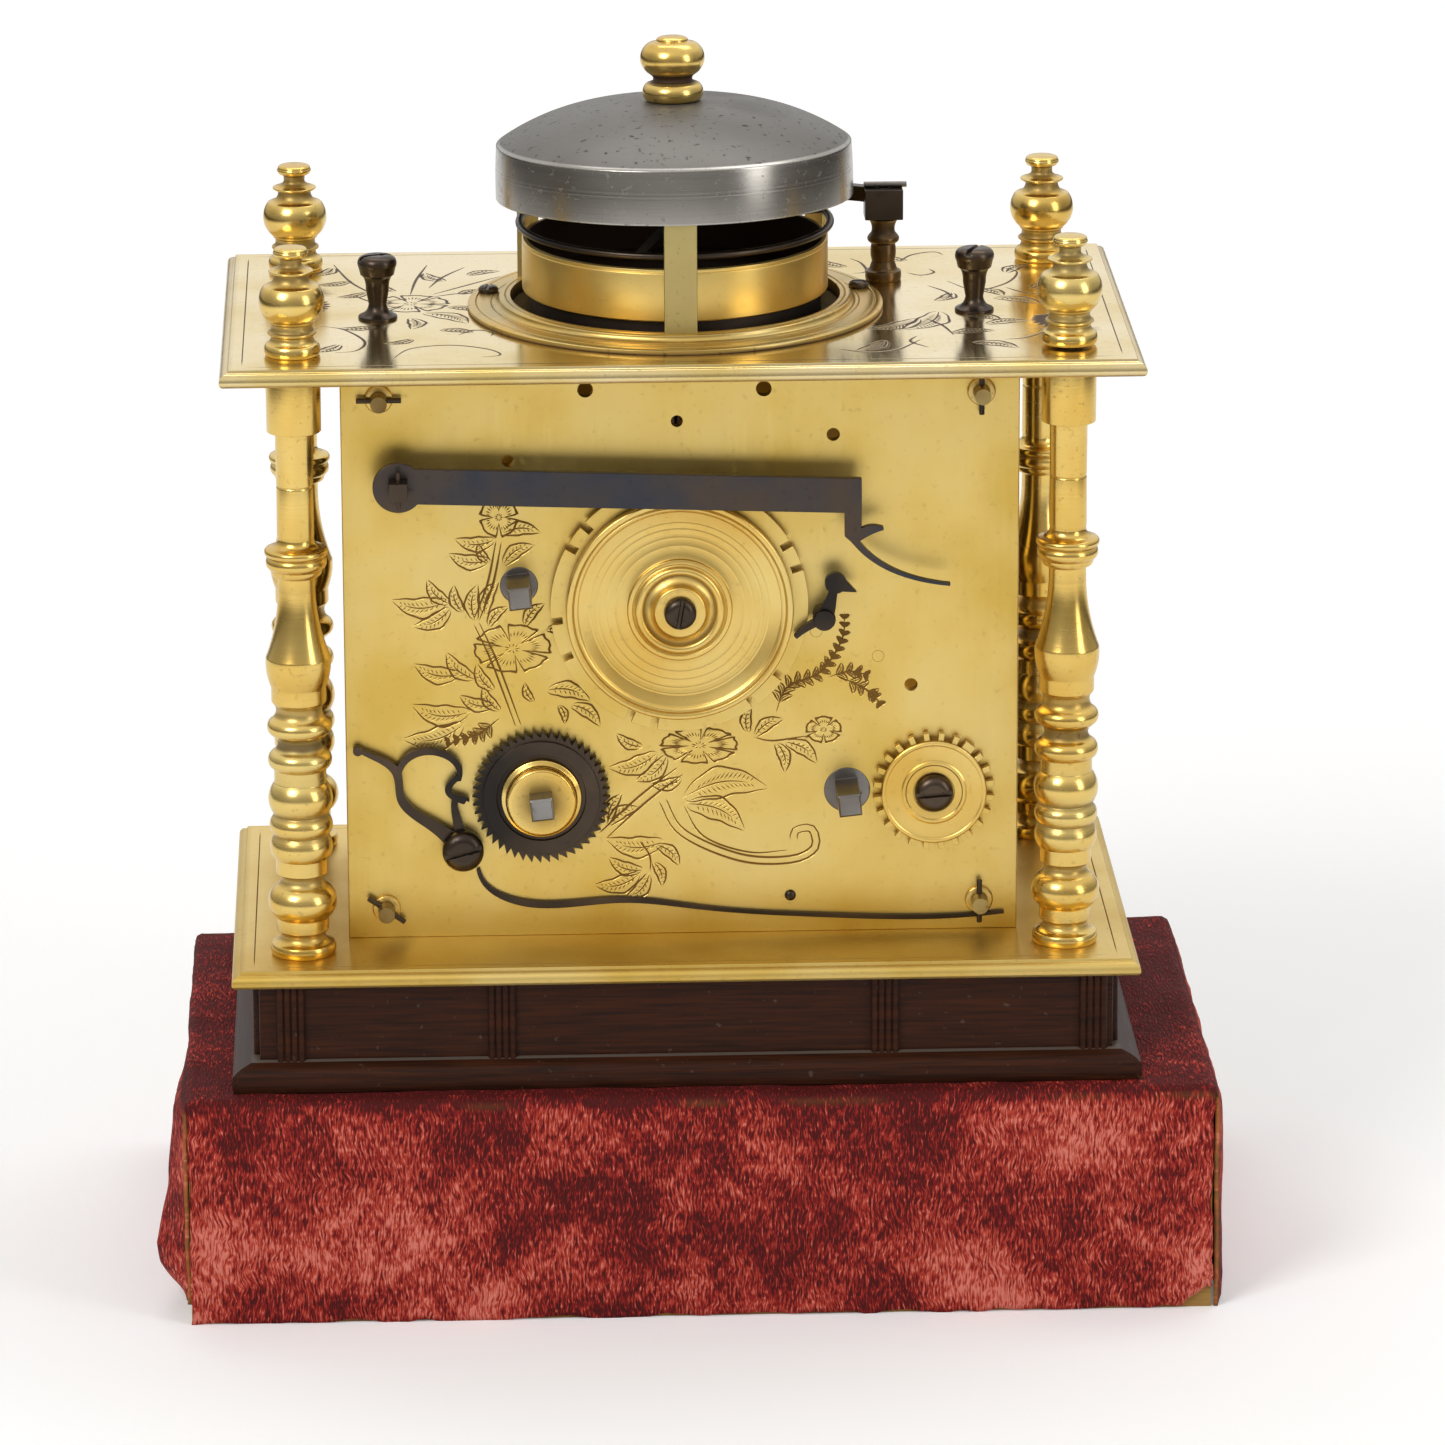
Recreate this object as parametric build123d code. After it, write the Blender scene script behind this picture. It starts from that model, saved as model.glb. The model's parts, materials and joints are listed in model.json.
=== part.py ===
from build123d import *
import math
import os

os.makedirs("parts", exist_ok=True)

# A spring-driven brass table clock with a balance under its bell, on a velvet-covered stand.
# Frame: millimetres, +Z up, z = 0 on the surface that the stand rests on, the clock's own
# vertical centre line through the origin, and the movement's backplate facing -Y.

# Stand: a board block in a velvet cover
STAND_WIDTH = 171.0
STAND_DEPTH = 93.0
STAND_HEIGHT = 38.8
STAND_SHIFT_X = 2.1
STAND_SHIFT_Y = -1.0
COVER_THICKNESS = 0.7
CORNER_GAP = 1.1
FLAP_REACH = 5.2
FLAP_LENGTH = 30.0
SIDE_STANDOFF = 1.8

# Wood base
WOOD_HEIGHT = 17.7
WALL_OUTER_WIDTH = 141.4
WALL_OUTER_DEPTH = 79.0
WALL_THICKNESS = 6.0
MOULDING_REACH_X = 4.5
MOULDING_REACH_Y = 3.5
MOULDING_HEIGHT = 3.8
MOULDING_SLOPE = 2.4
PILASTER_WIDTH = 4.6
PILASTER_DEPTH = 1.1
PILASTER_REEDS = 4
PILASTER_PLACES = (-65.5, -30.6, 32.8, 67.4)
SIDE_PILASTER_PLACE = 34.5

# Base plate and top plate
PLATE_WIDTH = 150.2
PLATE_DEPTH = 84.4
PLATE_THICKNESS = 2.8
EDGE_SLOPE = 1.5
EDGE_RISE = 1.5
DECK_HEIGHT = 99.3

# Corner pillars and their finials
PILLAR_X = 63.3
PILLAR_Y = 30.3
TENON_RADIUS = 2.4
PILLAR_DRAWN = 99.3
FINIAL_TENON = 6.5
RAISED_FINIAL = 0.3

# Movement frame
MOVEMENT_WIDTH = 111.6
MOVEMENT_HALF_DEPTH = 23.3
MOVEMENT_PLATE = 2.0
POST_X = 49.45
POST_EDGE = 5.15
POST_TOP_EDGE = 6.65
POST_RADIUS = 3.0
POST_TENON = 1.35
POST_NUB = 4.4
WASHER_RADIUS = 2.35
WASHER_THICKNESS = 0.8
PIN_RADIUS = 0.45
PIN_LENGTH = 7.4
PIN_TURNS = (35.0, 0.0, 90.0, 90.0)
STUD_RADIUS = 1.1
SPARE_HOLES = [(x, DECK_HEIGHT - drop, radius)
               for x, drop, radius in ((-15.6, 5.6, 1.3), (13.7, 5.8, 1.3), (-0.6, 11.1, 1.0),
                                       (25.1, 13.7, 0.7), (-28.4, 17.5, 1.0))]
SPARE_HOLES.append((38.0, 42.6, 1.1))

# Arbors: pivots turn in the plates with a running clearance
PIVOT_RADIUS = 0.95
RUN_CLEARANCE = 0.05
ARBOR_RADIUS = 1.4
END_SHAKE = 0.2

# Gear teeth: thickness as a share of the pitch, heights as shares of the module
TOOTH_SHARE = 0.30
TIP_SHARE = 0.12
ADDENDUM = 0.6
DEDENDUM = 1.05

# Going train: centres in X and in height above the base plate, the fusee's measured from the top plate
FUSEE_AT = (-26.8, DECK_HEIGHT - 38.7)
BARREL_AT = (-23.5, 24.65)
SECOND_DISTANCE = 17.15
SECOND_ANGLE = 35.0
THIRD_DISTANCE = 13.8
THIRD_ANGLE = 10.0
CROWN_DISTANCE = 12.65
WHEEL_TEETH = 40
PINION_LEAVES = 10
GREAT_TEETH = 48
GREAT_LEAVES = 12
WHEEL_THICKNESS = 1.4
GREAT_THICKNESS = 1.8
BARREL_RADIUS = 14.0
BARREL_LENGTH = 26.0
BARREL_WALL = 1.2
FUSEE_LARGE = 10.8
FUSEE_SMALL = 5.6
FUSEE_LENGTH = 24.0
FUSEE_GROOVES = 8
FUSEE_START = -12.0
BARREL_START = -13.0
GREAT_Y = 14.2
SECOND_Y = -19.0
THIRD_Y = 9.8
GUT_Y = 4.0
GUT_RADIUS = 0.5

# Winding squares
SQUARE_SIDE = 3.8
SQUARE_REACH = 8.6
SET_UP_REACH = 4.2
WINDING_HUB = 3.1
STRIKE_HUB = 3.8

# Crown wheel and verge
CROWN_TEETH = 15
CROWN_RADIUS = 7.4
CROWN_TIP_Y = 3.4
CROWN_HEIGHT = 4.2
VERGE_RADIUS = 0.75
PALLET_REACH = 3.05
PALLET_ANGLE = 50.0
VERGE_DROP = 10.0
VERGE_PIVOT = 0.5
POTENCE_FACE = 3.0
POTENCE_NOSE = 1.0
POTENCE_BAR = 2.6

# Striking train
STRIKE_AT = (27.4, 24.55)
HOOP_AT = (22.29, 52.03)
FLY_AT = (32.52, 47.6)
PIN_WHEEL_DISTANCE = 24.0
PIN_WHEEL_ANGLE = 130.4
STRIKE_TEETH = 72
STRIKE_LEAVES = 18
HOOP_TEETH = 36
HOOP_LEAVES = 9
STRIKE_BARREL_LENGTH = 19.0
HAMMER_PINS = 8
HAMMER_PIN_CIRCLE = 9.2
FLY_REACH = 7.4
PIN_HUB = 1.9
STRIKE_Y = 8.4
PIN_WHEEL_Y = 12.8
HOOP_Y = -17.0

# Back of the movement
COUNT_AT = (-0.4, 57.15)
COUNT_RIM = 21.3
COUNT_CAP = 18.75
COUNT_TEETH = 64
COUNT_LEAVES = 8
COUNT_SEQUENCE = (9, 1, 8, 2, 7, 1, 6, 2, 5, 1, 4, 2)
COUNT_NOTCH = 1.2
COUNT_GEAR_GAP = 0.4
COUNT_GEAR_THICKNESS = 1.0
COUNT_RIM_THICKNESS = 0.9
COUNT_CAP_HEIGHT = 3.6
COUNT_STUD = 1.7
LEVER_AT = (-46.45, DECK_HEIGHT - 20.1)
LEVER_REACH = 75.9
LEVER_HEIGHT = 5.8
LEVER_THICKNESS = 1.4
LEVER_STANDOFF = 5.2
LEVER_BORE = 1.5
LEVER_SQUARE = 3.1
DETENT_AT = (23.4, 55.2)
DETENT_THICKNESS = 1.2
RATCHET_TEETH = 48
RATCHET_RADIUS = 11.5
RATCHET_THICKNESS = 1.5
RATCHET_LIFT = 0.5
COLLAR_RADIUS = 6.6
COLLAR_HEIGHT = 3.4
CLICK_AT = (-36.6, 15.65)
CLICK_THICKNESS = 1.3
CLICK_GAP = 0.25
STOP_AT = (41.75, 24.55)
STOP_TEETH = 24
STOP_RADIUS = 10.1
STOP_THICKNESS = 1.4

# Top of the clock, heights above the top plate's upper face
RING_OUTER = 34.5
RING_HOLE = 27.4
RING_HEIGHT = 2.2
RING_SCREW_CIRCLE = 31.75
RING_SHANK = 0.9
DRUM_RADIUS = 25.4
DRUM_WALL = 0.9
DRUM_FOOT = 3.3
DRUM_TOP = 12.1
SEAT_RADIUS = 30.5
RING_FLANGE = 1.0
SEAT_THICKNESS = 1.5
BALANCE_RADIUS = 25.8
BALANCE_WIRE = 0.9
BALANCE_LEVEL = 14.4
LEG_TURNS = (0, 120, 240)
LEG_RADIUS = 27.9
LEG_WIDTH = 5.4
LEG_THICKNESS = 1.3
LEG_FOOT = 0.5
LEG_SHOULDER = 21.0
LEG_BEND = 6.0
HUB_RADIUS = 5.0
HUB_LEVEL = 28.6
HUB_THICKNESS = 1.8
BELL_RADIUS = 30.0
BELL_RIM = 20.1
BELL_SHOULDER = 29.2
BELL_APEX = 34.7
BELL_WALL = 0.9
STEM_RADIUS = 1.5
KNOB_RADIUS = 5.35
SPRING_WIRE = 0.25
SPRING_INNER = 3.0
SPRING_PITCH = 1.3
SPRING_HALF_TURNS = 10
SPRING_LEVEL = 17.4
COLLET_RADIUS = 2.4
STUD_TURN = 30.0
STUD_WIDTH = 2.4
STUD_OUT = 14.0
HAMMER_X = 35.6
HAMMER_Y = 16.7
HAMMER_ROD = 1.0
HAMMER_BLOCK = 6.4
HAMMER_BLOCK_LOW = 10.7
HAMMER_BLOCK_HIGH = 15.8
HAMMER_GAP = 0.9
HAMMER_HEAD = 1.6
HEAD_ANGLE = 44.0
HAMMER_FOOT = 44.5
TAIL_TIP = 27.5
TALL_SCREW_X = 49.4
TALL_SCREW_Y = -6.1
TALL_SHANK = 1.2

# Front: dial wheel, dial plate, chapter ring and hand
DIAL_TEETH = 90
DIAL_LEAVES = 18
DIAL_WHEEL_THICKNESS = 1.2
DIAL_HUB = 4.0
DIAL_GAP = 6.2
DIAL_THICKNESS = 1.5
CHAPTER_OUTER = 36.0
CHAPTER_INNER = 23.0
CHAPTER_THICKNESS = 0.8
HAND_LENGTH = 27.0
DIAL_FOOT_RADIUS = 1.6
DIAL_FOOT_X = 44.0
DIAL_FOOT_EDGE = 14.2

# Levels that follow
DECK = STAND_HEIGHT + WOOD_HEIGHT + PLATE_THICKNESS
TOP_UNDER = DECK + DECK_HEIGHT
TOP = TOP_UNDER + PLATE_THICKNESS
BACK = -MOVEMENT_HALF_DEPTH
BACK_INNER = BACK + MOVEMENT_PLATE
FRONT = MOVEMENT_HALF_DEPTH
FRONT_INNER = FRONT - MOVEMENT_PLATE
DIAL_BACK = FRONT + DIAL_GAP


def polar(centre, distance, degrees):
    """A point at a distance and an angle from a centre, both in (X, height) of the backplate."""
    angle = math.radians(degrees)
    return centre[0] + distance * math.cos(angle), centre[1] + distance * math.sin(angle)


def bearing(start, end):
    """Angle in degrees of the line from start to end."""
    return math.degrees(math.atan2(end[1] - start[1], end[0] - start[0]))


def span(start, end):
    """Distance between two points."""
    return math.hypot(end[0] - start[0], end[1] - start[1])


SECOND_AT = polar(FUSEE_AT, SECOND_DISTANCE, SECOND_ANGLE)
THIRD_AT = polar(SECOND_AT, THIRD_DISTANCE, THIRD_ANGLE)
CROWN_AT = (0.0, THIRD_AT[1] + math.sqrt(CROWN_DISTANCE ** 2 - THIRD_AT[0] ** 2))
PIN_WHEEL_AT = polar(STRIKE_AT, PIN_WHEEL_DISTANCE, PIN_WHEEL_ANGLE)
DIAL_AT = (0.0, FUSEE_AT[1])


def slab(sketch, y_low, y_high):
    """A sketch drawn in (X, height above the deck), made solid between two Y values."""
    return Pos(0, y_high, DECK) * extrude(Plane.XZ * sketch, y_high - y_low)


def disc(at, radius, y_low, y_high):
    """A round bar along Y."""
    return slab(Pos(*at) * Circle(radius), y_low, y_high)


def square_bar(at, side, y_low, y_high, turn=0.0):
    """A square bar along Y."""
    return slab(Pos(*at) * Rot(0, 0, turn) * Rectangle(side, side), y_low, y_high)


def outline(points):
    """A closed face from a list of points."""
    return make_face(Polyline(*points, close=True))


def turned(profile, x=0.0, y=0.0, z=0.0):
    """A turned solid about a vertical axis.

    profile: (radius, height, swell) from the bottom to the top; swell is how far the line that
    leads to the point bows outwards, or inwards when it is negative.
    """
    edges = [Line((0, profile[0][1]), (profile[0][0], profile[0][1]))]
    for (r0, z0, _), (r1, z1, swell) in zip(profile, profile[1:]):
        if swell:
            length = math.hypot(r1 - r0, z1 - z0)
            middle = ((r0 + r1) / 2 + swell * (z1 - z0) / length, (z0 + z1) / 2 - swell * (r1 - r0) / length)
            edges.append(ThreePointArc((r0, z0), middle, (r1, z1)))
        else:
            edges.append(Line((r0, z0), (r1, z1)))
    edges.append(Line((profile[-1][0], profile[-1][1]), (0, profile[-1][1])))
    edges.append(Line((0, profile[-1][1]), (0, profile[0][1])))
    face = Plane.XZ * make_face(edges)
    return Pos(x, y, z) * revolve(face, Axis.Z, 360)


def lay_turned(profile, at, y):
    """The same turned solid with its axis along -Y, its foot on the plane Y = y."""
    return Pos(at[0], y, DECK + at[1]) * Rot(90, 0, 0) * turned(profile)


def pitch_radius(teeth, other, distance):
    """Pitch radius of a wheel in mesh with another at a distance between centres."""
    return distance * teeth / (teeth + other)


def gear_face(at, teeth, radius, phase=0.0):
    """A toothed disc: slim tapered teeth, one of them centred on the angle phase in degrees."""
    module = 2 * radius / teeth
    pitch = 2 * math.pi / teeth
    root = radius - DEDENDUM * module
    tip = radius + ADDENDUM * module
    points = []
    for i in range(teeth):
        centre = math.radians(phase) + i * pitch
        for r, share in ((root, -TOOTH_SHARE), (tip, -TIP_SHARE), (tip, TIP_SHARE), (root, TOOTH_SHARE)):
            angle = centre + share * pitch
            points.append((at[0] + r * math.cos(angle), at[1] + r * math.sin(angle)))
    return outline(points)


def meshed_phase(at, teeth, phase, other_at, other_teeth):
    """Phase that puts a gap of the other wheel where a tooth of the first one points at it."""
    line = bearing(at, other_at)
    share = ((line - phase) / (360.0 / teeth)) % 1.0
    return line + 180.0 + (share - 0.5) * 360.0 / other_teeth


def crossings(at, hub, rim, arms=4, bar=2.4):
    """The windows between a wheel's arms, as one sketch to cut away."""
    windows = Pos(*at) * (Circle(rim) - Circle(hub))
    for i in range(arms):
        windows -= Pos(*at) * Rot(0, 0, i * 360.0 / arms + 22.0) * Pos(rim / 2, 0) * Rectangle(rim * 1.1, bar)
    return windows


def arbor(at, y_low=BACK_INNER, y_high=FRONT_INNER, low_pivot=MOVEMENT_PLATE, high_pivot=MOVEMENT_PLATE):
    """A steel arbor along Y with a pivot at each end."""
    body = disc(at, ARBOR_RADIUS, y_low + END_SHAKE, y_high - END_SHAKE)
    return body + disc(at, PIVOT_RADIUS, y_low - low_pivot, y_high + high_pivot)


def ribbon(points, widths, at=(0.0, 0.0)):
    """A flat strip of changing width along a smooth line through the points."""
    left, right = [], []
    last = len(points) - 1
    for i, ((x, z), width) in enumerate(zip(points, widths)):
        before, after = points[max(i - 1, 0)], points[min(i + 1, last)]
        run = math.hypot(after[0] - before[0], after[1] - before[1])
        nx, nz = -(after[1] - before[1]) / run, (after[0] - before[0]) / run
        left.append((x + nx * width / 2, z + nz * width / 2))
        right.append((x - nx * width / 2, z - nz * width / 2))
    sides = [Spline(*left), Line(left[-1], right[-1]), Spline(*right[::-1]), Line(right[0], left[0])]
    return Pos(*at) * make_face(sides)


def group(parts):
    """Separate solids that share one node."""
    return Compound([solid for part in parts for solid in part.solids()])


def box_between(x0, x1, y0, y1, z0, z1):
    """A box from its lowest to its highest corner."""
    return Pos((x0 + x1) / 2, (y0 + y1) / 2, (z0 + z1) / 2) * Box(x1 - x0, y1 - y0, z1 - z0)


def dome_screw(radius, height, slot, shank_radius, shank_length):
    """A screw about Z: its head's foot at z = 0, its slot across the top, its shank below."""
    head = turned([(radius, 0, 0), (radius, height * 0.45, 0), (radius * 0.35, height, height * 0.22)])
    head -= Pos(0, 0, height) * Box(radius * 2.4, slot, height * 0.7)
    return head + Pos(0, 0, -shank_length / 2) * Cylinder(shank_radius, shank_length)


# Stand

def stand_core():
    height = STAND_HEIGHT - COVER_THICKNESS
    body = Box(STAND_WIDTH - 2 * COVER_THICKNESS, STAND_DEPTH - 2 * COVER_THICKNESS, height)
    return Pos(STAND_SHIFT_X, STAND_SHIFT_Y, height / 2) * body


def velvet_cover():
    """Panels glued on the block, open at the upright corners, with two loose side flaps."""
    body = Pos(STAND_SHIFT_X, STAND_SHIFT_Y, STAND_HEIGHT / 2) * Box(STAND_WIDTH, STAND_DEPTH, STAND_HEIGHT)
    body -= stand_core()
    for sx in (-1, 1):
        for sy in (-1, 1):
            x = STAND_SHIFT_X + sx * STAND_WIDTH / 2
            y = STAND_SHIFT_Y + sy * STAND_DEPTH / 2
            corner = Box(2 * CORNER_GAP, 2 * CORNER_GAP, STAND_HEIGHT)
            body -= Pos(x, y, STAND_HEIGHT / 2 - COVER_THICKNESS) * corner
    left = STAND_SHIFT_X - STAND_WIDTH / 2
    right = STAND_SHIFT_X + STAND_WIDTH / 2
    front = STAND_SHIFT_Y - STAND_DEPTH / 2 + CORNER_GAP
    back = STAND_SHIFT_Y + STAND_DEPTH / 2 - CORNER_GAP
    inner, outer = FLAP_REACH - COVER_THICKNESS, FLAP_REACH
    flap = outline([(left + 0.1, 30), (left, 30), (left - outer * 0.5, 20), (left - outer, 11),
                    (left - outer * 0.75, 5), (left - inner * 0.65, 5.4), (left - inner, 11),
                    (left - inner * 0.5, 19.6), (left + 0.1, 27.5)])
    body += Pos(0, front + FLAP_LENGTH, 0) * extrude(Plane.XZ * flap, FLAP_LENGTH)
    off = SIDE_STANDOFF
    side = outline([(right - 0.1, 36), (right, 36), (right + off, 29), (right + off * 0.9, 4),
                    (right + off * 0.9 - COVER_THICKNESS, 4), (right + off - COVER_THICKNESS, 28.6),
                    (right - 0.1, 33)])
    body += Pos(0, back, 0) * extrude(Plane.XZ * side, back - front)
    return body


# Wood base

def wood_base():
    body = Box(WALL_OUTER_WIDTH, WALL_OUTER_DEPTH, WOOD_HEIGHT)
    body -= Box(WALL_OUTER_WIDTH - 2 * WALL_THICKNESS, WALL_OUTER_DEPTH - 2 * WALL_THICKNESS, WOOD_HEIGHT)
    return Pos(0, 0, STAND_HEIGHT + WOOD_HEIGHT / 2) * body


def wood_moulding():
    width = WALL_OUTER_WIDTH + 2 * MOULDING_REACH_X
    depth = WALL_OUTER_DEPTH + 2 * MOULDING_REACH_Y
    body = Box(width, depth, MOULDING_HEIGHT)
    top = body.faces().sort_by(Axis.Z)[-1]
    body = chamfer(top.edges(), MOULDING_SLOPE)
    body -= Box(WALL_OUTER_WIDTH, WALL_OUTER_DEPTH, MOULDING_HEIGHT)
    return Pos(0, 0, STAND_HEIGHT + MOULDING_HEIGHT / 2) * body


def pilaster():
    """One reeded strip on the plane y = 0, standing out to -Y, its foot at z = 0."""
    reed = PILASTER_WIDTH / PILASTER_REEDS
    half = PILASTER_WIDTH / 2
    edges = [Line((-half, 0), (half, 0)), Line((half, 0), (half, -PILASTER_DEPTH * 0.6))]
    for i in range(PILASTER_REEDS):
        x = half - i * reed
        edges.append(ThreePointArc((x, -PILASTER_DEPTH * 0.6), (x - reed / 2, -PILASTER_DEPTH),
                                   (x - reed, -PILASTER_DEPTH * 0.6)))
    edges.append(Line((-half, -PILASTER_DEPTH * 0.6), (-half, 0)))
    return extrude(make_face(edges), WOOD_HEIGHT - MOULDING_HEIGHT)


def wood_pilasters():
    strip = Pos(0, 0, STAND_HEIGHT + MOULDING_HEIGHT) * pilaster()
    strips = []
    for turn in (0, 180):
        for x in PILASTER_PLACES:
            strips.append(Rot(0, 0, turn) * Pos(x, -WALL_OUTER_DEPTH / 2, 0) * strip)
    for turn in (90, 270):
        for x in (-SIDE_PILASTER_PLACE, SIDE_PILASTER_PLACE):
            strips.append(Rot(0, 0, turn) * Pos(x, -WALL_OUTER_WIDTH / 2, 0) * strip)
    return group(strips)


# Plates, pillars and finials

def moulded_plate(level):
    """A brass plate whose upper edge slopes, its underside at the given level."""
    body = Box(PLATE_WIDTH, PLATE_DEPTH, PLATE_THICKNESS)
    top = body.faces().sort_by(Axis.Z)[-1]
    body = chamfer(top.edges(), EDGE_RISE, EDGE_SLOPE)
    for x in (-PILLAR_X, PILLAR_X):
        for y in (-PILLAR_Y, PILLAR_Y):
            body -= Pos(x, y, 0) * Cylinder(TENON_RADIUS, 2 * PLATE_THICKNESS)
    return Pos(0, 0, level + PLATE_THICKNESS / 2) * body


def base_plate():
    return moulded_plate(STAND_HEIGHT + WOOD_HEIGHT)


def ring_screw_places():
    return [(RING_SCREW_CIRCLE * math.cos(math.radians(a)), RING_SCREW_CIRCLE * math.sin(math.radians(a)))
            for a in (13.0, 90.0, 167.0)]


def top_plate():
    body = moulded_plate(TOP_UNDER)
    body -= Pos(0, 0, TOP) * Cylinder(RING_HOLE, 4 * PLATE_THICKNESS)
    body -= Pos(HAMMER_X, HAMMER_Y, TOP) * Cylinder(HAMMER_ROD + RUN_CLEARANCE, 4 * PLATE_THICKNESS)
    for x, y in ring_screw_places():
        body -= Pos(x, y, TOP) * Cylinder(RING_SHANK, 4 * PLATE_THICKNESS)
    for x in (-TALL_SCREW_X, TALL_SCREW_X):
        body -= Pos(x, TALL_SCREW_Y, TOP) * Cylinder(TALL_SHANK, 4 * PLATE_THICKNESS)
    return body


def corner_pillars():
    """Four turned columns, each with a tenon at both ends."""
    return group([corner_pillar(x, y) for x in (-PILLAR_X, PILLAR_X) for y in (-PILLAR_Y, PILLAR_Y)])


def corner_pillar(x, y):
    """Turned column: base, ball, stacked beads, vase, triple ring, neck and cap, with two tenons.

    The turned line is given at its drawn height, and stretches with the deck.
    """
    column = [(5.2, 0, 0), (5.2, 1.9, 0.25),
               (3.7, 3.1, -0.3), (4.3, 4.1, -0.2), (4.3, 6.2, 0), (4.4, 6.4, 0), (4.4, 11.7, 1.3),
               (3.5, 12.9, -0.2), (4.3, 14.0, -0.2), (4.3, 16.5, 0), (4.6, 16.6, 0), (4.6, 20.4, 0.6),
               (4.5, 20.6, 0), (4.5, 23.9, 0.75), (4.4, 24.1, 0), (4.4, 29.5, 0.95), (4.3, 29.6, 0),
               (4.3, 31.9, 0), (4.5, 32.0, 0), (4.5, 35.0, 0.8), (3.6, 36.2, -0.2), (4.3, 37.5, -0.2),
               (4.6, 37.8, 0), (4.6, 40.5, 0.75), (3.95, 42.7, -0.4), (4.55, 43.5, 0), (4.55, 45.9, 0),
               (5.35, 51.0, 0.3), (3.1, 64.7, -0.7), (3.95, 65.0, 0), (4.3, 66.0, 0.1), (4.6, 66.2, 0),
               (4.6, 68.2, 0.45), (4.9, 68.3, 0), (4.9, 69.6, 0.35), (3.95, 69.8, 0), (3.1, 71.8, -0.4),
               (3.05, 79.9, 0), (2.9, 80.1, 0), (3.05, 80.3, 0), (3.1, 89.2, 0), (4.45, 89.3, 0),
              (4.5, PILLAR_DRAWN, 0)]
    stretch = DECK_HEIGHT / PILLAR_DRAWN
    profile = [(TENON_RADIUS, -PLATE_THICKNESS, 0), (TENON_RADIUS, 0, 0)]
    profile += [(r, z * stretch, swell) for r, z, swell in column]
    tenon_end = DECK_HEIGHT + PLATE_THICKNESS + FINIAL_TENON
    profile += [(TENON_RADIUS, DECK_HEIGHT, 0), (TENON_RADIUS, tenon_end, 0)]
    return turned(profile, x, y, DECK)


def finial():
    """Turned nut: base, ring, ball, collar and button, over the pillar's tenon."""
    body = turned([(4.45, 0, 0), (4.45, 2.1, 0), (3.2, 3.0, -0.3), (3.6, 3.3, 0), (3.6, 4.4, 0.4),
                   (3.2, 5.2, 0), (3.4, 5.9, 0), (3.4, 11.8, 1.9), (2.5, 12.4, 0), (2.6, 13.3, -0.2),
                   (3.1, 13.4, 0), (3.1, 14.8, 0.4), (1.8, 15.5, -0.2), (2.4, 16.3, 0), (2.4, 17.4, 0.35),
                   (1.6, 18.1, 0.1)])
    return body - Pos(0, 0, FINIAL_TENON / 2) * Cylinder(TENON_RADIUS, FINIAL_TENON)


def pillar_finials():
    nuts = []
    for x in (-PILLAR_X, PILLAR_X):
        for y in (-PILLAR_Y, PILLAR_Y):
            lift = RAISED_FINIAL if x > 0 > y else 0.0
            nuts.append(Pos(x, y, TOP + lift) * finial())
    return group(nuts)


# Movement frame

POSTS = [(x, z) for x in (-POST_X, POST_X) for z in (POST_EDGE, DECK_HEIGHT - POST_TOP_EDGE)]


def movement_frontplate():
    body = slab(Pos(0, DECK_HEIGHT / 2) * Rectangle(MOVEMENT_WIDTH, DECK_HEIGHT), FRONT_INNER, FRONT)
    for at in POSTS:
        body -= disc(at, POST_TENON, FRONT_INNER - 1, FRONT + 1)
    for at in (SECOND_AT, THIRD_AT, CROWN_AT, PIN_WHEEL_AT, HOOP_AT, FLY_AT, FUSEE_AT, BARREL_AT, STRIKE_AT):
        body -= disc(at, PIVOT_RADIUS + RUN_CLEARANCE, FRONT_INNER - 1, FRONT + 1)
    return body + dial_stud()


def movement_backplate():
    body = slab(Pos(0, DECK_HEIGHT / 2) * Rectangle(MOVEMENT_WIDTH, DECK_HEIGHT), BACK, BACK_INNER)
    for at in POSTS:
        body -= disc(at, POST_TENON, BACK - 1, BACK_INNER + 1)
    for at in (SECOND_AT, THIRD_AT, HOOP_AT, FLY_AT):
        body -= disc(at, PIVOT_RADIUS + RUN_CLEARANCE, BACK - 1, BACK_INNER + 1)
    for at, radius in ((FUSEE_AT, WINDING_HUB), (BARREL_AT, WINDING_HUB), (STRIKE_AT, STRIKE_HUB),
                       (PIN_WHEEL_AT, PIN_HUB)):
        body -= disc(at, radius + RUN_CLEARANCE, BACK - 1, BACK_INNER + 1)
    for at in (COUNT_AT, LEVER_AT, DETENT_AT, CLICK_AT, STOP_AT):
        body -= disc(at, STUD_RADIUS, BACK - 1, BACK_INNER + 1)
    for x, z, radius in SPARE_HOLES:
        body -= disc((x, z), radius, BACK - 1, BACK_INNER + 1)
    return body


def taper_pin(at, turn):
    """A pin across a pillar's end, outside the washer."""
    middle = BACK - WASHER_THICKNESS - PIN_RADIUS
    pin = Rot(0, turn, 0) * Rot(0, 90, 0) * Cylinder(PIN_RADIUS, PIN_LENGTH)
    return Pos(at[0], middle, DECK + at[1]) * pin


def movement_pillars():
    posts = []
    for at, turn in zip(POSTS, PIN_TURNS):
        body = disc(at, POST_RADIUS, BACK_INNER, FRONT_INNER) - disc(at, POST_RADIUS + 1, -15, 15)
        body += disc(at, POST_RADIUS - 0.7, -15, 15) + disc(at, POST_RADIUS, -2, 2)
        body += disc(at, POST_TENON, BACK - POST_NUB, FRONT)
        posts.append(body - taper_pin(at, turn))
    return group(posts)


def pillar_washers():
    return group([disc(at, WASHER_RADIUS, BACK - WASHER_THICKNESS, BACK)
                  - disc(at, POST_TENON, BACK - 2, BACK + 1) for at in POSTS])


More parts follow.
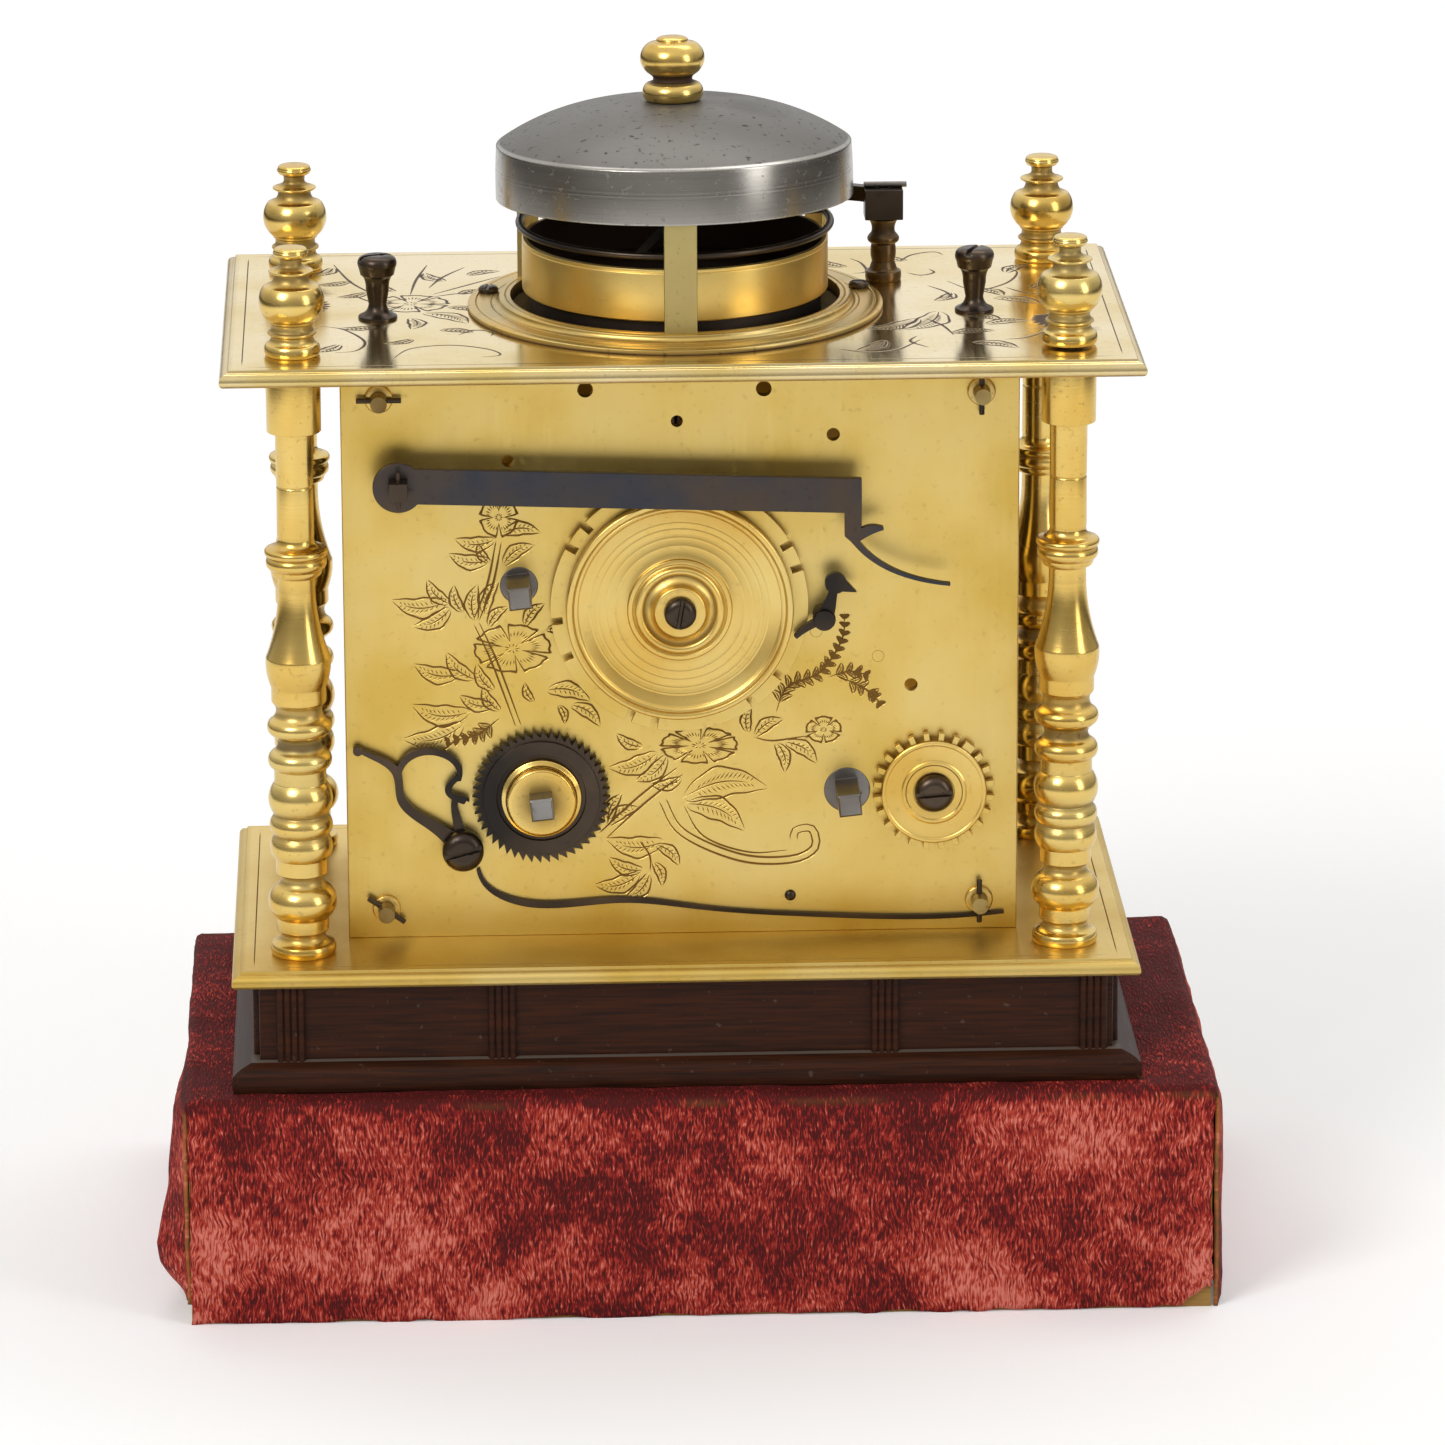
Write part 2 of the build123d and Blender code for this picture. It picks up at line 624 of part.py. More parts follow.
def taper_pins():
    return group([taper_pin(at, turn) for at, turn in zip(POSTS, PIN_TURNS)])


# Going train

GREAT_RADIUS = pitch_radius(GREAT_TEETH, GREAT_LEAVES, SECOND_DISTANCE)
SECOND_PHASE = meshed_phase(FUSEE_AT, GREAT_TEETH, 0, SECOND_AT, GREAT_LEAVES)
THIRD_PHASE = meshed_phase(SECOND_AT, WHEEL_TEETH, 0, THIRD_AT, PINION_LEAVES)
CROWN_PHASE = meshed_phase(THIRD_AT, WHEEL_TEETH, 0, CROWN_AT, PINION_LEAVES)


def fusee():
    """Grooved cone with the great wheel at its large end; the arbor runs through its bore."""
    step = FUSEE_LENGTH / FUSEE_GROOVES
    profile = [(FUSEE_SMALL, 0, 0)]
    for i in range(1, FUSEE_GROOVES + 1):
        profile.append((fusee_radius(FUSEE_START + i * step), i * step, -0.35))
    cone = Pos(FUSEE_AT[0], FUSEE_START, DECK + FUSEE_AT[1]) * Rot(-90, 0, 0) * turned(profile)
    wheel = slab(gear_face(FUSEE_AT, GREAT_TEETH, GREAT_RADIUS), GREAT_Y, GREAT_Y + GREAT_THICKNESS)
    neck = disc(FUSEE_AT, FUSEE_LARGE, FUSEE_START + FUSEE_LENGTH, GREAT_Y)
    return cone + neck + wheel - disc(FUSEE_AT, ARBOR_RADIUS, BACK, FRONT)


DIAL_RADIUS = pitch_radius(DIAL_TEETH, DIAL_LEAVES, span(FUSEE_AT, DIAL_AT))
DIAL_PINION = pitch_radius(DIAL_LEAVES, DIAL_TEETH, span(FUSEE_AT, DIAL_AT))
DIAL_PHASE = meshed_phase(FUSEE_AT, DIAL_LEAVES, 0, DIAL_AT, DIAL_TEETH)
DIAL_WHEEL_Y = FRONT + 1.6


def winding_arbor(at, hub, reach):
    """An arbor with a stout hub in the backplate and a winding square outside it."""
    body = disc(at, ARBOR_RADIUS, BACK_INNER - END_SHAKE, FRONT_INNER - END_SHAKE)
    body += disc(at, hub, BACK, BACK_INNER + 1.5) + disc(at, PIVOT_RADIUS, 0, FRONT)
    square = square_bar(at, SQUARE_SIDE, BACK - reach, BACK + 0.5, 6.0)
    return body + chamfer(square.faces().sort_by(Axis.Y)[0].edges(), 0.35)


def fusee_arbor():
    body = winding_arbor(FUSEE_AT, WINDING_HUB, SQUARE_REACH)
    body += disc(FUSEE_AT, PIVOT_RADIUS, FRONT - 1, DIAL_WHEEL_Y + 3)
    pinion = gear_face(FUSEE_AT, DIAL_LEAVES, DIAL_PINION)
    return body + slab(pinion, DIAL_WHEEL_Y - 0.6, DIAL_WHEEL_Y + DIAL_WHEEL_THICKNESS + 0.8)


def going_barrel():
    """Hollow spring barrel, free on its arbor."""
    end = BARREL_START + BARREL_LENGTH
    body = disc(BARREL_AT, BARREL_RADIUS, BARREL_START, end)
    body += disc(BARREL_AT, BARREL_RADIUS + 1.0, BARREL_START, BARREL_START + 1.2)
    body += disc(BARREL_AT, BARREL_RADIUS + 1.0, end - 1.2, end)
    body -= disc(BARREL_AT, BARREL_RADIUS - BARREL_WALL, BARREL_START + BARREL_WALL, end - BARREL_WALL)
    return body - disc(BARREL_AT, ARBOR_RADIUS + RUN_CLEARANCE, BACK, FRONT)


def set_up_arbor():
    """Barrel arbor; its square stands out of the backplate through the ratchet and the collar."""
    reach = RATCHET_LIFT + RATCHET_THICKNESS + COLLAR_HEIGHT + SET_UP_REACH
    return winding_arbor(BARREL_AT, WINDING_HUB, reach)


def fusee_radius(y):
    """Radius of the fusee's cone at a place along its axis."""
    share = (y - FUSEE_START) / FUSEE_LENGTH
    return FUSEE_SMALL + (FUSEE_LARGE - FUSEE_SMALL) * share ** 1.6


def gut_line():
    """The straight run of gut from the barrel to the fusee, on their common left tangent."""
    off = GUT_RADIUS + 0.3
    start = Vector(BARREL_AT[0] - BARREL_RADIUS - off, GUT_Y, DECK + BARREL_AT[1])
    end = Vector(FUSEE_AT[0] - fusee_radius(GUT_Y) - off, GUT_Y, DECK + FUSEE_AT[1])
    return extrude(Plane(origin=start, z_dir=end - start) * Circle(GUT_RADIUS), (end - start).length)


def wheel_on_arbor(at, teeth, distance, other, wheel_y, phase, leaves, pinion_distance, pinion_other,
                   pinion_y, pinion_phase, pinion_length=4.4, thickness=WHEEL_THICKNESS):
    """A crossed-out wheel and a pinion on one pivoted arbor."""
    radius = pitch_radius(teeth, other, distance)
    pinion_radius = pitch_radius(leaves, pinion_other, pinion_distance)
    rim = radius - 1.9
    wheel = gear_face(at, teeth, radius, phase) - crossings(at, 2.6, rim)
    body = slab(wheel, wheel_y, wheel_y + thickness)
    body += slab(gear_face(at, leaves, pinion_radius, pinion_phase), pinion_y, pinion_y + pinion_length)
    return body + arbor(at)


def second_wheel():
    return wheel_on_arbor(SECOND_AT, WHEEL_TEETH, THIRD_DISTANCE, PINION_LEAVES, SECOND_Y, 0,
                          GREAT_LEAVES, SECOND_DISTANCE, GREAT_TEETH, GREAT_Y - 1, SECOND_PHASE)


def third_wheel():
    return wheel_on_arbor(THIRD_AT, WHEEL_TEETH, CROWN_DISTANCE, PINION_LEAVES, THIRD_Y, 0,
                          PINION_LEAVES, THIRD_DISTANCE, WHEEL_TEETH, SECOND_Y - 1.4, THIRD_PHASE)


def crown_wheel():
    """Crown wheel: a thin drum whose rim is cut into raked teeth, with its pinion and arbor."""
    back_y = CROWN_TIP_Y + CROWN_HEIGHT
    body = disc(CROWN_AT, CROWN_RADIUS, CROWN_TIP_Y, back_y)
    body -= disc(CROWN_AT, CROWN_RADIUS - 0.8, CROWN_TIP_Y - 1, back_y - 1.0)
    body -= slab(crossings(CROWN_AT, 2.2, CROWN_RADIUS - 1.2), back_y - 2, back_y + 1)
    tooth_gap = Pos(0, CROWN_TIP_Y, 0) * extrude(Plane.YZ * gap_outline(), CROWN_RADIUS + 2)
    for i in range(CROWN_TEETH):
        turn = Pos(CROWN_AT[0], 0, DECK + CROWN_AT[1]) * Rot(0, i * 360.0 / CROWN_TEETH, 0)
        body -= turn * tooth_gap
    pinion_radius = pitch_radius(PINION_LEAVES, WHEEL_TEETH, CROWN_DISTANCE)
    pinion = gear_face(CROWN_AT, PINION_LEAVES, pinion_radius, CROWN_PHASE)
    body += slab(pinion, THIRD_Y - 1.2, THIRD_Y + 3.0)
    body += disc(CROWN_AT, ARBOR_RADIUS, POTENCE_FACE + END_SHAKE, FRONT_INNER - END_SHAKE)
    return body + disc(CROWN_AT, PIVOT_RADIUS, POTENCE_NOSE + END_SHAKE, FRONT)


def gap_outline():
    """One gap between two crown wheel teeth, seen from outside: width along the rim, depth along Y."""
    width = 2 * math.pi * CROWN_RADIUS / CROWN_TEETH * 0.72
    return outline([(-0.1, -width / 2), (-0.1, width / 2), (2.6, width * 0.15), (2.6, -width / 2)])


def verge_potence():
    """Bracket on the front plate: a nose for the crown wheel's pivot and a foot for the verge."""
    x, z = CROWN_AT[0], DECK + CROWN_AT[1]
    side = CROWN_RADIUS + 1.6
    out = side + POTENCE_BAR
    foot = z - VERGE_DROP
    body = box_between(x + side, x + out, POTENCE_NOSE, FRONT_INNER, z - 2.2, z + 2.2)
    body += box_between(x - 2.2, x + out, POTENCE_NOSE, POTENCE_FACE, z - 2.2, z + 2.2)
    body += box_between(x + side, x + out, -1.6, POTENCE_FACE, foot - 1.0, z + 2.2)
    body += box_between(x - 1.6, x + out, -1.6, POTENCE_FACE, foot - 1.0, foot + 0.6)
    body -= disc(CROWN_AT, PIVOT_RADIUS + RUN_CLEARANCE, 0, POTENCE_FACE + 1)
    return body - Pos(0, 0, foot) * Cylinder(VERGE_PIVOT + RUN_CLEARANCE, 6)


def verge():
    """Upright staff with two pallets at the top and bottom of the crown wheel, and a collet."""
    low = DECK + CROWN_AT[1] - VERGE_DROP
    high = TOP + HUB_LEVEL
    body = Pos(0, 0, (low + 0.8 + high) / 2) * Cylinder(VERGE_RADIUS, high - low - 0.8 - END_SHAKE)
    body += Pos(0, 0, low + 0.5) * Cylinder(VERGE_PIVOT, 2.6)
    body += Pos(0, 0, high + 0.3) * Cylinder(VERGE_PIVOT, 1.4)
    centre = DECK + CROWN_AT[1]
    for level, turn in ((centre + CROWN_RADIUS, PALLET_ANGLE), (centre - CROWN_RADIUS, -PALLET_ANGLE)):
        pallet = Pos(0, PALLET_REACH / 2, 0) * Box(0.7, PALLET_REACH, 1.6)
        body += Pos(0, 0, level) * Rot(0, 0, turn) * pallet
    return body + Pos(0, 0, TOP + SPRING_LEVEL) * Cylinder(COLLET_RADIUS, 1.2)


# Striking train

STRIKE_RADIUS = pitch_radius(STRIKE_TEETH, STRIKE_LEAVES, PIN_WHEEL_DISTANCE)
PIN_PHASE = meshed_phase(STRIKE_AT, STRIKE_TEETH, 0, PIN_WHEEL_AT, STRIKE_LEAVES)
HOOP_PHASE = meshed_phase(PIN_WHEEL_AT, WHEEL_TEETH, 0, HOOP_AT, PINION_LEAVES)
FLY_PHASE = meshed_phase(HOOP_AT, HOOP_TEETH, 0, FLY_AT, HOOP_LEAVES)
COUNT_Y = BACK - COUNT_GEAR_GAP - COUNT_GEAR_THICKNESS
COUNT_DISTANCE = span(PIN_WHEEL_AT, COUNT_AT)
COUNT_PHASE = meshed_phase(PIN_WHEEL_AT, COUNT_LEAVES, 0, COUNT_AT, COUNT_TEETH)


def strike_barrel():
    """Going barrel of the striking train with its great wheel at the front end."""
    start = STRIKE_Y - STRIKE_BARREL_LENGTH
    wheel = gear_face(STRIKE_AT, STRIKE_TEETH, STRIKE_RADIUS)
    body = slab(wheel, STRIKE_Y, STRIKE_Y + GREAT_THICKNESS)
    body += disc(STRIKE_AT, BARREL_RADIUS, start, STRIKE_Y + 0.5)
    body -= disc(STRIKE_AT, BARREL_RADIUS - BARREL_WALL, start + BARREL_WALL, STRIKE_Y)
    return body - disc(STRIKE_AT, ARBOR_RADIUS + RUN_CLEARANCE, BACK, FRONT)


def strike_arbor():
    """Winding arbor of the striking barrel."""
    return winding_arbor(STRIKE_AT, STRIKE_HUB, SQUARE_REACH + 0.8)


def pin_wheel():
    """Pin wheel: pins lift the hammer; a pinion outside the backplate drives the count wheel."""
    body = wheel_on_arbor(PIN_WHEEL_AT, WHEEL_TEETH, span(PIN_WHEEL_AT, HOOP_AT), PINION_LEAVES,
                          PIN_WHEEL_Y, 0, STRIKE_LEAVES, PIN_WHEEL_DISTANCE, STRIKE_TEETH,
                          STRIKE_Y - 1, PIN_PHASE, 3.8)
    for i in range(HAMMER_PINS):
        at = polar(PIN_WHEEL_AT, HAMMER_PIN_CIRCLE, i * 360.0 / HAMMER_PINS)
        body += disc(at, 0.5, PIN_WHEEL_Y, PIN_WHEEL_Y + WHEEL_THICKNESS + 2.4)
    body += disc(PIN_WHEEL_AT, PIN_HUB, BACK - 0.2, BACK_INNER + 1)
    pinion_radius = pitch_radius(COUNT_LEAVES, COUNT_TEETH, COUNT_DISTANCE)
    count_pinion = gear_face(PIN_WHEEL_AT, COUNT_LEAVES, pinion_radius)
    return body + slab(count_pinion, COUNT_Y + RUN_CLEARANCE, BACK - 0.1)


def hoop_wheel():
    """Locking wheel with a hoop that has one gap."""
    body = wheel_on_arbor(HOOP_AT, HOOP_TEETH, span(HOOP_AT, FLY_AT), HOOP_LEAVES, HOOP_Y, 0,
                          PINION_LEAVES, span(PIN_WHEEL_AT, HOOP_AT), WHEEL_TEETH,
                          PIN_WHEEL_Y - 1, HOOP_PHASE, 3.6)
    hoop = Pos(*HOOP_AT) * (Circle(6.9) - Circle(6.1))
    hoop -= Pos(*HOOP_AT) * Pos(6.5, 0) * Rectangle(2.4, 3.0)
    return body + slab(hoop, HOOP_Y + WHEEL_THICKNESS - 0.01, HOOP_Y + WHEEL_THICKNESS + 2.2)


def fly():
    """Two-bladed air brake on its pinion's arbor."""
    radius = pitch_radius(HOOP_LEAVES, HOOP_TEETH, span(HOOP_AT, FLY_AT))
    body = arbor(FLY_AT) + slab(gear_face(FLY_AT, HOOP_LEAVES, radius, FLY_PHASE), HOOP_Y - 1.2, HOOP_Y + 2.6)
    blade = Pos(*FLY_AT) * Rot(0, 0, 20) * Rectangle(2 * FLY_REACH, 0.6)
    return body + slab(blade, -9.0, 6.0) + disc(FLY_AT, 2.2, -9.0, 6.0)


# Back of the movement

def count_wheel():
    """Locking plate: a notched rim disc and the gear ring behind it."""
    radius = pitch_radius(COUNT_TEETH, COUNT_LEAVES, COUNT_DISTANCE)
    gear = gear_face(COUNT_AT, COUNT_TEETH, radius, COUNT_PHASE)
    body = slab(gear, COUNT_Y, COUNT_Y + COUNT_GEAR_THICKNESS)
    rim = Pos(*COUNT_AT) * Circle(COUNT_RIM)
    total = sum(COUNT_SEQUENCE) + len(COUNT_SEQUENCE)
    passed = 0
    for blows in COUNT_SEQUENCE:
        passed += blows + 1
        angle = 90.0 - 360.0 * passed / total
        notch = Pos(COUNT_RIM, 0) * Rectangle(2 * 1.9, COUNT_NOTCH)
        rim -= Pos(*COUNT_AT) * Rot(0, 0, angle) * notch
    body += slab(rim, COUNT_Y - COUNT_RIM_THICKNESS, COUNT_Y + 0.01)
    return body - disc(COUNT_AT, COUNT_STUD + RUN_CLEARANCE, COUNT_Y - 2, BACK)


COUNT_FACE = COUNT_Y - COUNT_RIM_THICKNESS


def count_wheel_cap():
    """Turned cap: a raised rim, a dished face, two turned rings and a boss."""
    height = COUNT_CAP_HEIGHT
    body = lay_turned([(COUNT_CAP, 0, 0), (COUNT_CAP, height * 0.55, 0),
                       (COUNT_CAP - 0.7, height * 0.72, 0.1), (COUNT_CAP - 1.6, height * 0.55, 0),
                       (11.0, height * 0.34, 0), (9.0, height * 0.4, 0),
                       (8.5, height * 0.7, 0.1), (7.9, height * 0.45, 0), (6.6, height * 0.55, 0),
                       (6.2, height * 0.85, 0.1), (5.4, height * 0.6, 0), (4.7, height, 0.2),
                       (3.2, height, 0)], COUNT_AT, COUNT_FACE)
    return body - disc(COUNT_AT, COUNT_STUD + RUN_CLEARANCE, COUNT_FACE - 9, COUNT_FACE + 1)


def count_stud():
    """Fixed stud of the count wheel with its slotted screw head."""
    low = COUNT_FACE - COUNT_CAP_HEIGHT
    place = Pos(COUNT_AT[0], low - 0.1, DECK + COUNT_AT[1]) * Rot(90, 0, 0) * Rot(0, 0, 80)
    body = place * dome_screw(2.65, 1.5, 0.6, COUNT_STUD, 0.1) + disc(COUNT_AT, COUNT_STUD, low - 0.1, BACK)
    return body + disc(COUNT_AT, STUD_RADIUS, BACK - 0.1, BACK_INNER)


LEVER_BACK = BACK - LEVER_STANDOFF - LEVER_THICKNESS


def lever_stud():
    """Squared post on the backplate that carries the locking lever, and its cross pin."""
    body = disc(LEVER_AT, 2.4, BACK - LEVER_STANDOFF + 0.15, BACK)
    body += disc(LEVER_AT, STUD_RADIUS, BACK, BACK_INNER)
    body += disc(LEVER_AT, LEVER_BORE, LEVER_BACK - 0.4, BACK)
    body += square_bar(LEVER_AT, LEVER_SQUARE, LEVER_BACK - 3.4, LEVER_BACK - 0.25)
    pin = Pos(LEVER_AT[0], LEVER_BACK - 1.8, DECK + LEVER_AT[1]) * Cylinder(0.35, 6.4)
    return body + pin


def plate_studs():
    """The two studs riveted into the backplate."""
    return group([lever_stud(), detent_stud()])


def locking_lever():
    """Long blued bar on a round eye; a leg drops at its far end and curls into a thin tail."""
    x0, z0 = LEVER_AT
    far = x0 + LEVER_REACH
    top_near, top_far = z0 + 3.3, z0 + 0.55
    bar = outline([(x0, top_near), (far, top_far), (far, top_far - LEVER_HEIGHT - 2.4),
                   (far - 1.0, top_far - LEVER_HEIGHT - 5.6), (far - 2.8, top_far - LEVER_HEIGHT - 4.0),
                   (far - 2.8, top_far - LEVER_HEIGHT), (x0, top_near - LEVER_HEIGHT - 0.2)])
    body = bar + Pos(x0, z0) * Circle(4.2)
    tail = ribbon([(far - 1.2, z0 - 9.9), (far + 3.9, z0 - 14.5), (far + 8.9, z0 - 16.6),
                   (far + 14.6, z0 - 17.7)], [1.2, 0.8, 0.6, 0.5])
    leaf = ribbon([(far - 1.4, z0 - 10.2), (far + 1.4, z0 - 8.2), (far + 3.6, z0 - 8.0)], [1.2, 1.6, 0.5])
    body = body + tail + leaf - Pos(x0, z0) * Circle(LEVER_BORE + RUN_CLEARANCE)
    return slab(body, LEVER_BACK, BACK - LEVER_STANDOFF)


DETENT_Y = COUNT_FACE - 0.9


def bird_detent():
    """Small bird-shaped detent, its leg pointing at the count wheel's rim."""
    x, z = DETENT_AT
    body = ribbon([(x + 1.9, z + 6.9), (x + 1.5, z + 4.9), (x + 0.3, z + 1.0), (x - 1.6, z - 0.9)],
                  [2.4, 1.5, 2.6, 1.2])
    body += Pos(x + 1.9, z + 6.2) * Circle(1.8)
    body += outline([(x + 3.0, z + 7.4), (x + 5.4, z + 4.6), (x + 2.2, z + 4.8)])
    body += ribbon([(x - 1.0, z - 0.4), (x - 3.2, z - 1.6), (x - 4.8, z - 3.0)], [1.3, 1.1, 0.7])
    body += Pos(x, z) * Circle(1.9)
    body -= Pos(x, z) * Circle(STUD_RADIUS + RUN_CLEARANCE)
    return slab(body, DETENT_Y - DETENT_THICKNESS, DETENT_Y)


def detent_stud():
    """Headed stud that carries the bird detent."""
    head = disc(DETENT_AT, 1.7, DETENT_Y - DETENT_THICKNESS - 0.8, DETENT_Y - DETENT_THICKNESS - 0.1)
    body = head + disc(DETENT_AT, STUD_RADIUS, DETENT_Y - DETENT_THICKNESS - 0.2, BACK_INNER)
    return body + disc(DETENT_AT, 1.7, DETENT_Y + 0.1, BACK)


RATCHET_Y = BACK - RATCHET_LIFT - RATCHET_THICKNESS


def set_up_ratchet():
    """Steel ratchet with pointed teeth and a turned ring, on the set-up arbor's square."""
    points = []
    for i in range(RATCHET_TEETH):
        start = 360.0 * i / RATCHET_TEETH
        points.append(polar(BARREL_AT, RATCHET_RADIUS - 1.3, start))
        points.append(polar(BARREL_AT, RATCHET_RADIUS, start + 360.0 / RATCHET_TEETH * 0.9))
    body = slab(outline(points), RATCHET_Y, BACK - RATCHET_LIFT)
    ring = Pos(*BARREL_AT) * (Circle(9.7) - Circle(7.4))
    body += slab(ring, RATCHET_Y - 0.5, RATCHET_Y)
    return body - square_bar(BARREL_AT, SQUARE_SIDE, RATCHET_Y - 3, BACK, 6.0)


def ratchet_collar():
    """Brass collar over the ratchet, stepped and domed, with a square hole."""
    body = lay_turned([(COLLAR_RADIUS, 0, 0), (COLLAR_RADIUS, 1.0, 0.1), (5.9, 1.3, 0), (5.9, 2.2, 0.1),
                       (5.4, COLLAR_HEIGHT, 0.2)], BARREL_AT, RATCHET_Y)
    return body - square_bar(BARREL_AT, SQUARE_SIDE, RATCHET_Y - 9, BACK, 6.0)


CLICK_Y = BACK - RATCHET_LIFT - 0.1


def click_points(shift):
    """The click's own points are given from its screw's centre."""
    return (CLICK_AT[0] + shift[0], CLICK_AT[1] + shift[1])


def ratchet_click():
    """Ornate pierced click: a heart-shaped loop with curled tips and a beak beside the ratchet."""
    arm_line = ((-0.8, 0.6), (-5.2, 4.4), (-10.2, 9.2), (-10.9, 13.6), (-14.6, 16.3), (-17.4, 17.6))
    arm = ribbon([click_points(p) for p in arm_line], [3.4, 1.9, 1.5, 1.5, 1.0, 0.7])
    heart_line = ((-10.6, 12.4), (-8.0, 16.6), (-4.3, 17.0), (-0.8, 14.8), (-0.6, 11.9))
    heart = ribbon([click_points(p) for p in heart_line], [1.0, 1.3, 1.2, 1.1, 0.8])
    beak_tip = polar(BARREL_AT, RATCHET_RADIUS + CLICK_GAP + 0.2, bearing(BARREL_AT, CLICK_AT) - 32.0)
    inner = (beak_tip[0] - CLICK_AT[0], beak_tip[1] - CLICK_AT[1])
    beak = ribbon([click_points(p) for p in ((0.0, 0.6), (-0.9, 5.0), (-0.9, 9.0))] + [beak_tip],
                  [2.8, 1.5, 1.1, 0.5])
    curl = ribbon([click_points(p) for p in ((-0.6, 12.6), (-2.3, 10.4), (inner[0] - 0.6, inner[1] - 0.2))],
                  [1.1, 1.2, 1.0])
    body = arm + heart + beak + curl
    body += Pos(*CLICK_AT) * Circle(3.4)
    body += Pos(*click_points((-17.2, 17.3))) * Circle(0.8)
    body -= Pos(*CLICK_AT) * Circle(STUD_RADIUS + RUN_CLEARANCE)
    ratchet_room = Pos(*BARREL_AT) * Circle(RATCHET_RADIUS + CLICK_GAP)
    body -= ratchet_room
    return slab(body, CLICK_Y - CLICK_THICKNESS, CLICK_Y)


def click_screw():
    foot = CLICK_Y - CLICK_THICKNESS - 0.1
    place = Pos(CLICK_AT[0], foot, DECK + CLICK_AT[1]) * Rot(90, 0, 0) * Rot(0, 0, 15)
    return place * dome_screw(3.45, 2.2, 0.8, STUD_RADIUS, BACK_INNER - foot)


def click_spring():
    """Long flat spring along the plate's foot; its free end lies beside the click's eye."""
    points = [(-34.1, 11.9), (-32.6, 8.8), (-29.1, 6.6), (-10.6, 6.1), (2.7, 4.6), (23.4, 2.9), (45.5, 2.4),
              (53.6, 3.0)]
    strip = ribbon(points, [0.7, 0.9, 1.2, 1.1, 0.8, 0.8, 0.8, 0.6])
    strip -= Pos(*CLICK_AT) * Circle(3.4 + 0.3)
    for at in POSTS:
        strip -= Pos(*at) * Circle(WASHER_RADIUS + 0.1)
    return slab(strip, BACK - 0.7, BACK)


STOP_PITCH = 360.0 / STOP_TEETH


def stop_wheel():
    """Stop wheel: square teeth, one of them wide, a turned ring round its screw."""
    face = Pos(*STOP_AT) * Circle(STOP_RADIUS - 2.0)
    for i in range(STOP_TEETH):
        width = 1.9 if i == 3 else 0.95
        tooth = Pos(STOP_RADIUS - 1.6, 0) * Rectangle(3.2, width)
        face += Pos(*STOP_AT) * Rot(0, 0, (i + 0.5) * STOP_PITCH) * tooth
    face -= Pos(*STOP_AT) * Circle(STUD_RADIUS + RUN_CLEARANCE)
    body = slab(face, BACK - 0.5 - STOP_THICKNESS, BACK - 0.5)
    ring = Pos(*STOP_AT) * (Circle(5.2) - Circle(4.5))
    return body + slab(ring, BACK - 0.9 - STOP_THICKNESS, BACK - 0.5 - STOP_THICKNESS)


def dome_screws():
    """The click's and the stop wheel's screws."""
    return group([click_screw(), stop_screw()])


def stop_screw():
    foot = BACK - 0.5 - STOP_THICKNESS - 0.1
    place = Pos(STOP_AT[0], foot, DECK + STOP_AT[1]) * Rot(90, 0, 0) * Rot(0, 0, 4)
    return place * dome_screw(3.2, 2.2, 0.7, STUD_RADIUS, BACK_INNER - foot)


# Top of the clock

def drum_ring():
    """Moulded brass ring round the drum's well, slotted for the bridge's legs."""
    body = turned([(RING_OUTER, 0, 0), (RING_OUTER, 0.7, 0), (33.6, RING_FLANGE, 0.05),
                   (30.0, RING_FLANGE, 0), (29.3, 1.9, -0.2),
                   (28.4, RING_HEIGHT, 0.1), (RING_HOLE, RING_HEIGHT, 0)], 0, 0, TOP)
    body -= Pos(0, 0, TOP) * Cylinder(RING_HOLE, 3 * RING_HEIGHT)
    for turn in LEG_TURNS:
        slot = Box(LEG_WIDTH, LEG_THICKNESS + 0.2, 2 * RING_HEIGHT)
        body -= Rot(0, 0, turn) * Pos(0, -LEG_RADIUS, TOP + LEG_FOOT + RING_HEIGHT) * slot
    for x, y in ring_screw_places():
        body -= Pos(x, y, TOP) * Cylinder(RING_SHANK, 3 * RING_HEIGHT)
    return body


def ring_screws():
    screw = dome_screw(1.7, 1.1, 0.5, RING_SHANK, PLATE_THICKNESS + 1.0)
    return group([Pos(x, y, TOP + RING_FLANGE) * Rot(0, 0, 40 * i) * screw
                  for i, (x, y) in enumerate(ring_screw_places())])


def drum():
    """Brass drum, open at the top, under the balance."""
    height = DRUM_TOP - DRUM_FOOT
    body = Pos(0, 0, TOP + DRUM_FOOT + height / 2) * Cylinder(DRUM_RADIUS, height)
    body -= Pos(0, 0, TOP + DRUM_FOOT + DRUM_WALL + height / 2) * Cylinder(DRUM_RADIUS - DRUM_WALL, height)
    return body - Pos(0, 0, TOP + DRUM_FOOT) * Cylinder(VERGE_RADIUS + 1.0, 4)


def drum_seat():
    """Iron flange under the top plate with the collar that carries the drum."""
    body = Pos(0, 0, TOP_UNDER - SEAT_THICKNESS / 2) * Cylinder(SEAT_RADIUS, SEAT_THICKNESS)
    body &= Pos(0, 0, TOP_UNDER) * Box(2 * SEAT_RADIUS, 2 * FRONT_INNER - 2 * END_SHAKE, 4 * SEAT_THICKNESS)
    collar = TOP + DRUM_FOOT - TOP_UNDER
    body += Pos(0, 0, TOP_UNDER + collar / 2) * Cylinder(DRUM_RADIUS - 1.2, collar)
    body -= Pos(0, 0, TOP_UNDER + collar / 2) * Cylinder(DRUM_RADIUS - 4.0, 3 * collar)
    return body


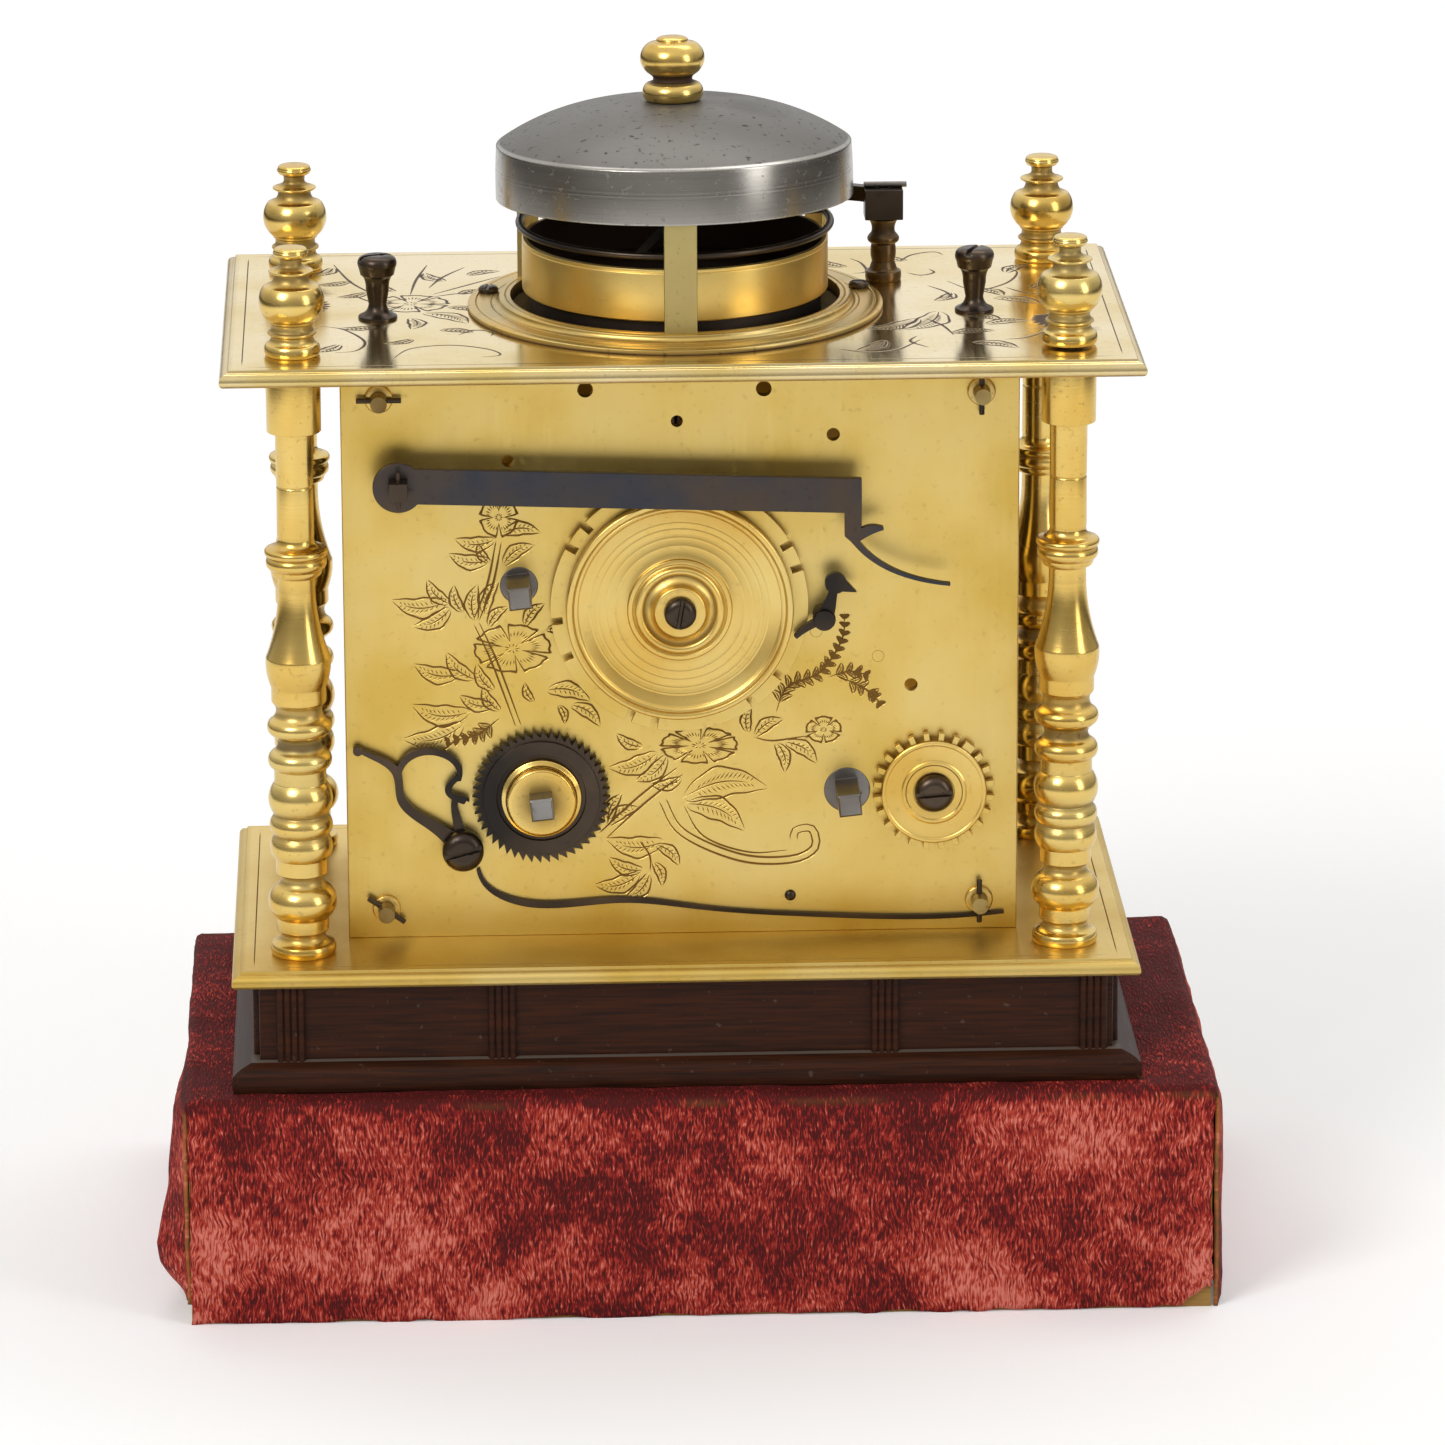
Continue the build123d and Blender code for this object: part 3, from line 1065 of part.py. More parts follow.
def bell_bridge():
    """Three legs from the ring's slots, bent inwards to a hub that carries the bell."""
    inner = LEG_RADIUS - LEG_THICKNESS / 2
    outer = LEG_RADIUS + LEG_THICKNESS / 2
    foot, shoulder = LEG_FOOT, LEG_SHOULDER
    bend, hub = LEG_BEND, HUB_LEVEL
    under = leg_under_line()
    profile = make_face([
        Line((inner, foot), (outer, foot)), Line((outer, foot), (outer, shoulder)),
        ThreePointArc((outer, shoulder), (outer - bend * 0.3, shoulder + bend * 0.72),
                      (outer - bend, shoulder + bend)),
        Line((outer - bend, shoulder + bend), (under[0][0], hub + HUB_THICKNESS)),
        Line((under[0][0], hub + HUB_THICKNESS), under[0]), Line(under[0], under[1]),
        ThreePointArc(under[1], (inner - bend * 0.3, shoulder + bend * 0.6 - 0.6), (inner, shoulder)),
        Line((inner, shoulder), (inner, foot))])
    leg = Pos(0, 0, TOP) * Rot(0, 0, -90) * extrude(Plane.XZ * profile, LEG_WIDTH / 2, both=True)
    body = Pos(0, 0, TOP + hub + HUB_THICKNESS / 2) * Cylinder(HUB_RADIUS, HUB_THICKNESS)
    for turn in LEG_TURNS:
        body += Rot(0, 0, turn) * leg
    seat = BELL_APEX - BELL_WALL - 0.15
    body += Pos(0, 0, TOP + (hub + seat) / 2) * Cylinder(2.6, seat - hub)
    body += Pos(0, 0, TOP + (hub + BELL_APEX + 4.0) / 2) * Cylinder(STEM_RADIUS, BELL_APEX + 4.0 - hub)
    return body - Pos(0, 0, TOP + hub) * Cylinder(VERGE_PIVOT + RUN_CLEARANCE, 2.4)


def leg_under_line():
    """Inner and outer ends of the line under a leg's sloping part, as (radius, height)."""
    inner = LEG_RADIUS - LEG_THICKNESS / 2
    return (HUB_RADIUS - 1, HUB_LEVEL + 0.3), (inner - LEG_BEND + 0.3, LEG_SHOULDER + LEG_BEND - 1.2)


def bell():
    """Shallow domed bell with an upright wall."""
    shoulder_r = BELL_RADIUS - 1.0
    body = turned([(BELL_RADIUS, BELL_RIM, 0), (shoulder_r, BELL_SHOULDER, 0.1),
                   (STEM_RADIUS + 4, BELL_APEX - 0.15, 1.2), (STEM_RADIUS, BELL_APEX, 0)], 0, 0, TOP)
    wall = BELL_WALL
    body -= turned([(BELL_RADIUS - wall, BELL_RIM - 1, 0), (BELL_RADIUS - wall, BELL_RIM, 0),
                    (shoulder_r - wall, BELL_SHOULDER - 0.5, 0.1),
                    (STEM_RADIUS + 4, BELL_APEX - 0.15 - wall, 1.2), (STEM_RADIUS, BELL_APEX - wall, 0)],
                   0, 0, TOP)
    return body - Pos(0, 0, TOP + BELL_APEX) * Cylinder(STEM_RADIUS, 10)


def bell_knob():
    """Turned nut on the bell: ring base, neck and flattened ball."""
    r = KNOB_RADIUS
    body = turned([(4.4, 0, 0), (4.4, 2.9, 0.65), (3.3, 3.3, 0), (3.5, 4.2, -0.15), (3.9, 4.5, 0),
                   (3.9, 9.6, r - 3.9), (2.6, 9.9, 0), (2.4, 10.4, 0.1), (1.0, 10.7, 0.1)],
                  0, 0, TOP + BELL_APEX)
    return body - Pos(0, 0, TOP + BELL_APEX + 2.0) * Cylinder(STEM_RADIUS, 4.0)


def balance_wheel():
    """Round rim on three arms, fast on the verge."""
    level = TOP + BALANCE_LEVEL
    body = Pos(0, 0, level) * Torus(BALANCE_RADIUS, BALANCE_WIRE)
    for turn in (15, 135, 255):
        arm = Pos(BALANCE_RADIUS / 2, 0, 0) * Box(BALANCE_RADIUS, 1.8, 1.0)
        body += Pos(0, 0, level) * Rot(0, 0, turn) * arm
    body += Pos(0, 0, level) * Cylinder(2.8, 1.6)
    return body - Pos(0, 0, level) * Cylinder(VERGE_RADIUS, 5)


def spring_arcs():
    """Half turns whose radius grows by half the pitch each; their centres alternate."""
    arcs = []
    step = SPRING_PITCH / 2
    start = (SPRING_INNER, 0.0)
    for i in range(SPRING_HALF_TURNS):
        radius = SPRING_INNER + step * (i + 0.5)
        side = 1 if i % 2 == 0 else -1
        end = (start[0] - side * 2 * radius, 0.0)
        middle = ((start[0] + end[0]) / 2, side * radius)
        arcs.append(ThreePointArc(start, middle, end))
        start = end
    return arcs


def hairspring():
    """Flat spiral of round wire, one unbroken tube from the collet to the stud."""
    path = Pos(0, 0, TOP + SPRING_LEVEL) * Wire(spring_arcs())
    start = Plane(origin=path @ 0, z_dir=path % 0)
    return Rot(0, 0, STUD_TURN) * sweep(start * Circle(SPRING_WIRE), path=path)


def print_spring_gap():
    """Least gap between neighbouring turns of the hairspring, measured on points of its line."""
    arcs = spring_arcs()
    points = [(i + j / 24.0, arc @ (j / 24.0)) for i, arc in enumerate(arcs) for j in range(24)]
    near = min((p - q).length for a, p in points for b, q in points if b - a > 1.0)
    print("hairspring: least gap between turns", round(near - 2 * SPRING_WIRE, 3), "mm")


def hairspring_stud():
    """Block that hangs from a leg of the bridge and pins the spring's outer end."""
    near = SPRING_INNER + SPRING_PITCH * SPRING_HALF_TURNS / 2 + SPRING_WIRE + 0.1
    level = TOP + SPRING_LEVEL
    (r0, z0), (r1, z1) = leg_under_line()
    far = STUD_OUT + STUD_WIDTH / 2
    top = TOP + z0 + (far - r0) * (z1 - z0) / (r1 - r0)
    half = STUD_WIDTH / 2
    body = box_between(near, near + STUD_WIDTH, -half, half, level - half, level + half)
    body += box_between(near, far, -half, half, level + 0.2, level + half)
    body += box_between(STUD_OUT - half, far, -half, half, level - 0.6, top)
    return Rot(0, 0, STUD_TURN) * body


# Hammer

def hammer_post():
    """Turned bearing of the hammer arbor."""
    body = turned([(2.95, 0, 0), (2.95, 1.6, 0.1), (2.2, 2.4, -0.2), (1.9, 3.2, 0), (2.0, 6.2, 0.2),
                   (2.5, 6.6, 0), (2.5, 7.6, 0.2), (2.0, 8.2, 0), (2.6, HAMMER_BLOCK_LOW - 0.2, -0.3)],
                  HAMMER_X, HAMMER_Y, TOP)
    return body - Pos(HAMMER_X, HAMMER_Y, TOP + 5) * Cylinder(HAMMER_ROD + RUN_CLEARANCE, 20)


def hammer_arbor():
    """Upright rod with the tail that the pin wheel's pins lift."""
    low = DECK + HAMMER_FOOT
    high = TOP + HAMMER_BLOCK_HIGH
    body = Pos(HAMMER_X, HAMMER_Y, (low + high) / 2) * Cylinder(HAMMER_ROD, high - low)
    body += box_between(TAIL_TIP, HAMMER_X + 0.6, HAMMER_Y - 0.8, HAMMER_Y + 0.8, low, low + 1.4)
    return body + Pos(HAMMER_X, HAMMER_Y, low + 1.6) * Cylinder(1.4, 3.2)


HEAD_CIRCLE = BELL_RADIUS + HAMMER_GAP + HAMMER_HEAD + 0.1


def hammer_arm():
    """Square block on the arbor, the arm that passes behind the bell, and its upright head."""
    half = HAMMER_BLOCK / 2
    low, high = TOP + HAMMER_BLOCK_LOW, TOP + HAMMER_BLOCK_HIGH
    block = box_between(HAMMER_X - half, HAMMER_X + half, HAMMER_Y - 2.6, HAMMER_Y + 2.6, low, high)
    head_x = HEAD_CIRCLE * math.cos(math.radians(HEAD_ANGLE))
    head_y = HEAD_CIRCLE * math.sin(math.radians(HEAD_ANGLE))
    reach = math.hypot(head_x - HAMMER_X, head_y - HAMMER_Y)
    turn = math.degrees(math.atan2(head_y - HAMMER_Y, head_x - HAMMER_X))
    bar = box_between(0, reach + 1.2, -1.0, 1.0, high - 2.6, high)
    arm = Pos(HAMMER_X, HAMMER_Y, 0) * Rot(0, 0, turn) * bar
    prong = box_between(28.6, 29.8, HAMMER_Y + 1.6, HAMMER_Y + 3.4, high - 2.6, high + 1.7)
    head = Pos(head_x, head_y, TOP + (BELL_RIM + HAMMER_BLOCK_HIGH) / 2 + 1.5) * Cylinder(HAMMER_HEAD, 11.0)
    body = block + arm + prong + head
    return body - Pos(HAMMER_X, HAMMER_Y, TOP + 12) * Cylinder(HAMMER_ROD, 20)


def hammer_pin():
    """Cross pin on the block's top that keeps the arm on its arbor."""
    return Pos(HAMMER_X + 0.3, HAMMER_Y, TOP + HAMMER_BLOCK_HIGH + 0.5) * Rot(0, 90, 0) * Cylinder(0.5, 7.2)


def tall_screws():
    """Two tall turned screws with slotted heads."""
    screws = []
    for x, turn in ((-TALL_SCREW_X, 20), (TALL_SCREW_X, 65)):
        body = turned([(TALL_SHANK, -PLATE_THICKNESS, 0), (TALL_SHANK, 0, 0), (3.5, 0, 0), (3.5, 0.7, 0.1),
                       (2.2, 1.5, -0.1), (1.75, 2.4, -0.1), (1.75, 6.3, 0), (3.0, 7.6, -0.3), (3.4, 8.1, 0),
                       (3.4, 9.2, 0.15), (1.4, 10.6, 0.4)])
        body -= Rot(0, 0, turn) * Pos(0, 0, 10.2) * Box(8, 0.8, 1.8)
        screws.append(Pos(x, TALL_SCREW_Y, TOP) * body)
    return group(screws)


# Front of the clock

def dial_wheel():
    """Wheel behind the dial, turned by the fusee's pinion, with the hand's pipe."""
    face = gear_face(DIAL_AT, DIAL_TEETH, DIAL_RADIUS, DIAL_PHASE)
    face -= crossings(DIAL_AT, DIAL_HUB, DIAL_RADIUS - 2.0, 4, 3.0)
    body = slab(face, DIAL_WHEEL_Y, DIAL_WHEEL_Y + DIAL_WHEEL_THICKNESS)
    body += disc(DIAL_AT, 2.4, DIAL_WHEEL_Y, DIAL_FACE + 1.7)
    return body - disc(DIAL_AT, STUD_RADIUS + RUN_CLEARANCE, DIAL_WHEEL_Y - 1, DIAL_FACE + 4)


DIAL_FACE = DIAL_BACK + DIAL_THICKNESS + CHAPTER_THICKNESS


def dial_stud():
    """Fixed stud of the dial wheel: a shoulder behind the wheel and a head over its pipe."""
    body = disc(DIAL_AT, STUD_RADIUS, FRONT_INNER, DIAL_FACE + 2.5)
    body += disc(DIAL_AT, 2.0, FRONT, DIAL_WHEEL_Y - 0.15)
    return body + disc(DIAL_AT, 1.9, DIAL_FACE + 1.85, DIAL_FACE + 2.5)


DIAL_FEET = [(x, z) for x in (-DIAL_FOOT_X, DIAL_FOOT_X)
             for z in (DIAL_FOOT_EDGE, DECK_HEIGHT - DIAL_FOOT_EDGE)]


def dial_plate():
    """Front plate of the clock on four feet, open round the hand's pipe."""
    face = Pos(0, DECK_HEIGHT / 2) * Rectangle(MOVEMENT_WIDTH, DECK_HEIGHT)
    body = slab(face, DIAL_BACK, DIAL_BACK + DIAL_THICKNESS)
    for at in DIAL_FEET:
        body += disc(at, DIAL_FOOT_RADIUS, FRONT, DIAL_BACK)
    return body - disc(DIAL_AT, 3.0, DIAL_BACK - 1, DIAL_BACK + 4)


def chapter_ring():
    ring = Pos(*DIAL_AT) * (Circle(CHAPTER_OUTER) - Circle(CHAPTER_INNER))
    return slab(ring, DIAL_BACK + DIAL_THICKNESS, DIAL_FACE)


def hour_hand():
    """Steel hand: a round boss, a slim shaft, a leaf and a tail, on the pipe."""
    x, z = DIAL_AT
    tip = z + HAND_LENGTH
    face = ribbon([(x, z - 9.0), (x, z - 2.0), (x, z + 8.0), (x, z + 16.0), (x, z + 20.5), (x, tip)],
                  [1.0, 2.4, 1.8, 1.5, 4.6, 0.5])
    face += Pos(x, z) * Circle(4.4)
    face += Pos(x, z - 9.6) * Circle(1.7)
    face -= Pos(x, z) * Circle(2.4)
    return slab(face, DIAL_FACE + 0.6, DIAL_FACE + 1.5)


PARTS = {
    "stand_core": stand_core, "velvet_cover": velvet_cover, "wood_base": wood_base,
    "wood_moulding": wood_moulding, "wood_pilasters": wood_pilasters, "base_plate": base_plate,
    "top_plate": top_plate, "corner_pillars": corner_pillars, "pillar_finials": pillar_finials,
    "movement_backplate": movement_backplate, "movement_frontplate": movement_frontplate,
    "movement_pillars": movement_pillars, "pillar_washers": pillar_washers, "taper_pins": taper_pins,
    "drum_ring": drum_ring, "ring_screws": ring_screws, "drum": drum, "drum_seat": drum_seat,
    "bell_bridge": bell_bridge, "bell": bell, "bell_knob": bell_knob,
    "balance_wheel": balance_wheel, "verge": verge, "verge_potence": verge_potence,
    "hairspring": hairspring, "hairspring_stud": hairspring_stud,
    "hammer_post": hammer_post, "hammer_arbor": hammer_arbor, "hammer_arm": hammer_arm,
    "hammer_pin": hammer_pin, "tall_screws": tall_screws,
    "count_wheel": count_wheel, "count_wheel_cap": count_wheel_cap, "count_stud": count_stud,
    "locking_lever": locking_lever, "plate_studs": plate_studs,
    "bird_detent": bird_detent,
    "set_up_ratchet": set_up_ratchet, "ratchet_collar": ratchet_collar, "set_up_arbor": set_up_arbor,
    "ratchet_click": ratchet_click, "dome_screws": dome_screws, "click_spring": click_spring,
    "stop_wheel": stop_wheel,
    "fusee": fusee, "fusee_arbor": fusee_arbor, "going_barrel": going_barrel, "gut_line": gut_line,
    "second_wheel": second_wheel, "third_wheel": third_wheel, "crown_wheel": crown_wheel,
    "strike_barrel": strike_barrel, "strike_arbor": strike_arbor, "pin_wheel": pin_wheel,
    "hoop_wheel": hoop_wheel, "fly": fly,
    "dial_wheel": dial_wheel, "dial_plate": dial_plate, "chapter_ring": chapter_ring, "hour_hand": hour_hand,
}

for node, make in PARTS.items():
    export_step(make(), f"parts/{node}.step")
print_spring_gap()
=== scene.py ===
import json
import math

import bmesh
import bpy
import numpy as np
from bpy.props import FloatProperty, FloatVectorProperty, IntProperty, PointerProperty
from bpy.types import Operator, Panel, PropertyGroup
from mathutils import Matrix, Vector
from mathutils.geometry import delaunay_2d_cdt

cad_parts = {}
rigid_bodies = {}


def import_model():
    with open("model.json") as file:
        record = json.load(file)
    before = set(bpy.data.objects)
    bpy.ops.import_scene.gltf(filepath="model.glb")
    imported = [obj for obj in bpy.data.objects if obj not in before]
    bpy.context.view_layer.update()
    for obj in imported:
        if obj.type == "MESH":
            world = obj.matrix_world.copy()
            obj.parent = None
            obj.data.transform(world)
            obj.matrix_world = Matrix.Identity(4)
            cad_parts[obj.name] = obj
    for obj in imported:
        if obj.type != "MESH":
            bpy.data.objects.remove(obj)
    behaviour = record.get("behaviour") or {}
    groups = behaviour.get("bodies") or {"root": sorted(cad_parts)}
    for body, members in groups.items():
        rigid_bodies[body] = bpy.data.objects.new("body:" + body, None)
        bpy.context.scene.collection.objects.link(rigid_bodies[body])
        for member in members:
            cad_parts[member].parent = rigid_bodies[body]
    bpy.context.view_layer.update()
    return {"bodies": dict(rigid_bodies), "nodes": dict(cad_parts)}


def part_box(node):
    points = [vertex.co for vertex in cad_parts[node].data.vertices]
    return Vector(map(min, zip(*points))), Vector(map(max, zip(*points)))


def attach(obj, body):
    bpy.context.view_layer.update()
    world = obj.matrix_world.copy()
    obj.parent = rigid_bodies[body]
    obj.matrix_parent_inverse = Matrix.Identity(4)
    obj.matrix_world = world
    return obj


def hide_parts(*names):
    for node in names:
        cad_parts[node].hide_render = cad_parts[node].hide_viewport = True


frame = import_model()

bl_info = {
    "name": "Pillar Table Clock",
    "version": (1, 0, 0),
    "blender": (4, 5, 0),
    "location": "3D View > Sidebar > Clock",
    "description": "Builds the shown pieces of a brass table clock on its velvet-covered stand",
    "category": "Add Mesh",
}

# All shapes are worked out in millimetres, in the frame's own axes, and scaled by MM into the mesh.
MM = 0.001


def corners(node):
    """Lowest and highest corner of a node, in millimetres."""
    low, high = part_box(node)
    return np.array(low) / MM, np.array(high) / MM


# Corners and levels read from the frame, in millimetres
CORE_LOW, CORE_HIGH = corners("stand_core")
WALL_HIGH = corners("wood_base")[1]
MOULDING_LOW, MOULDING_HIGH = corners("wood_moulding")
PLATE_LOW, PLATE_HIGH = corners("top_plate")
BACK_LOW, BACK_HIGH = corners("movement_backplate")
CHAPTER_LOW, CHAPTER_HIGH = corners("chapter_ring")
DECK = corners("base_plate")[1][2]
TOP = PLATE_HIGH[2]

# Thickness of the velvet with its backing
COVER_THICKNESS = 0.7

# Places that the turned and engraved pieces share with the frame: (X, Y) for what stands on a plate, and
# (X, height over the base plate) for what turns in the backplate
PILLARS_AT = [(x, y) for x in (-63.3, 63.3) for y in (-30.3, 30.3)]
POST_AT = [(x, z) for x in (-49.45, 49.45) for z in (5.15, 92.65)]
FUSEE_AT = (-26.8, 60.6)
BARREL_AT = (-23.5, 24.65)
SECOND_AT = (-12.75, 70.44)
THIRD_AT = (0.84, 72.83)
STRIKE_AT = (27.4, 24.55)
PIN_WHEEL_AT = (11.85, 42.83)
HOOP_AT = (22.29, 52.03)
FLY_AT = (32.52, 47.6)
COUNT_AT = (-0.4, 57.15)
LEVER_AT = (-46.45, 79.2)
DETENT_AT = (23.4, 55.2)
CLICK_AT = (-36.6, 15.65)
STOP_AT = (41.75, 24.55)
DOME_PIN_AT = (17.9, 6.3)
# Empty holes in the backplate: X, height, radius
SPARE_HOLES = ((-15.6, 93.7, 1.3), (13.7, 93.5, 1.3), (-0.6, 88.2, 1.0), (25.1, 85.6, 1.1),
               (-28.4, 81.8, 1.0), (38.0, 42.6, 1.1))
# Radius of the hole under the drum, and of the circle on which the ring's screws stand
RING_HOLE = 27.4
RING_SCREW_CIRCLE = 31.75
HAMMER_AT = (35.6, 16.7)
TALL_SCREW_AT = (49.4, -6.1)


def linear(code):
    """An sRGB hex colour as linear values: c / 12.92 for dark ones, ((c + 0.055) / 1.055) ^ 2.4 above."""
    share = np.array([int(code[i:i + 2], 16) / 255 for i in (1, 3, 5)])
    return tuple(np.where(share <= 0.04045, share / 12.92, ((share + 0.055) / 1.055) ** 2.4))


def colour(title, code, text):
    """A colour setting whose default is an sRGB hex colour."""
    return FloatVectorProperty(name=title, description=text, subtype="COLOR", size=3, min=0, max=1,
                               default=linear(code))


def length(title, millimetres, text):
    """A length setting, in metres, whose default is given in millimetres."""
    return FloatProperty(name=title, description=text, default=millimetres * MM, unit="LENGTH", precision=5)


class ClockSizes(PropertyGroup):
    """Sizes that a user would change."""
    edge: length("Broken edge", 0.12, "How far the sharp edges of metal pieces are broken")
    groove: length("Engraved line", 0.46, "Width of the engraver's outlines")
    hatch: length("Hatch line", 0.27, "Width of the engraver's shading lines")
    groove_depth: length("Engraving depth", 0.14, "Depth of the widest engraved line")
    fold: length("Velvet fold", 1.4, "Radius at which the velvet folds over the block's upper edges")
    crush: length("Crush height", 0.32, "How far the crushed velvet rises and falls")
    cloth_step: length("Velvet mesh step", 1.0, "Distance between the velvet's points")
    numeral: length("Numeral height", 7.4, "Height of the numbers on the chapter ring")
    segments: IntProperty(name="Turned segments", description="Sides of a turned piece", default=72, min=12)


class ClockColours(PropertyGroup):
    """Colours that a user would change."""
    brass: colour("Brass", "#d3ac55", "Burnished brass")
    brass_light: colour("Light brass", "#e3c87c", "Brass where it is rubbed most")
    brass_plate: colour("Plate brass", "#d2b057", "Stoned brass of the movement's plates")
    # Painted reflection: paler than the brass, for the whitish sheen of the polished plates at a glancing
    # view
    brass_pale: colour("Pale brass", "#efdcae", "Flat brass under its mirror polish")
    brass_olive: colour("Olive brass", "#b0a46c", "Filed brass that has gone dull and greenish")
    brass_dull: colour("Dull brass", "#c0ab70", "Filed brass between its greenish clouds")
    brass_shade: colour("Brass shade", "#775520", "Old wax in the shallow engraving")
    # Also the colour of the painted shade inside the drum
    brass_grime: colour("Brass grime", "#463221", "Old polish and dust in the hollows of the brass")
    bell: colour("Bell", "#9b9790", "Bell metal with its old skin")
    bell_light: colour("Light bell", "#aca8a1", "Bell metal where cleaning has brushed it")
    bronze: colour("Bronze", "#6b5029", "Browned bronze of the posts")
    steel: colour("Steel", "#8d8a86", "Bare steel")
    steel_brown: colour("Browned steel", "#53463a", "Steel with an old brown skin")
    blued: colour("Blued steel", "#2f3b4a", "What is left of the lever's heat blue")
    iron: colour("Iron", "#2e2a27", "Dark wrought iron")
    wood: colour("Wood", "#22110a", "Stained wood, dark")
    wood_light: colour("Wood grain", "#43210f", "Stained wood between its dark streaks")
    velvet_deep: colour("Velvet shade", "#4a0a09", "Velvet where the pile stands towards the eye")
    velvet: colour("Velvet", "#861715", "Velvet between its shades")
    velvet_light: colour("Velvet light", "#b5412f", "Velvet where the pile lies flat")
    # Painted highlight: single tufts that catch the light, and the palest pressed patches
    velvet_shine: colour("Velvet shine", "#d97a6a", "Single tufts of pile that catch the light")
    board: colour("Board", "#ad8540", "Yellow board under the velvet")
    board_fibre: colour("Board fibre", "#7d5f2c", "Darker fibres in the board")
    dust: colour("Dust", "#6b6259", "Dust on the wood's ledges")
    gut: colour("Gut", "#9b7a44", "Oiled gut between its twists")
    gut_light: colour("Light gut", "#c7a76a", "Oiled gut on its twists")
    wax: colour("Wax", "#14110f", "Black wax in the numbers")
    wax_light: colour("Light wax", "#2a241f", "Black wax where it has shrunk")
    floor: colour("Floor", "#efeeec", "Pale studio floor")
    floor_light: colour("Light floor", "#ffffff", "Studio floor between its fibres")
    room: colour("Room", "#55504a", "The room past the studio floor, as the metals see it")


def size(name):
    """A size setting in millimetres."""
    return getattr(bpy.context.scene.clock_sizes, name) / MM


def tint(name):
    """A colour setting as linear red, green, blue and alpha."""
    return tuple(getattr(bpy.context.scene.clock_colours, name)) + (1.0,)


def add_node(tree, kind, inputs=None, out=0, stops=None, **settings):
    """Adds a shader node with its settings and gives its output out, or all of them where out is None.

    inputs go by socket name or number, to a value or to another node's output. stops are a ramp's colours.
    """
    node = tree.nodes.new("ShaderNode" + kind)
    for key, value in settings.items():
        setattr(node, key, value)
    if stops:
        ramp = node.color_ramp
        while len(ramp.elements) < len(stops):
            ramp.elements.new(0.5)
        for element, (place, value) in zip(ramp.elements, stops):
            element.position, element.color = place, value
    for key, value in (inputs or {}).items():
        if isinstance(value, bpy.types.NodeSocket):
            tree.links.new(value, node.inputs[key])
        else:
            node.inputs[key].default_value = value
    return node.outputs if out is None else node.outputs[out]


def new_material(name):
    """An empty node material and its tree."""
    material = bpy.data.materials.new(name)
    material.use_nodes = True
    material.node_tree.nodes.clear()
    return material, material.node_tree


# Metals: what each real surface is, and what that gives the eye.
# body, cloud: the two tones; grime_and_shade: colour in hollows and pits, and of painted shade inside the
# drum;
# rough: roughness; marks: size in mm of the tool marks along X, Y and Z, or None for turning marks that
# follow a turned line; cut: height of the marks in mm; dirt: how much grime shows on open surfaces; skin: how
# much an old oxide skin dulls it.
METAL_COLUMNS = ("body", "cloud", "grime_and_shade", "rough", "marks", "cut", "dirt", "skin")
METALS = {
    # Cast brass, turned on a lathe and burnished: sharp highlights, fine rings, dull grime in the coves
    "turned_burnished_brass": ("brass", "brass_light", "brass_grime", 0.17, None, 0.004, 0.2, 0),
    # Brass plate, scraped and stoned flat, then polished: mirror-like with long faint brush lines
    # Its pale body colour is a painted reflection: the whitish sheen of the flat plate at a glancing view
    "polished_brass_plate": ("brass_pale", "brass_light", "brass_grime", 0.1, (0.6, 16, 0.6), 0.0015,
                             0.1, 0),
    # Brass plate stoned with fine grit before engraving: satin, warm yellow, lines along its height
    "satin_brass_plate": ("brass_plate", "brass_light", "brass_shade", 0.3, (0.35, 0.35, 9), 0.003,
                          0.14, 0.08),
    # Brass disc turned with a broad tool and not burnished: satin rings that fan the light
    "turned_satin_brass": ("brass", "brass_light", "brass_grime", 0.26, None, 0.008, 0.12, 0),
    # Sheet brass rolled and soldered into a drum, then rubbed round: satin, with a soft bright band
    "rolled_satin_brass": ("brass", "brass_light", "brass_grime", 0.27, None, 0.002, 0.12, 0),
    # Turned brass left to brown in the air: golden brown, the tool's rings still clear
    "turned_browned_brass": ("brass", "brass_dull", "brass_grime", 0.24, None, 0.008, 0.3, 0.1),
    # Turned pillar ends that were never polished again: dull brown brass, worn yellow on the edges
    "turned_dull_brass": ("bronze", "brass_dull", "iron", 0.34, None, 0.006, 0.35, 0.15),
    # Hammered brass strip filed across and gone dull: olive tone with file marks
    "filed_brass_strip": ("brass_olive", "brass_dull", "iron", 0.34, (3, 3, 0.35), 0.012, 0.35, 0.15),
    # Cast bell metal brushed by cleaning on its wall: shiny grey, streaks round it, small casting pits
    "cast_bell_metal": ("bell", "bell_light", "iron", 0.18, None, 0.004, 0.35, 0.05),
    # Turned bronze with a brown skin: dark, with a small bright line on each edge
    "turned_browned_bronze": ("bronze", "steel_brown", "iron", 0.28, None, 0.006, 0.35, 0.15),
    # Turned steel screws with a chocolate-brown skin: nearly black, glossy on the edges
    "browned_steel": ("steel_brown", "iron", "iron", 0.26, (0.5, 0.5, 1.2), 0.006, 0.4, 0.1),
    # Steel filed and stoned bright by hand, gone grey: crossing file marks, rust-brown specks
    "filed_steel": ("steel", "steel_brown", "iron", 0.28, (0.3, 0.3, 2.4), 0.006, 0.45, 0.1),
    # Steel blued over heat and worn to brown grey: slate with faint blue clouds and long file lines
    "heat_blued_steel": ("steel_brown", "blued", "iron", 0.3, (6, 0.3, 0.3), 0.006, 0.35, 0.15),
    # Wrought iron with its forge skin: nearly black, matt
    "forged_iron": ("iron", "steel_brown", "iron", 0.42, (0.8, 0.8, 0.8), 0.012, 0.3, 0.3),
}
# Sizes in mm of the slow clouds, the casting pits and the rings that a turning tool leaves
CLOUD_SIZE = 22.0
PIT_SIZE = 1.1
TURNING_STEP = 0.35


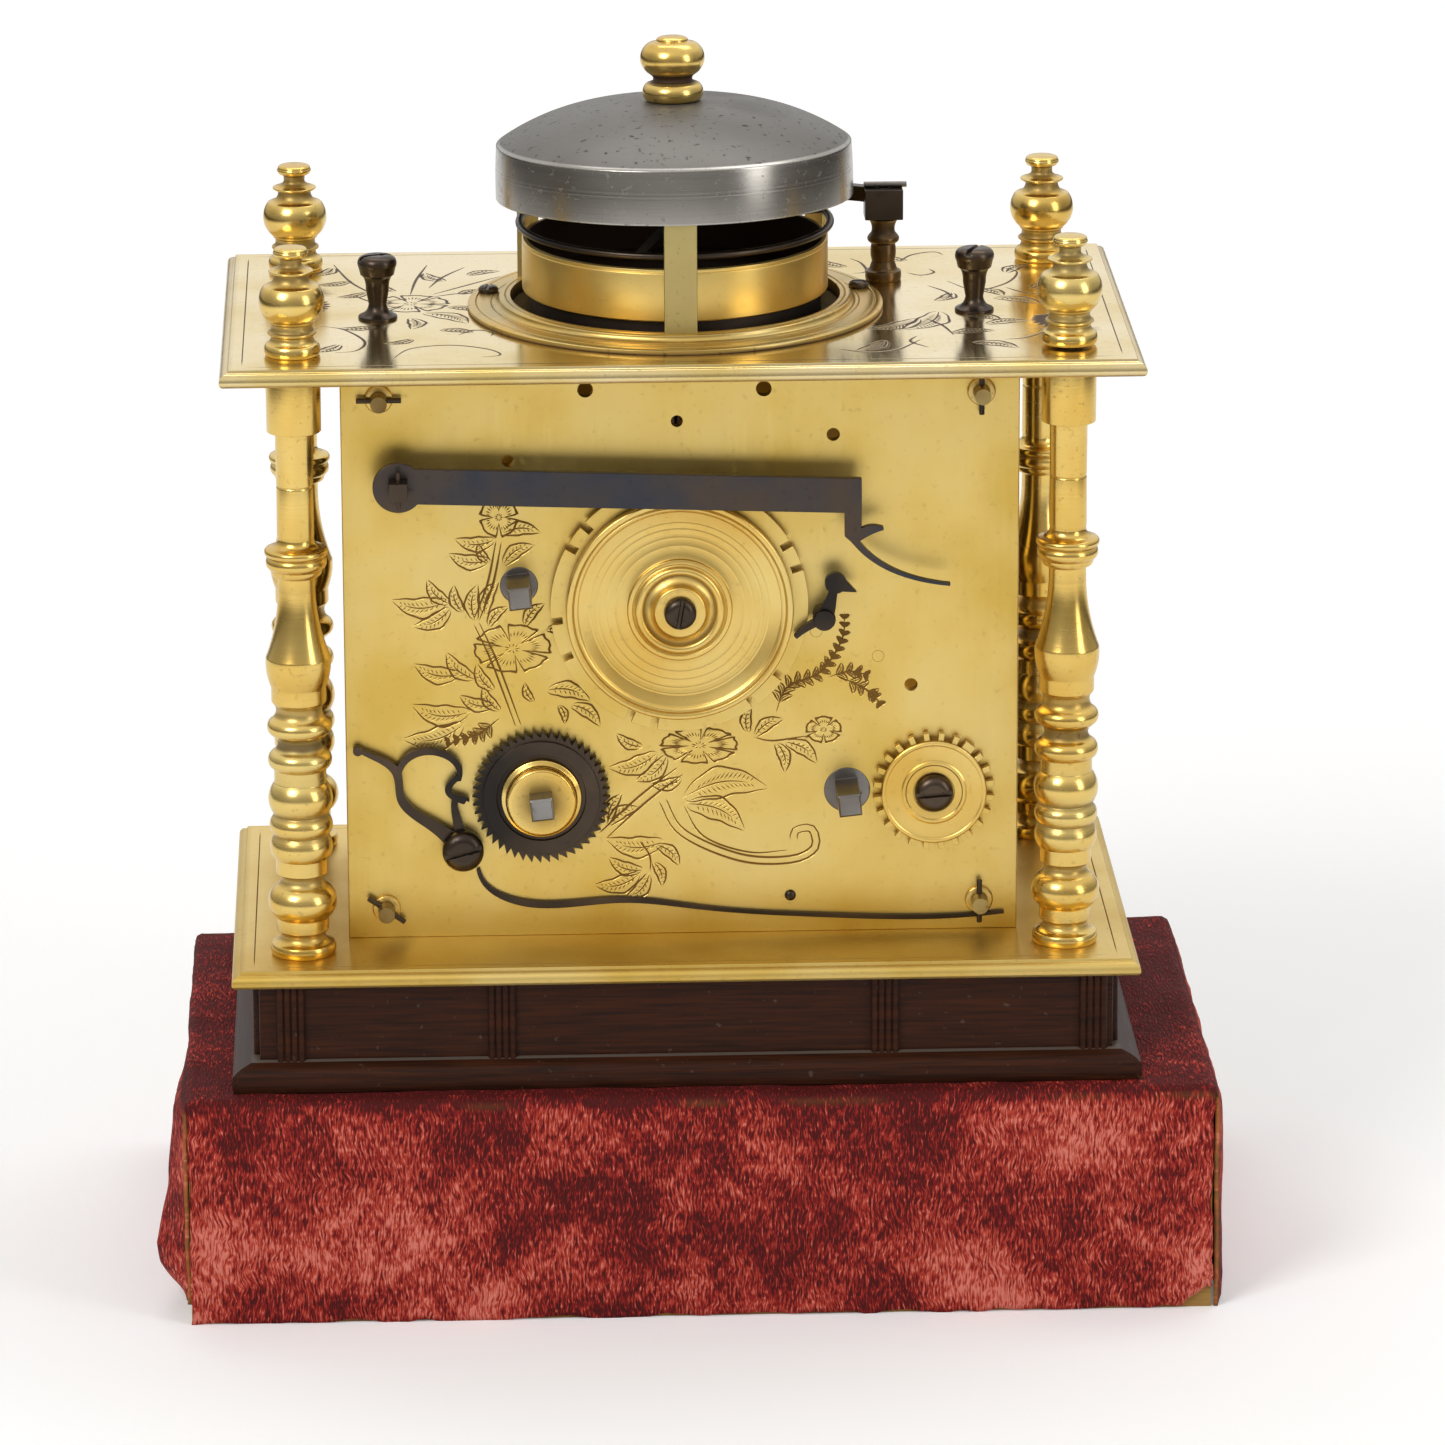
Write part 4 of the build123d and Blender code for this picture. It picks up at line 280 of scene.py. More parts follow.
def worked_metal(name):
    """A metal of the table: two tones in slow clouds, tool marks, pits, and grime and painted shade where
    'hollow' is high.
    """
    spec = dict(zip(METAL_COLUMNS, METALS[name]))
    material, tree = new_material(name)
    place = add_node(tree, "TexCoord", out="Object")
    clouds = add_node(tree, "TexNoise", {"Vector": place, "Scale": 1 / (CLOUD_SIZE * MM), "Detail": 4})
    if spec["marks"]:
        scale = tuple(1 / (mark * MM) for mark in spec["marks"])
        stretched = add_node(tree, "Mapping", {"Vector": place, "Scale": scale})
        marks = add_node(tree, "TexNoise", {"Vector": stretched, "Scale": 1.0, "Detail": 3})
    else:
        way = add_node(tree, "Attribute", out="Fac", attribute_name="way")
        marks = add_node(tree, "TexNoise", {"W": way, "Scale": 1 / TURNING_STEP, "Detail": 2},
                         noise_dimensions="1D")
    pits = add_node(tree, "TexNoise", {"Vector": place, "Scale": 1 / (PIT_SIZE * MM), "Detail": 2})
    spots = add_node(tree, "MapRange", {"Value": pits, "From Min": 0.62, "From Max": 0.74,
                                        "To Max": spec["dirt"]})
    haze = add_node(tree, "MapRange", {"Value": clouds, "From Min": 0.52, "From Max": 0.75,
                                       "To Max": spec["dirt"] * 0.6})
    sunk = add_node(tree, "Attribute", out="Fac", attribute_name="hollow")
    # An engraved cut is dark across most of its width, a turned cove darkens slowly
    start, full = (0.12, 0.55) if spec["marks"] else (0.0, 0.85)
    hollow = add_node(tree, "MapRange", {"Value": sunk, "From Min": start, "From Max": full})
    dirt = add_node(tree, "Math", {0: spots, 1: haze}, operation="MAXIMUM")
    grime_and_shade = add_node(tree, "Math", {0: dirt, 1: hollow}, operation="ADD", use_clamp=True)
    tone = add_node(tree, "MapRange", {"Value": clouds, "From Min": 0.35, "From Max": 0.65})
    body = add_node(tree, "Mix", {0: tone, 6: tint(spec["body"]), 7: tint(spec["cloud"])}, 2,
                    data_type="RGBA")
    shown = add_node(tree, "Mix", {0: grime_and_shade, 6: body, 7: tint(spec["grime_and_shade"])}, 2, data_type="RGBA")
    rough = add_node(tree, "Math", {0: grime_and_shade, 1: 0.35, 2: spec["rough"]}, operation="MULTIPLY_ADD")
    rubbed = add_node(tree, "Math", {0: marks, 1: 0.12, 2: rough}, operation="MULTIPLY_ADD")
    metal = add_node(tree, "Math", {0: grime_and_shade, 1: -0.75, 2: 1.0 - spec["skin"] * 0.6},
                     operation="MULTIPLY_ADD", use_clamp=True)
    height = add_node(tree, "Math", {0: pits, 1: 0.5, 2: marks}, operation="MULTIPLY_ADD")
    bump = add_node(tree, "Bump", {"Height": height, "Strength": 0.6, "Distance": spec["cut"] * MM})
    shader = add_node(tree, "BsdfPrincipled", {"Base Color": shown, "Metallic": metal, "Roughness": rubbed,
                                               "Specular IOR Level": 0.25, "Normal": bump})
    add_node(tree, "OutputMaterial", {"Surface": shader}, None)
    return material


# Sizes in mm of the wood's streaks and of the dust on it
GRAIN_ACROSS = 0.6
GRAIN_ALONG = 14.0
DUST_SIZE = 1.4


def stained_wood():
    """Planed hardwood, stained dark and rubbed with wax: fine streaks along each wall, dust on its ledges.

    A side wall is where |x| - half width is larger than |y| - half depth; there the grain runs along Y.
    """
    material, tree = new_material("stained_waxed_hardwood")
    place = add_node(tree, "TexCoord", out="Object")
    parts = add_node(tree, "SeparateXYZ", {0: place}, None)
    across = [add_node(tree, "Math", {0: parts[axis]}, operation="ABSOLUTE") for axis in (0, 1)]
    spare = [add_node(tree, "Math", {0: value, 1: float(half) * MM}, operation="SUBTRACT")
             for value, half in zip(across, WALL_HIGH[:2])]
    side = add_node(tree, "Math", {0: spare[0], 1: spare[1]}, operation="GREATER_THAN")
    fine, slow = 1 / (GRAIN_ACROSS * MM), 1 / (GRAIN_ALONG * MM)
    grains = [add_node(tree, "Mapping", {"Vector": place, "Scale": scale})
              for scale in ((slow, fine, fine), (fine, slow, fine))]
    turned = add_node(tree, "Mix", {0: side, 4: grains[0], 5: grains[1]}, 1, data_type="VECTOR")
    streaks = add_node(tree, "TexNoise", {"Vector": turned, "Scale": 1.0, "Detail": 5, "Distortion": 0.4})
    dust = add_node(tree, "TexNoise", {"Vector": place, "Scale": 1 / (DUST_SIZE * MM), "Detail": 3})
    tone = add_node(tree, "ValToRGB", {0: streaks}, stops=[(0.3, tint("wood")), (0.75, tint("wood_light"))])
    ledge = add_node(tree, "Attribute", out="Fac", attribute_name="hollow")
    speck = add_node(tree, "MapRange", {"Value": dust, "From Min": 0.68, "From Max": 0.8, "To Max": 0.5})
    dusty = add_node(tree, "Math", {0: ledge, 1: speck}, operation="MAXIMUM")
    shown = add_node(tree, "Mix", {0: dusty, 6: tone, 7: tint("dust")}, 2, data_type="RGBA")
    rough = add_node(tree, "MapRange", {"Value": streaks, "To Min": 0.32, "To Max": 0.5})
    bump = add_node(tree, "Bump", {"Height": streaks, "Strength": 0.5, "Distance": 0.05 * MM})
    shader = add_node(tree, "BsdfPrincipled", {"Base Color": shown, "Roughness": rough,
                                               "Specular IOR Level": 0.12, "Normal": bump})
    add_node(tree, "OutputMaterial", {"Surface": shader}, None)
    return material


# Sizes in mm of the pressed patches, and of one tuft, drawn coarser than real silk pile so that it shows
PATCH_SIZES = (34.0, 11.0)
TUFT_ACROSS = 0.36
TUFT_ALONG = 2.0


def crushed_velvet():
    """Silk pile pressed flat in patches: dark where it stands, pale where it lies, with painted highlights on
    bright tufts.

    Patches read the sheet's own UV map, its flat places in metres; the tufts' short strokes read "rows",
    places across and along the pile in tuft sizes, "lie" holds the pressed patches and a painted
    shade that darkens the top, where the pile stands, and "worn" is high where the pile has gone from the
    edges.
    """
    material, tree = new_material("woven_crushed_velvet")
    flat = add_node(tree, "UVMap", uv_map="flat")
    broad, small = (add_node(tree, "TexNoise", {"Vector": flat, "Scale": 1 / (patch * MM), "Detail": 4,
                                                "Roughness": 0.55, "Distortion": 0.8})
                    for patch in PATCH_SIZES)
    rows = add_node(tree, "Attribute", out="Vector", attribute_name="rows")
    # The painted shade on the top comes in with the pressed patches
    lie, worn = (add_node(tree, "Attribute", out="Fac", attribute_name=name) for name in ("lie", "worn"))
    tufts = add_node(tree, "TexNoise", {"Vector": rows, "Scale": 1.0, "Detail": 2, "Distortion": 0.3})
    # Painted highlights: single tufts that catch the light lift the tone towards the shine colour
    tips = add_node(tree, "TexNoise", {"Vector": rows, "Scale": 1.9, "Detail": 0})
    painted_glints = add_node(tree, "MapRange", {"Value": tips, "From Min": 0.62, "From Max": 0.74, "To Max": 0.4})
    # Each layer adds its noise times its weight to the one before
    pile_and_top_shade = lie
    for layer, weight in ((small, 0.75), (broad, 0.8), (tufts, 1.15)):
        pile_and_top_shade = add_node(tree, "Math", {0: layer, 1: weight, 2: pile_and_top_shade}, operation="MULTIPLY_ADD")
    tone = add_node(tree, "MapRange", {"Value": pile_and_top_shade, "From Min": 1.1, "From Max": 1.6})
    bright = add_node(tree, "Math", {0: tone, 1: painted_glints}, operation="ADD", use_clamp=True)
    lit = add_node(tree, "ValToRGB", {0: bright},
                   stops=[(0.1, tint("velvet_deep")), (0.38, tint("velvet")), (0.68, tint("velvet_light")),
                          (1.0, tint("velvet_shine"))])
    shown = add_node(tree, "Mix", {0: worn, 6: lit, 7: tint("board")}, 2, data_type="RGBA")
    bump = add_node(tree, "Bump", {"Height": pile_and_top_shade, "Strength": 0.8, "Distance": 0.5 * MM})
    shader = add_node(tree, "BsdfPrincipled",
                      {"Base Color": shown, "Roughness": 0.8, "Specular IOR Level": 0.25,
                       "Sheen Weight": 0.06, "Sheen Roughness": 0.4, "Sheen Tint": tint("velvet_light"),
                       "Normal": bump})
    add_node(tree, "OutputMaterial", {"Surface": shader}, None)
    return material


# Sizes in mm of the board's fibres along X, Y and Z, of the gut's twist and of the wax's shrinkage pits
BOARD_FIBRE = (2.5, 2.5, 0.4)
GUT_TWIST = 1.2
WAX_PIT = 0.6


def two_toned(material, pattern, dark, light, depth, rough):
    """Ends a material that goes from dark to light with its pattern, which also raises it by depth, in mm."""
    tree = material.node_tree
    tone = add_node(tree, "Mix", {0: pattern, 6: tint(dark), 7: tint(light)}, 2, data_type="RGBA")
    bump = add_node(tree, "Bump", {"Height": pattern, "Distance": depth * MM})
    shader = add_node(tree, "BsdfPrincipled", {"Base Color": tone, "Roughness": rough, "Normal": bump})
    add_node(tree, "OutputMaterial", {"Surface": shader}, None)
    return material


def pressed_board():
    """Pressed yellow board: matt, fibrous, a little soiled."""
    material, tree = new_material("pressed_straw_board")
    place = add_node(tree, "TexCoord", out="Object")
    scale = tuple(1 / (fibre * MM) for fibre in BOARD_FIBRE)
    layers = add_node(tree, "Mapping", {"Vector": place, "Scale": scale})
    fibres = add_node(tree, "TexNoise", {"Vector": layers, "Scale": 1.0, "Detail": 4})
    return two_toned(material, fibres, "board", "board_fibre", 0.1, 0.85)


def twisted_gut():
    """Twisted and oiled gut: honey coloured, slightly shiny, with the twist's lines round it."""
    material, tree = new_material("twisted_oiled_gut")
    place = add_node(tree, "TexCoord", out="Object")
    twist = add_node(tree, "TexWave", {"Vector": place, "Scale": 1 / (GUT_TWIST * MM), "Distortion": 0.6},
                     "Fac", bands_direction="DIAGONAL")
    return two_toned(material, twist, "gut", "gut_light", 0.06, 0.4)


def black_wax():
    """Black wax melted into the cut numbers: dense, slightly glossy, with tiny shrinkage pits."""
    material, tree = new_material("melted_black_wax")
    place = add_node(tree, "TexCoord", out="Object")
    pits = add_node(tree, "TexNoise", {"Vector": place, "Scale": 1 / (WAX_PIT * MM), "Detail": 2})
    return two_toned(material, pits, "wax", "wax_light", 0.02, 0.45)


OTHER_FINISHES = {"stained_waxed_hardwood": stained_wood, "woven_crushed_velvet": crushed_velvet,
                  "pressed_straw_board": pressed_board, "twisted_oiled_gut": twisted_gut,
                  "melted_black_wax": black_wax}


def finish(name):
    """The material of that name, made when it is first asked for."""
    if name not in bpy.data.materials:
        return worked_metal(name) if name in METALS else OTHER_FINISHES[name]()
    return bpy.data.materials[name]


# Pieces

BODY_NAMES = {empty: name for name, empty in frame["bodies"].items()}
# The corners of a rectangle of half width and half depth 1, walked round
RECTANGLE = np.array([(-1, -1), (1, -1), (1, 1), (-1, 1)], float)


def points_of(mesh):
    """A mesh's points in millimetres."""
    points = np.empty(len(mesh.vertices) * 3)
    mesh.vertices.foreach_get("co", points)
    return points.reshape(-1, 3) / MM


def circle(sides):
    """Points round the unit circle: (cos a, sin a)."""
    angle = np.arange(sides) * 2 * math.pi / sides
    return np.stack([np.cos(angle), np.sin(angle)], axis=1)


def put_in_place(mesh, material, *nodes, beside=False):
    """A piece of that mesh and material, parented to the body of the nodes that it stands for, which it
    hides, or that it sits beside."""
    piece = bpy.data.objects.new(mesh.name, mesh)
    piece.data.materials.clear()
    piece.data.materials.append(finish(material))
    bpy.context.scene.collection.objects.link(piece)
    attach(piece, BODY_NAMES[frame["nodes"][nodes[0]].parent])
    if not beside:
        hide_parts(*nodes)
    return piece


def mesh_from(name, points, faces, attributes=None, flat_places=None, smooth=38.0, flat_triangles=False):
    """A mesh from points in millimetres: seams and poles welded, faces turned outwards, edges over the
    angle smooth left sharp. attributes holds one value or vector a point, flat_places a UV a point."""
    mesh = bpy.data.meshes.new(name)
    mesh.from_pydata((np.asarray(points) * MM).tolist(), [],
                     faces.tolist() if isinstance(faces, np.ndarray) else faces)
    for key, values in (attributes or {}).items():
        values = np.asarray(values, np.float32)
        vector = values.ndim == 2
        layer = mesh.attributes.new(key, "FLOAT_VECTOR" if vector else "FLOAT", "POINT")
        layer.data.foreach_set("vector" if vector else "value", values.ravel())
    if flat_places is not None:
        corner = np.empty(len(mesh.loops), np.int32)
        mesh.loops.foreach_get("vertex_index", corner)
        layer = mesh.uv_layers.new(name="flat")
        layer.uv.foreach_set("vector", (np.asarray(flat_places) * MM)[corner].astype(np.float32).ravel())
    work = bmesh.new()
    work.from_mesh(mesh)
    bmesh.ops.remove_doubles(work, verts=work.verts, dist=1e-6)
    bmesh.ops.dissolve_degenerate(work, edges=work.edges, dist=1e-7)
    if flat_places is None:
        bmesh.ops.recalc_face_normals(work, faces=work.faces)
    work.to_mesh(mesh)
    work.free()
    mesh.shade_smooth()
    mesh.set_sharp_from_angle(angle=math.radians(smooth))
    if flat_triangles:
        corners_of = np.empty(len(mesh.polygons), np.int32)
        mesh.polygons.foreach_get("loop_total", corners_of)
        mesh.polygons.foreach_set("use_smooth", corners_of > 3)
    return mesh


def grid_faces(rows, columns, close_rows=False, close_columns=False):
    """Quads between the points of a grid; its numbers wrap round where it closes."""
    i, j = np.meshgrid(np.arange(rows - (not close_rows)), np.arange(columns - (not close_columns)),
                       indexing="ij")
    i, j = i.ravel(), j.ravel()
    k, m = (i + 1) % rows, (j + 1) % columns
    return np.stack([i * columns + j, i * columns + m, k * columns + m, k * columns + j], axis=1)


def bowed(profile, step=0.3):
    """A turned line from (radius, height, swell) points: the chord to each point is bowed into an arc.

    With chord L and swell s the arc's half angle is 2 atan(2 s / L) and its radius L / (2 sin(half)).
    """
    line = [np.array([profile[0][:2]], float)]
    for (r0, z0, _), (r1, z1, swell) in zip(profile, profile[1:]):
        start, chord = np.array([r0, z0], float), np.array([r1 - r0, z1 - z0], float)
        span = np.hypot(*chord)
        if not swell:
            line.append((start + chord)[None])
            continue
        half = 2 * math.atan(2 * abs(swell) / span)
        radius = span / (2 * math.sin(half))
        turn = np.linspace(-half, half, 2 + int(np.ceil(2 * half * radius / step)))[1:, None]
        along = radius * np.sin(turn) / span + 0.5
        out = math.copysign(1.0, swell) * radius * (np.cos(turn) - math.cos(half))
        line.append(start + along * chord + out * np.array([chord[1], -chord[0]]) / span)
    return np.concatenate(line)


def softened(line, reach, closed=False):
    """Rounds each corner P over 15 degrees by the curve (1-t)^2 A + 2t(1-t) P + t^2 B, A and B near P."""
    ring = np.concatenate([line[-1:], line, line[:1]]) if closed else line
    before, corner, after = ring[:-2], ring[1:-1], ring[2:]
    arms = [end - corner for end in (before, after)]
    spans = [np.maximum(np.linalg.norm(arm, axis=1, keepdims=True), 1e-9) for arm in arms]
    start, end = (corner + arm * np.minimum(0.4, reach / span) for arm, span in zip(arms, spans))
    straight = -(arms[0] * arms[1]).sum(axis=1) / (spans[0] * spans[1])[:, 0]
    sharp = straight < math.cos(math.radians(15))
    t = np.linspace(0, 1, 4)[None, :, None]
    curve = (1 - t) ** 2 * start[:, None] + 2 * t * (1 - t) * corner[:, None] + t ** 2 * end[:, None]
    keep = ~sharp if closed else np.concatenate([[True], ~sharp, [True]])
    keys = np.concatenate([np.flatnonzero(keep),
                           (np.flatnonzero(~keep)[:, None] + np.linspace(0, 0.5, 4)).ravel()])
    points = np.concatenate([line[keep], curve[sharp].reshape(-1, 2)])
    return points[np.argsort(keys, kind="stable")]


def hollows(line, reach, depth, amount):
    """How deep each point of a turned line lies between higher ones within reach, up to amount."""
    rise = line[None, :, 1] - line[:, None, 1]
    above, below = (np.where((sign * rise >= 0) & (sign * rise < reach), line[None, :, 0], 0).max(axis=1)
                    for sign in (1, -1))
    return np.clip((np.minimum(above, below) - line[:, 0]) / depth, 0, 1) * amount


def turned_piece(name, material, profile, centres, nodes, lay=False, closed=False, reach=2.4, depth=1.3,
                 amount=0.75, tilt=(0.0, 0.0), segments=None, soften=None, dished=False, darkening=None,
                 beside=False):
    """Turned solids in one piece: the line (r, h) carried round as (r cos a, r sin a, h).

    Laid on its side, the axis points along -Y: (r cos a, -h, r sin a). tilt leans it on its lowest ring,
    to the right and to the back, in degrees. darkening gives the line's points their hollow values in place
    of those that hollows finds.
    """
    segments = segments or bpy.context.scene.clock_sizes.segments
    line = softened(bowed(profile), soften or size("edge"), closed)
    angle = np.arange(segments) * 2 * math.pi / segments
    round_x, round_y = np.outer(line[:, 0], np.cos(angle)), np.outer(line[:, 0], np.sin(angle))
    height = np.repeat(line[:, 1:2], segments, axis=1)
    shape = np.stack([round_x, -height, round_y] if lay else [round_x, round_y, height], axis=-1)
    shape = shape.reshape(-1, 3)
    if any(tilt):
        right, back = (math.radians(a) for a in tilt)
        low = np.array((0, 0, height.min()))
        lean = np.array(Matrix.Rotation(right, 3, "Y") @ Matrix.Rotation(-back, 3, "X"))
        shape = (shape - low) @ lean.T + low
    faces = grid_faces(len(line), segments, close_rows=closed, close_columns=True)
    points = np.concatenate([shape + centre for centre in centres])
    faces = np.concatenate([faces + i * len(shape) for i in range(len(centres))])
    gaps = np.linalg.norm(np.diff(line, axis=0, prepend=line[:1]), axis=1)
    # These values darken with the grime colour: grime in the coves, and painted shade where a long reach
    # darkens a whole inside, as in the drum
    dirt = darkening(line) if darkening else hollows(line[:, ::-1] if dished else line, reach, depth, amount)
    layers = {"hollow": np.tile(np.repeat(dirt, segments), len(centres)),
              "way": np.tile(np.repeat(np.cumsum(gaps), segments), len(centres))}
    return put_in_place(mesh_from(name, points, faces, layers), material, *nodes, beside=beside)


def refined(node, material, width=None, angle=30.0, reshape=None):
    """A welded copy of a CAD node with its flat faces joined and its edges broken by a small bevel.

    reshape, where given, takes the points in millimetres and gives them back trimmed to the real form."""
    mesh = frame["nodes"][node].data.copy()
    mesh.name = node + "_finished"
    if reshape:
        mesh.vertices.foreach_set("co", (reshape(points_of(mesh)) * MM).ravel())
    work = bmesh.new()
    work.from_mesh(mesh)
    bmesh.ops.remove_doubles(work, verts=work.verts, dist=1e-7)
    bmesh.ops.dissolve_limit(work, angle_limit=math.radians(0.5), verts=work.verts, edges=work.edges)
    work.to_mesh(mesh)
    work.free()
    if "custom_normal" in mesh.attributes:
        mesh.attributes.remove(mesh.attributes["custom_normal"])
    mesh.shade_smooth()
    mesh.set_sharp_from_angle(angle=math.radians(angle))
    piece = put_in_place(mesh, material, node)
    bevel = piece.modifiers.new("broken_edges", "BEVEL")
    bevel.width = (width or size("edge")) * MM
    bevel.segments = 2
    bevel.limit_method = "ANGLE"
    bevel.angle_limit = math.radians(angle)
    bevel.use_clamp_overlap = False
    bevel.harden_normals = True
    return piece


def dress(material, *nodes):
    """CAD nodes whose shape is right keep it, and only get their material."""
    for node in nodes:
        piece = frame["nodes"][node]
        piece.data.materials.clear()
        piece.data.materials.append(finish(material))


# Engraving: a stroke is (points, half widths); the cut is deepest on its middle line

def smooth_line(points, step=0.9):
    """A Catmull-Rom curve through a few points, each part divided by its length over the step."""
    points = np.array(points, float)
    if len(points) < 3:
        count = max(3, int(np.linalg.norm(points[-1] - points[0]) / step) + 1)
        return points[0] + np.linspace(0, 1, count)[:, None] * (points[-1] - points[0])
    ring = np.concatenate([2 * points[:1] - points[1:2], points, 2 * points[-1:] - points[-2:-1]])
    curve = [points[:1]]
    for a, b, c, d in zip(ring, ring[1:], ring[2:], ring[3:]):
        t = np.linspace(0, 1, max(2, int(np.linalg.norm(c - b) / step) + 1))[1:, None]
        curve.append(0.5 * (2 * b + (c - a) * t + (2 * a - 5 * b + 4 * c - d) * t ** 2
                            + (3 * b - a - 3 * c + d) * t ** 3))
    return np.concatenate(curve)


def cut(points, width, blunt=0.0):
    """A graver's stroke along a line: its half width swells from blunt at both ends as sin(pi t) ^ 0.6."""
    t = np.linspace(0, 1, len(points))
    swell = np.sin(math.pi * t).clip(0, 1) ** 0.6
    half = width / 2 * np.maximum(swell, blunt)
    half[0] = half[-1] = 0.0
    return points, half


def leaf(base, tip, share=0.36, turn=0.14, veins=True):
    """An engraved leaf: a pointed outline off a bent midrib, the midrib, and veins from it on both sides.

    Along t the outline stands off by share / 2 sin(pi t ^ 0.8) ^ 0.9 of the leaf's length, slightly
    notched, and the midrib bends by turn sin(pi t) of it. A vein leaves the midrib at a slant and stops
    short of the outline.
    """
    base, tip = np.array(base, float), np.array(tip, float)
    along = tip - base
    span = np.hypot(*along)
    aside = np.array([-along[1], along[0]])
    outline, shade = size("groove"), size("hatch")
    t = np.linspace(0, 1, max(9, int(span / 0.6)))[:, None]
    middle = base + along * t + aside * turn * np.sin(math.pi * t)
    wave = np.sin(math.pi * t ** 0.8).clip(0, 1) ** 0.9 * (1 + 0.07 * np.sin(6 * math.pi * t))
    strokes = [cut(middle + sign * aside * share / 2 * wave, outline, 0.3) for sign in (-1, 1)]
    strokes.append(cut(middle[:int(len(t) * 0.8)], outline * 0.7, 0.3))
    if veins:
        for place in np.arange(0.16, 0.8, max(0.75 / span, 0.05)):
            foot = base + along * place + aside * turn * math.sin(math.pi * place)
            reach = share * 0.36 * math.sin(math.pi * place ** 0.8)
            strokes += [cut(smooth_line([foot, foot + sign * aside * reach + along * reach * 0.9], 1.2),
                            shade, 0.5) for sign in (-1, 1)]
    return strokes


def petal(centre, angle, spread, near, far, stretch):
    """A broad petal: its rim is far (0.88 + 0.12 |cos(3 pi s / 2)|) over the share s of the spread, its
    sides run in to near, and fine lines fan in from the rim. stretch flattens the flower."""
    s = np.linspace(-1, 1, 15)
    turn = angle + spread * s
    rim = far * (0.88 + 0.12 * np.abs(np.cos(1.5 * math.pi * s)))
    rim[0] = rim[-1] = near
    rim[1] = rim[-2] = (near + far) / 2
    outline = centre + stretch * np.stack([rim * np.cos(turn), rim * np.sin(turn)], axis=1)
    strokes = [cut(smooth_line(outline[::2], 0.6), size("groove"), 0.35)]
    for share in (-0.6, -0.35, -0.1, 0.15, 0.4, 0.65):
        way = stretch * np.array([math.cos(angle + spread * share), math.sin(angle + spread * share)])
        reach = 0.86 - 0.25 * abs(share)
        ends = [centre + way * far * reach, centre + way * (near * 0.6 + far * 0.3)]
        strokes.append(cut(smooth_line(ends, 1.2), size("hatch"), 0.4))
    return strokes


def flower(centre, wide, high, petals=5, turn=0.0):
    """An engraved open flower: overlapping broad petals round a small hatched eye."""
    centre, stretch = np.array(centre, float), np.array([1.0, high / wide])
    strokes = []
    for i in range(petals):
        angle = math.radians(turn + 360.0 * i / petals)
        strokes += petal(centre, angle, math.pi / petals * 1.1, wide * 0.1, wide / 2, stretch)
    for i in range(9):
        angle = 2 * math.pi * i / 9
        way = stretch * np.array([math.cos(angle), math.sin(angle)]) * wide
        strokes.append(cut(smooth_line([centre + way * 0.02, centre + way * 0.12], 0.8), size("hatch"), 0.6))
    return strokes


def sideways(line):
    """Unit vectors square to a line, to its left, at each of its points."""
    way = np.gradient(line, axis=0)
    way /= np.maximum(np.linalg.norm(way, axis=1, keepdims=True), 1e-9)
    return np.stack([-way[:, 1], way[:, 0]], axis=1)


def stem(points, width=1.0, double=0.0):
    """An engraved stem; a double one is two lines side by side."""
    line = smooth_line(points)
    if not double:
        return [cut(line, size("groove") * width, 0.4)]
    aside = sideways(line) * double / 2
    return [cut(line + sign * aside, size("groove") * width, 0.5) for sign in (-1, 1)]


def fern(points, reach, step=1.5):
    """A fern spray: a stem with a pair of small curled leaves at each step, shorter towards its tip."""
    line = smooth_line(points, 0.7)
    strokes = [cut(line, size("groove"), 0.4)]
    gaps = np.linalg.norm(np.diff(line, axis=0), axis=1)
    way = np.concatenate([[0], np.cumsum(gaps)])
    for place in np.arange(step, way[-1] - 0.3, step):
        i = min(int(np.searchsorted(way, place)), len(line) - 1)
        ahead = (line[i] - line[i - 1]) / max(gaps[i - 1], 1e-6)
        size_here = reach * (1 - 0.6 * place / way[-1])
        for sign in (-1, 1):
            aside = np.array([-ahead[1], ahead[0]]) * sign
            strokes += leaf(line[i], line[i] + (aside + ahead * 0.8) * size_here * 0.75, 0.36, -0.15 * sign,
                            veins=False)
    return strokes


# How fast a cut goes dark from its edge inwards, how dark it gets, and the soil on a plate's moulded rim
CUT_DARKENS = 2.2
CUT_DARKEST = 0.95
RIM_SOIL = 0.2
HOLE_SIDES = 40


def groove_depths(points, strokes, deepest):
    """Depth and darkness of the cut at each point, from the stroke that cuts it most.

    A cut is a V: its share is (1 - distance / half width) times its width over the widest line's. The
    depth is deepest times that share, and the dark is CUT_DARKENS times it, at most CUT_DARKEST.
    """
    depth, dark = np.zeros(len(points)), np.zeros(len(points))
    widest = size("groove") / 2
    for line, half in strokes:
        room = half.max() + 1e-6
        low, high = line.min(axis=0) - room, line.max(axis=0) + room
        near = np.flatnonzero(((points >= low) & (points <= high)).all(axis=1))
        if not len(near):
            continue
        start, way = line[:-1], np.diff(line, axis=0)
        reach = np.maximum((way ** 2).sum(axis=1), 1e-12)
        offset = points[near, None] - start[None]
        t = np.clip((offset * way).sum(axis=2) / reach, 0, 1)
        gap = np.linalg.norm(offset - t[..., None] * way, axis=2)
        here = half[:-1] + t * np.diff(half)
        inside = np.clip(1 - gap / np.maximum(here, 1e-6), 0, 1) * np.minimum(here / widest, 1.0)
        depth[near] = np.maximum(depth[near], inside.max(axis=1) * deepest)
        dark[near] = np.maximum(dark[near], np.minimum(inside.max(axis=1) * CUT_DARKENS, CUT_DARKEST))
    return depth, dark


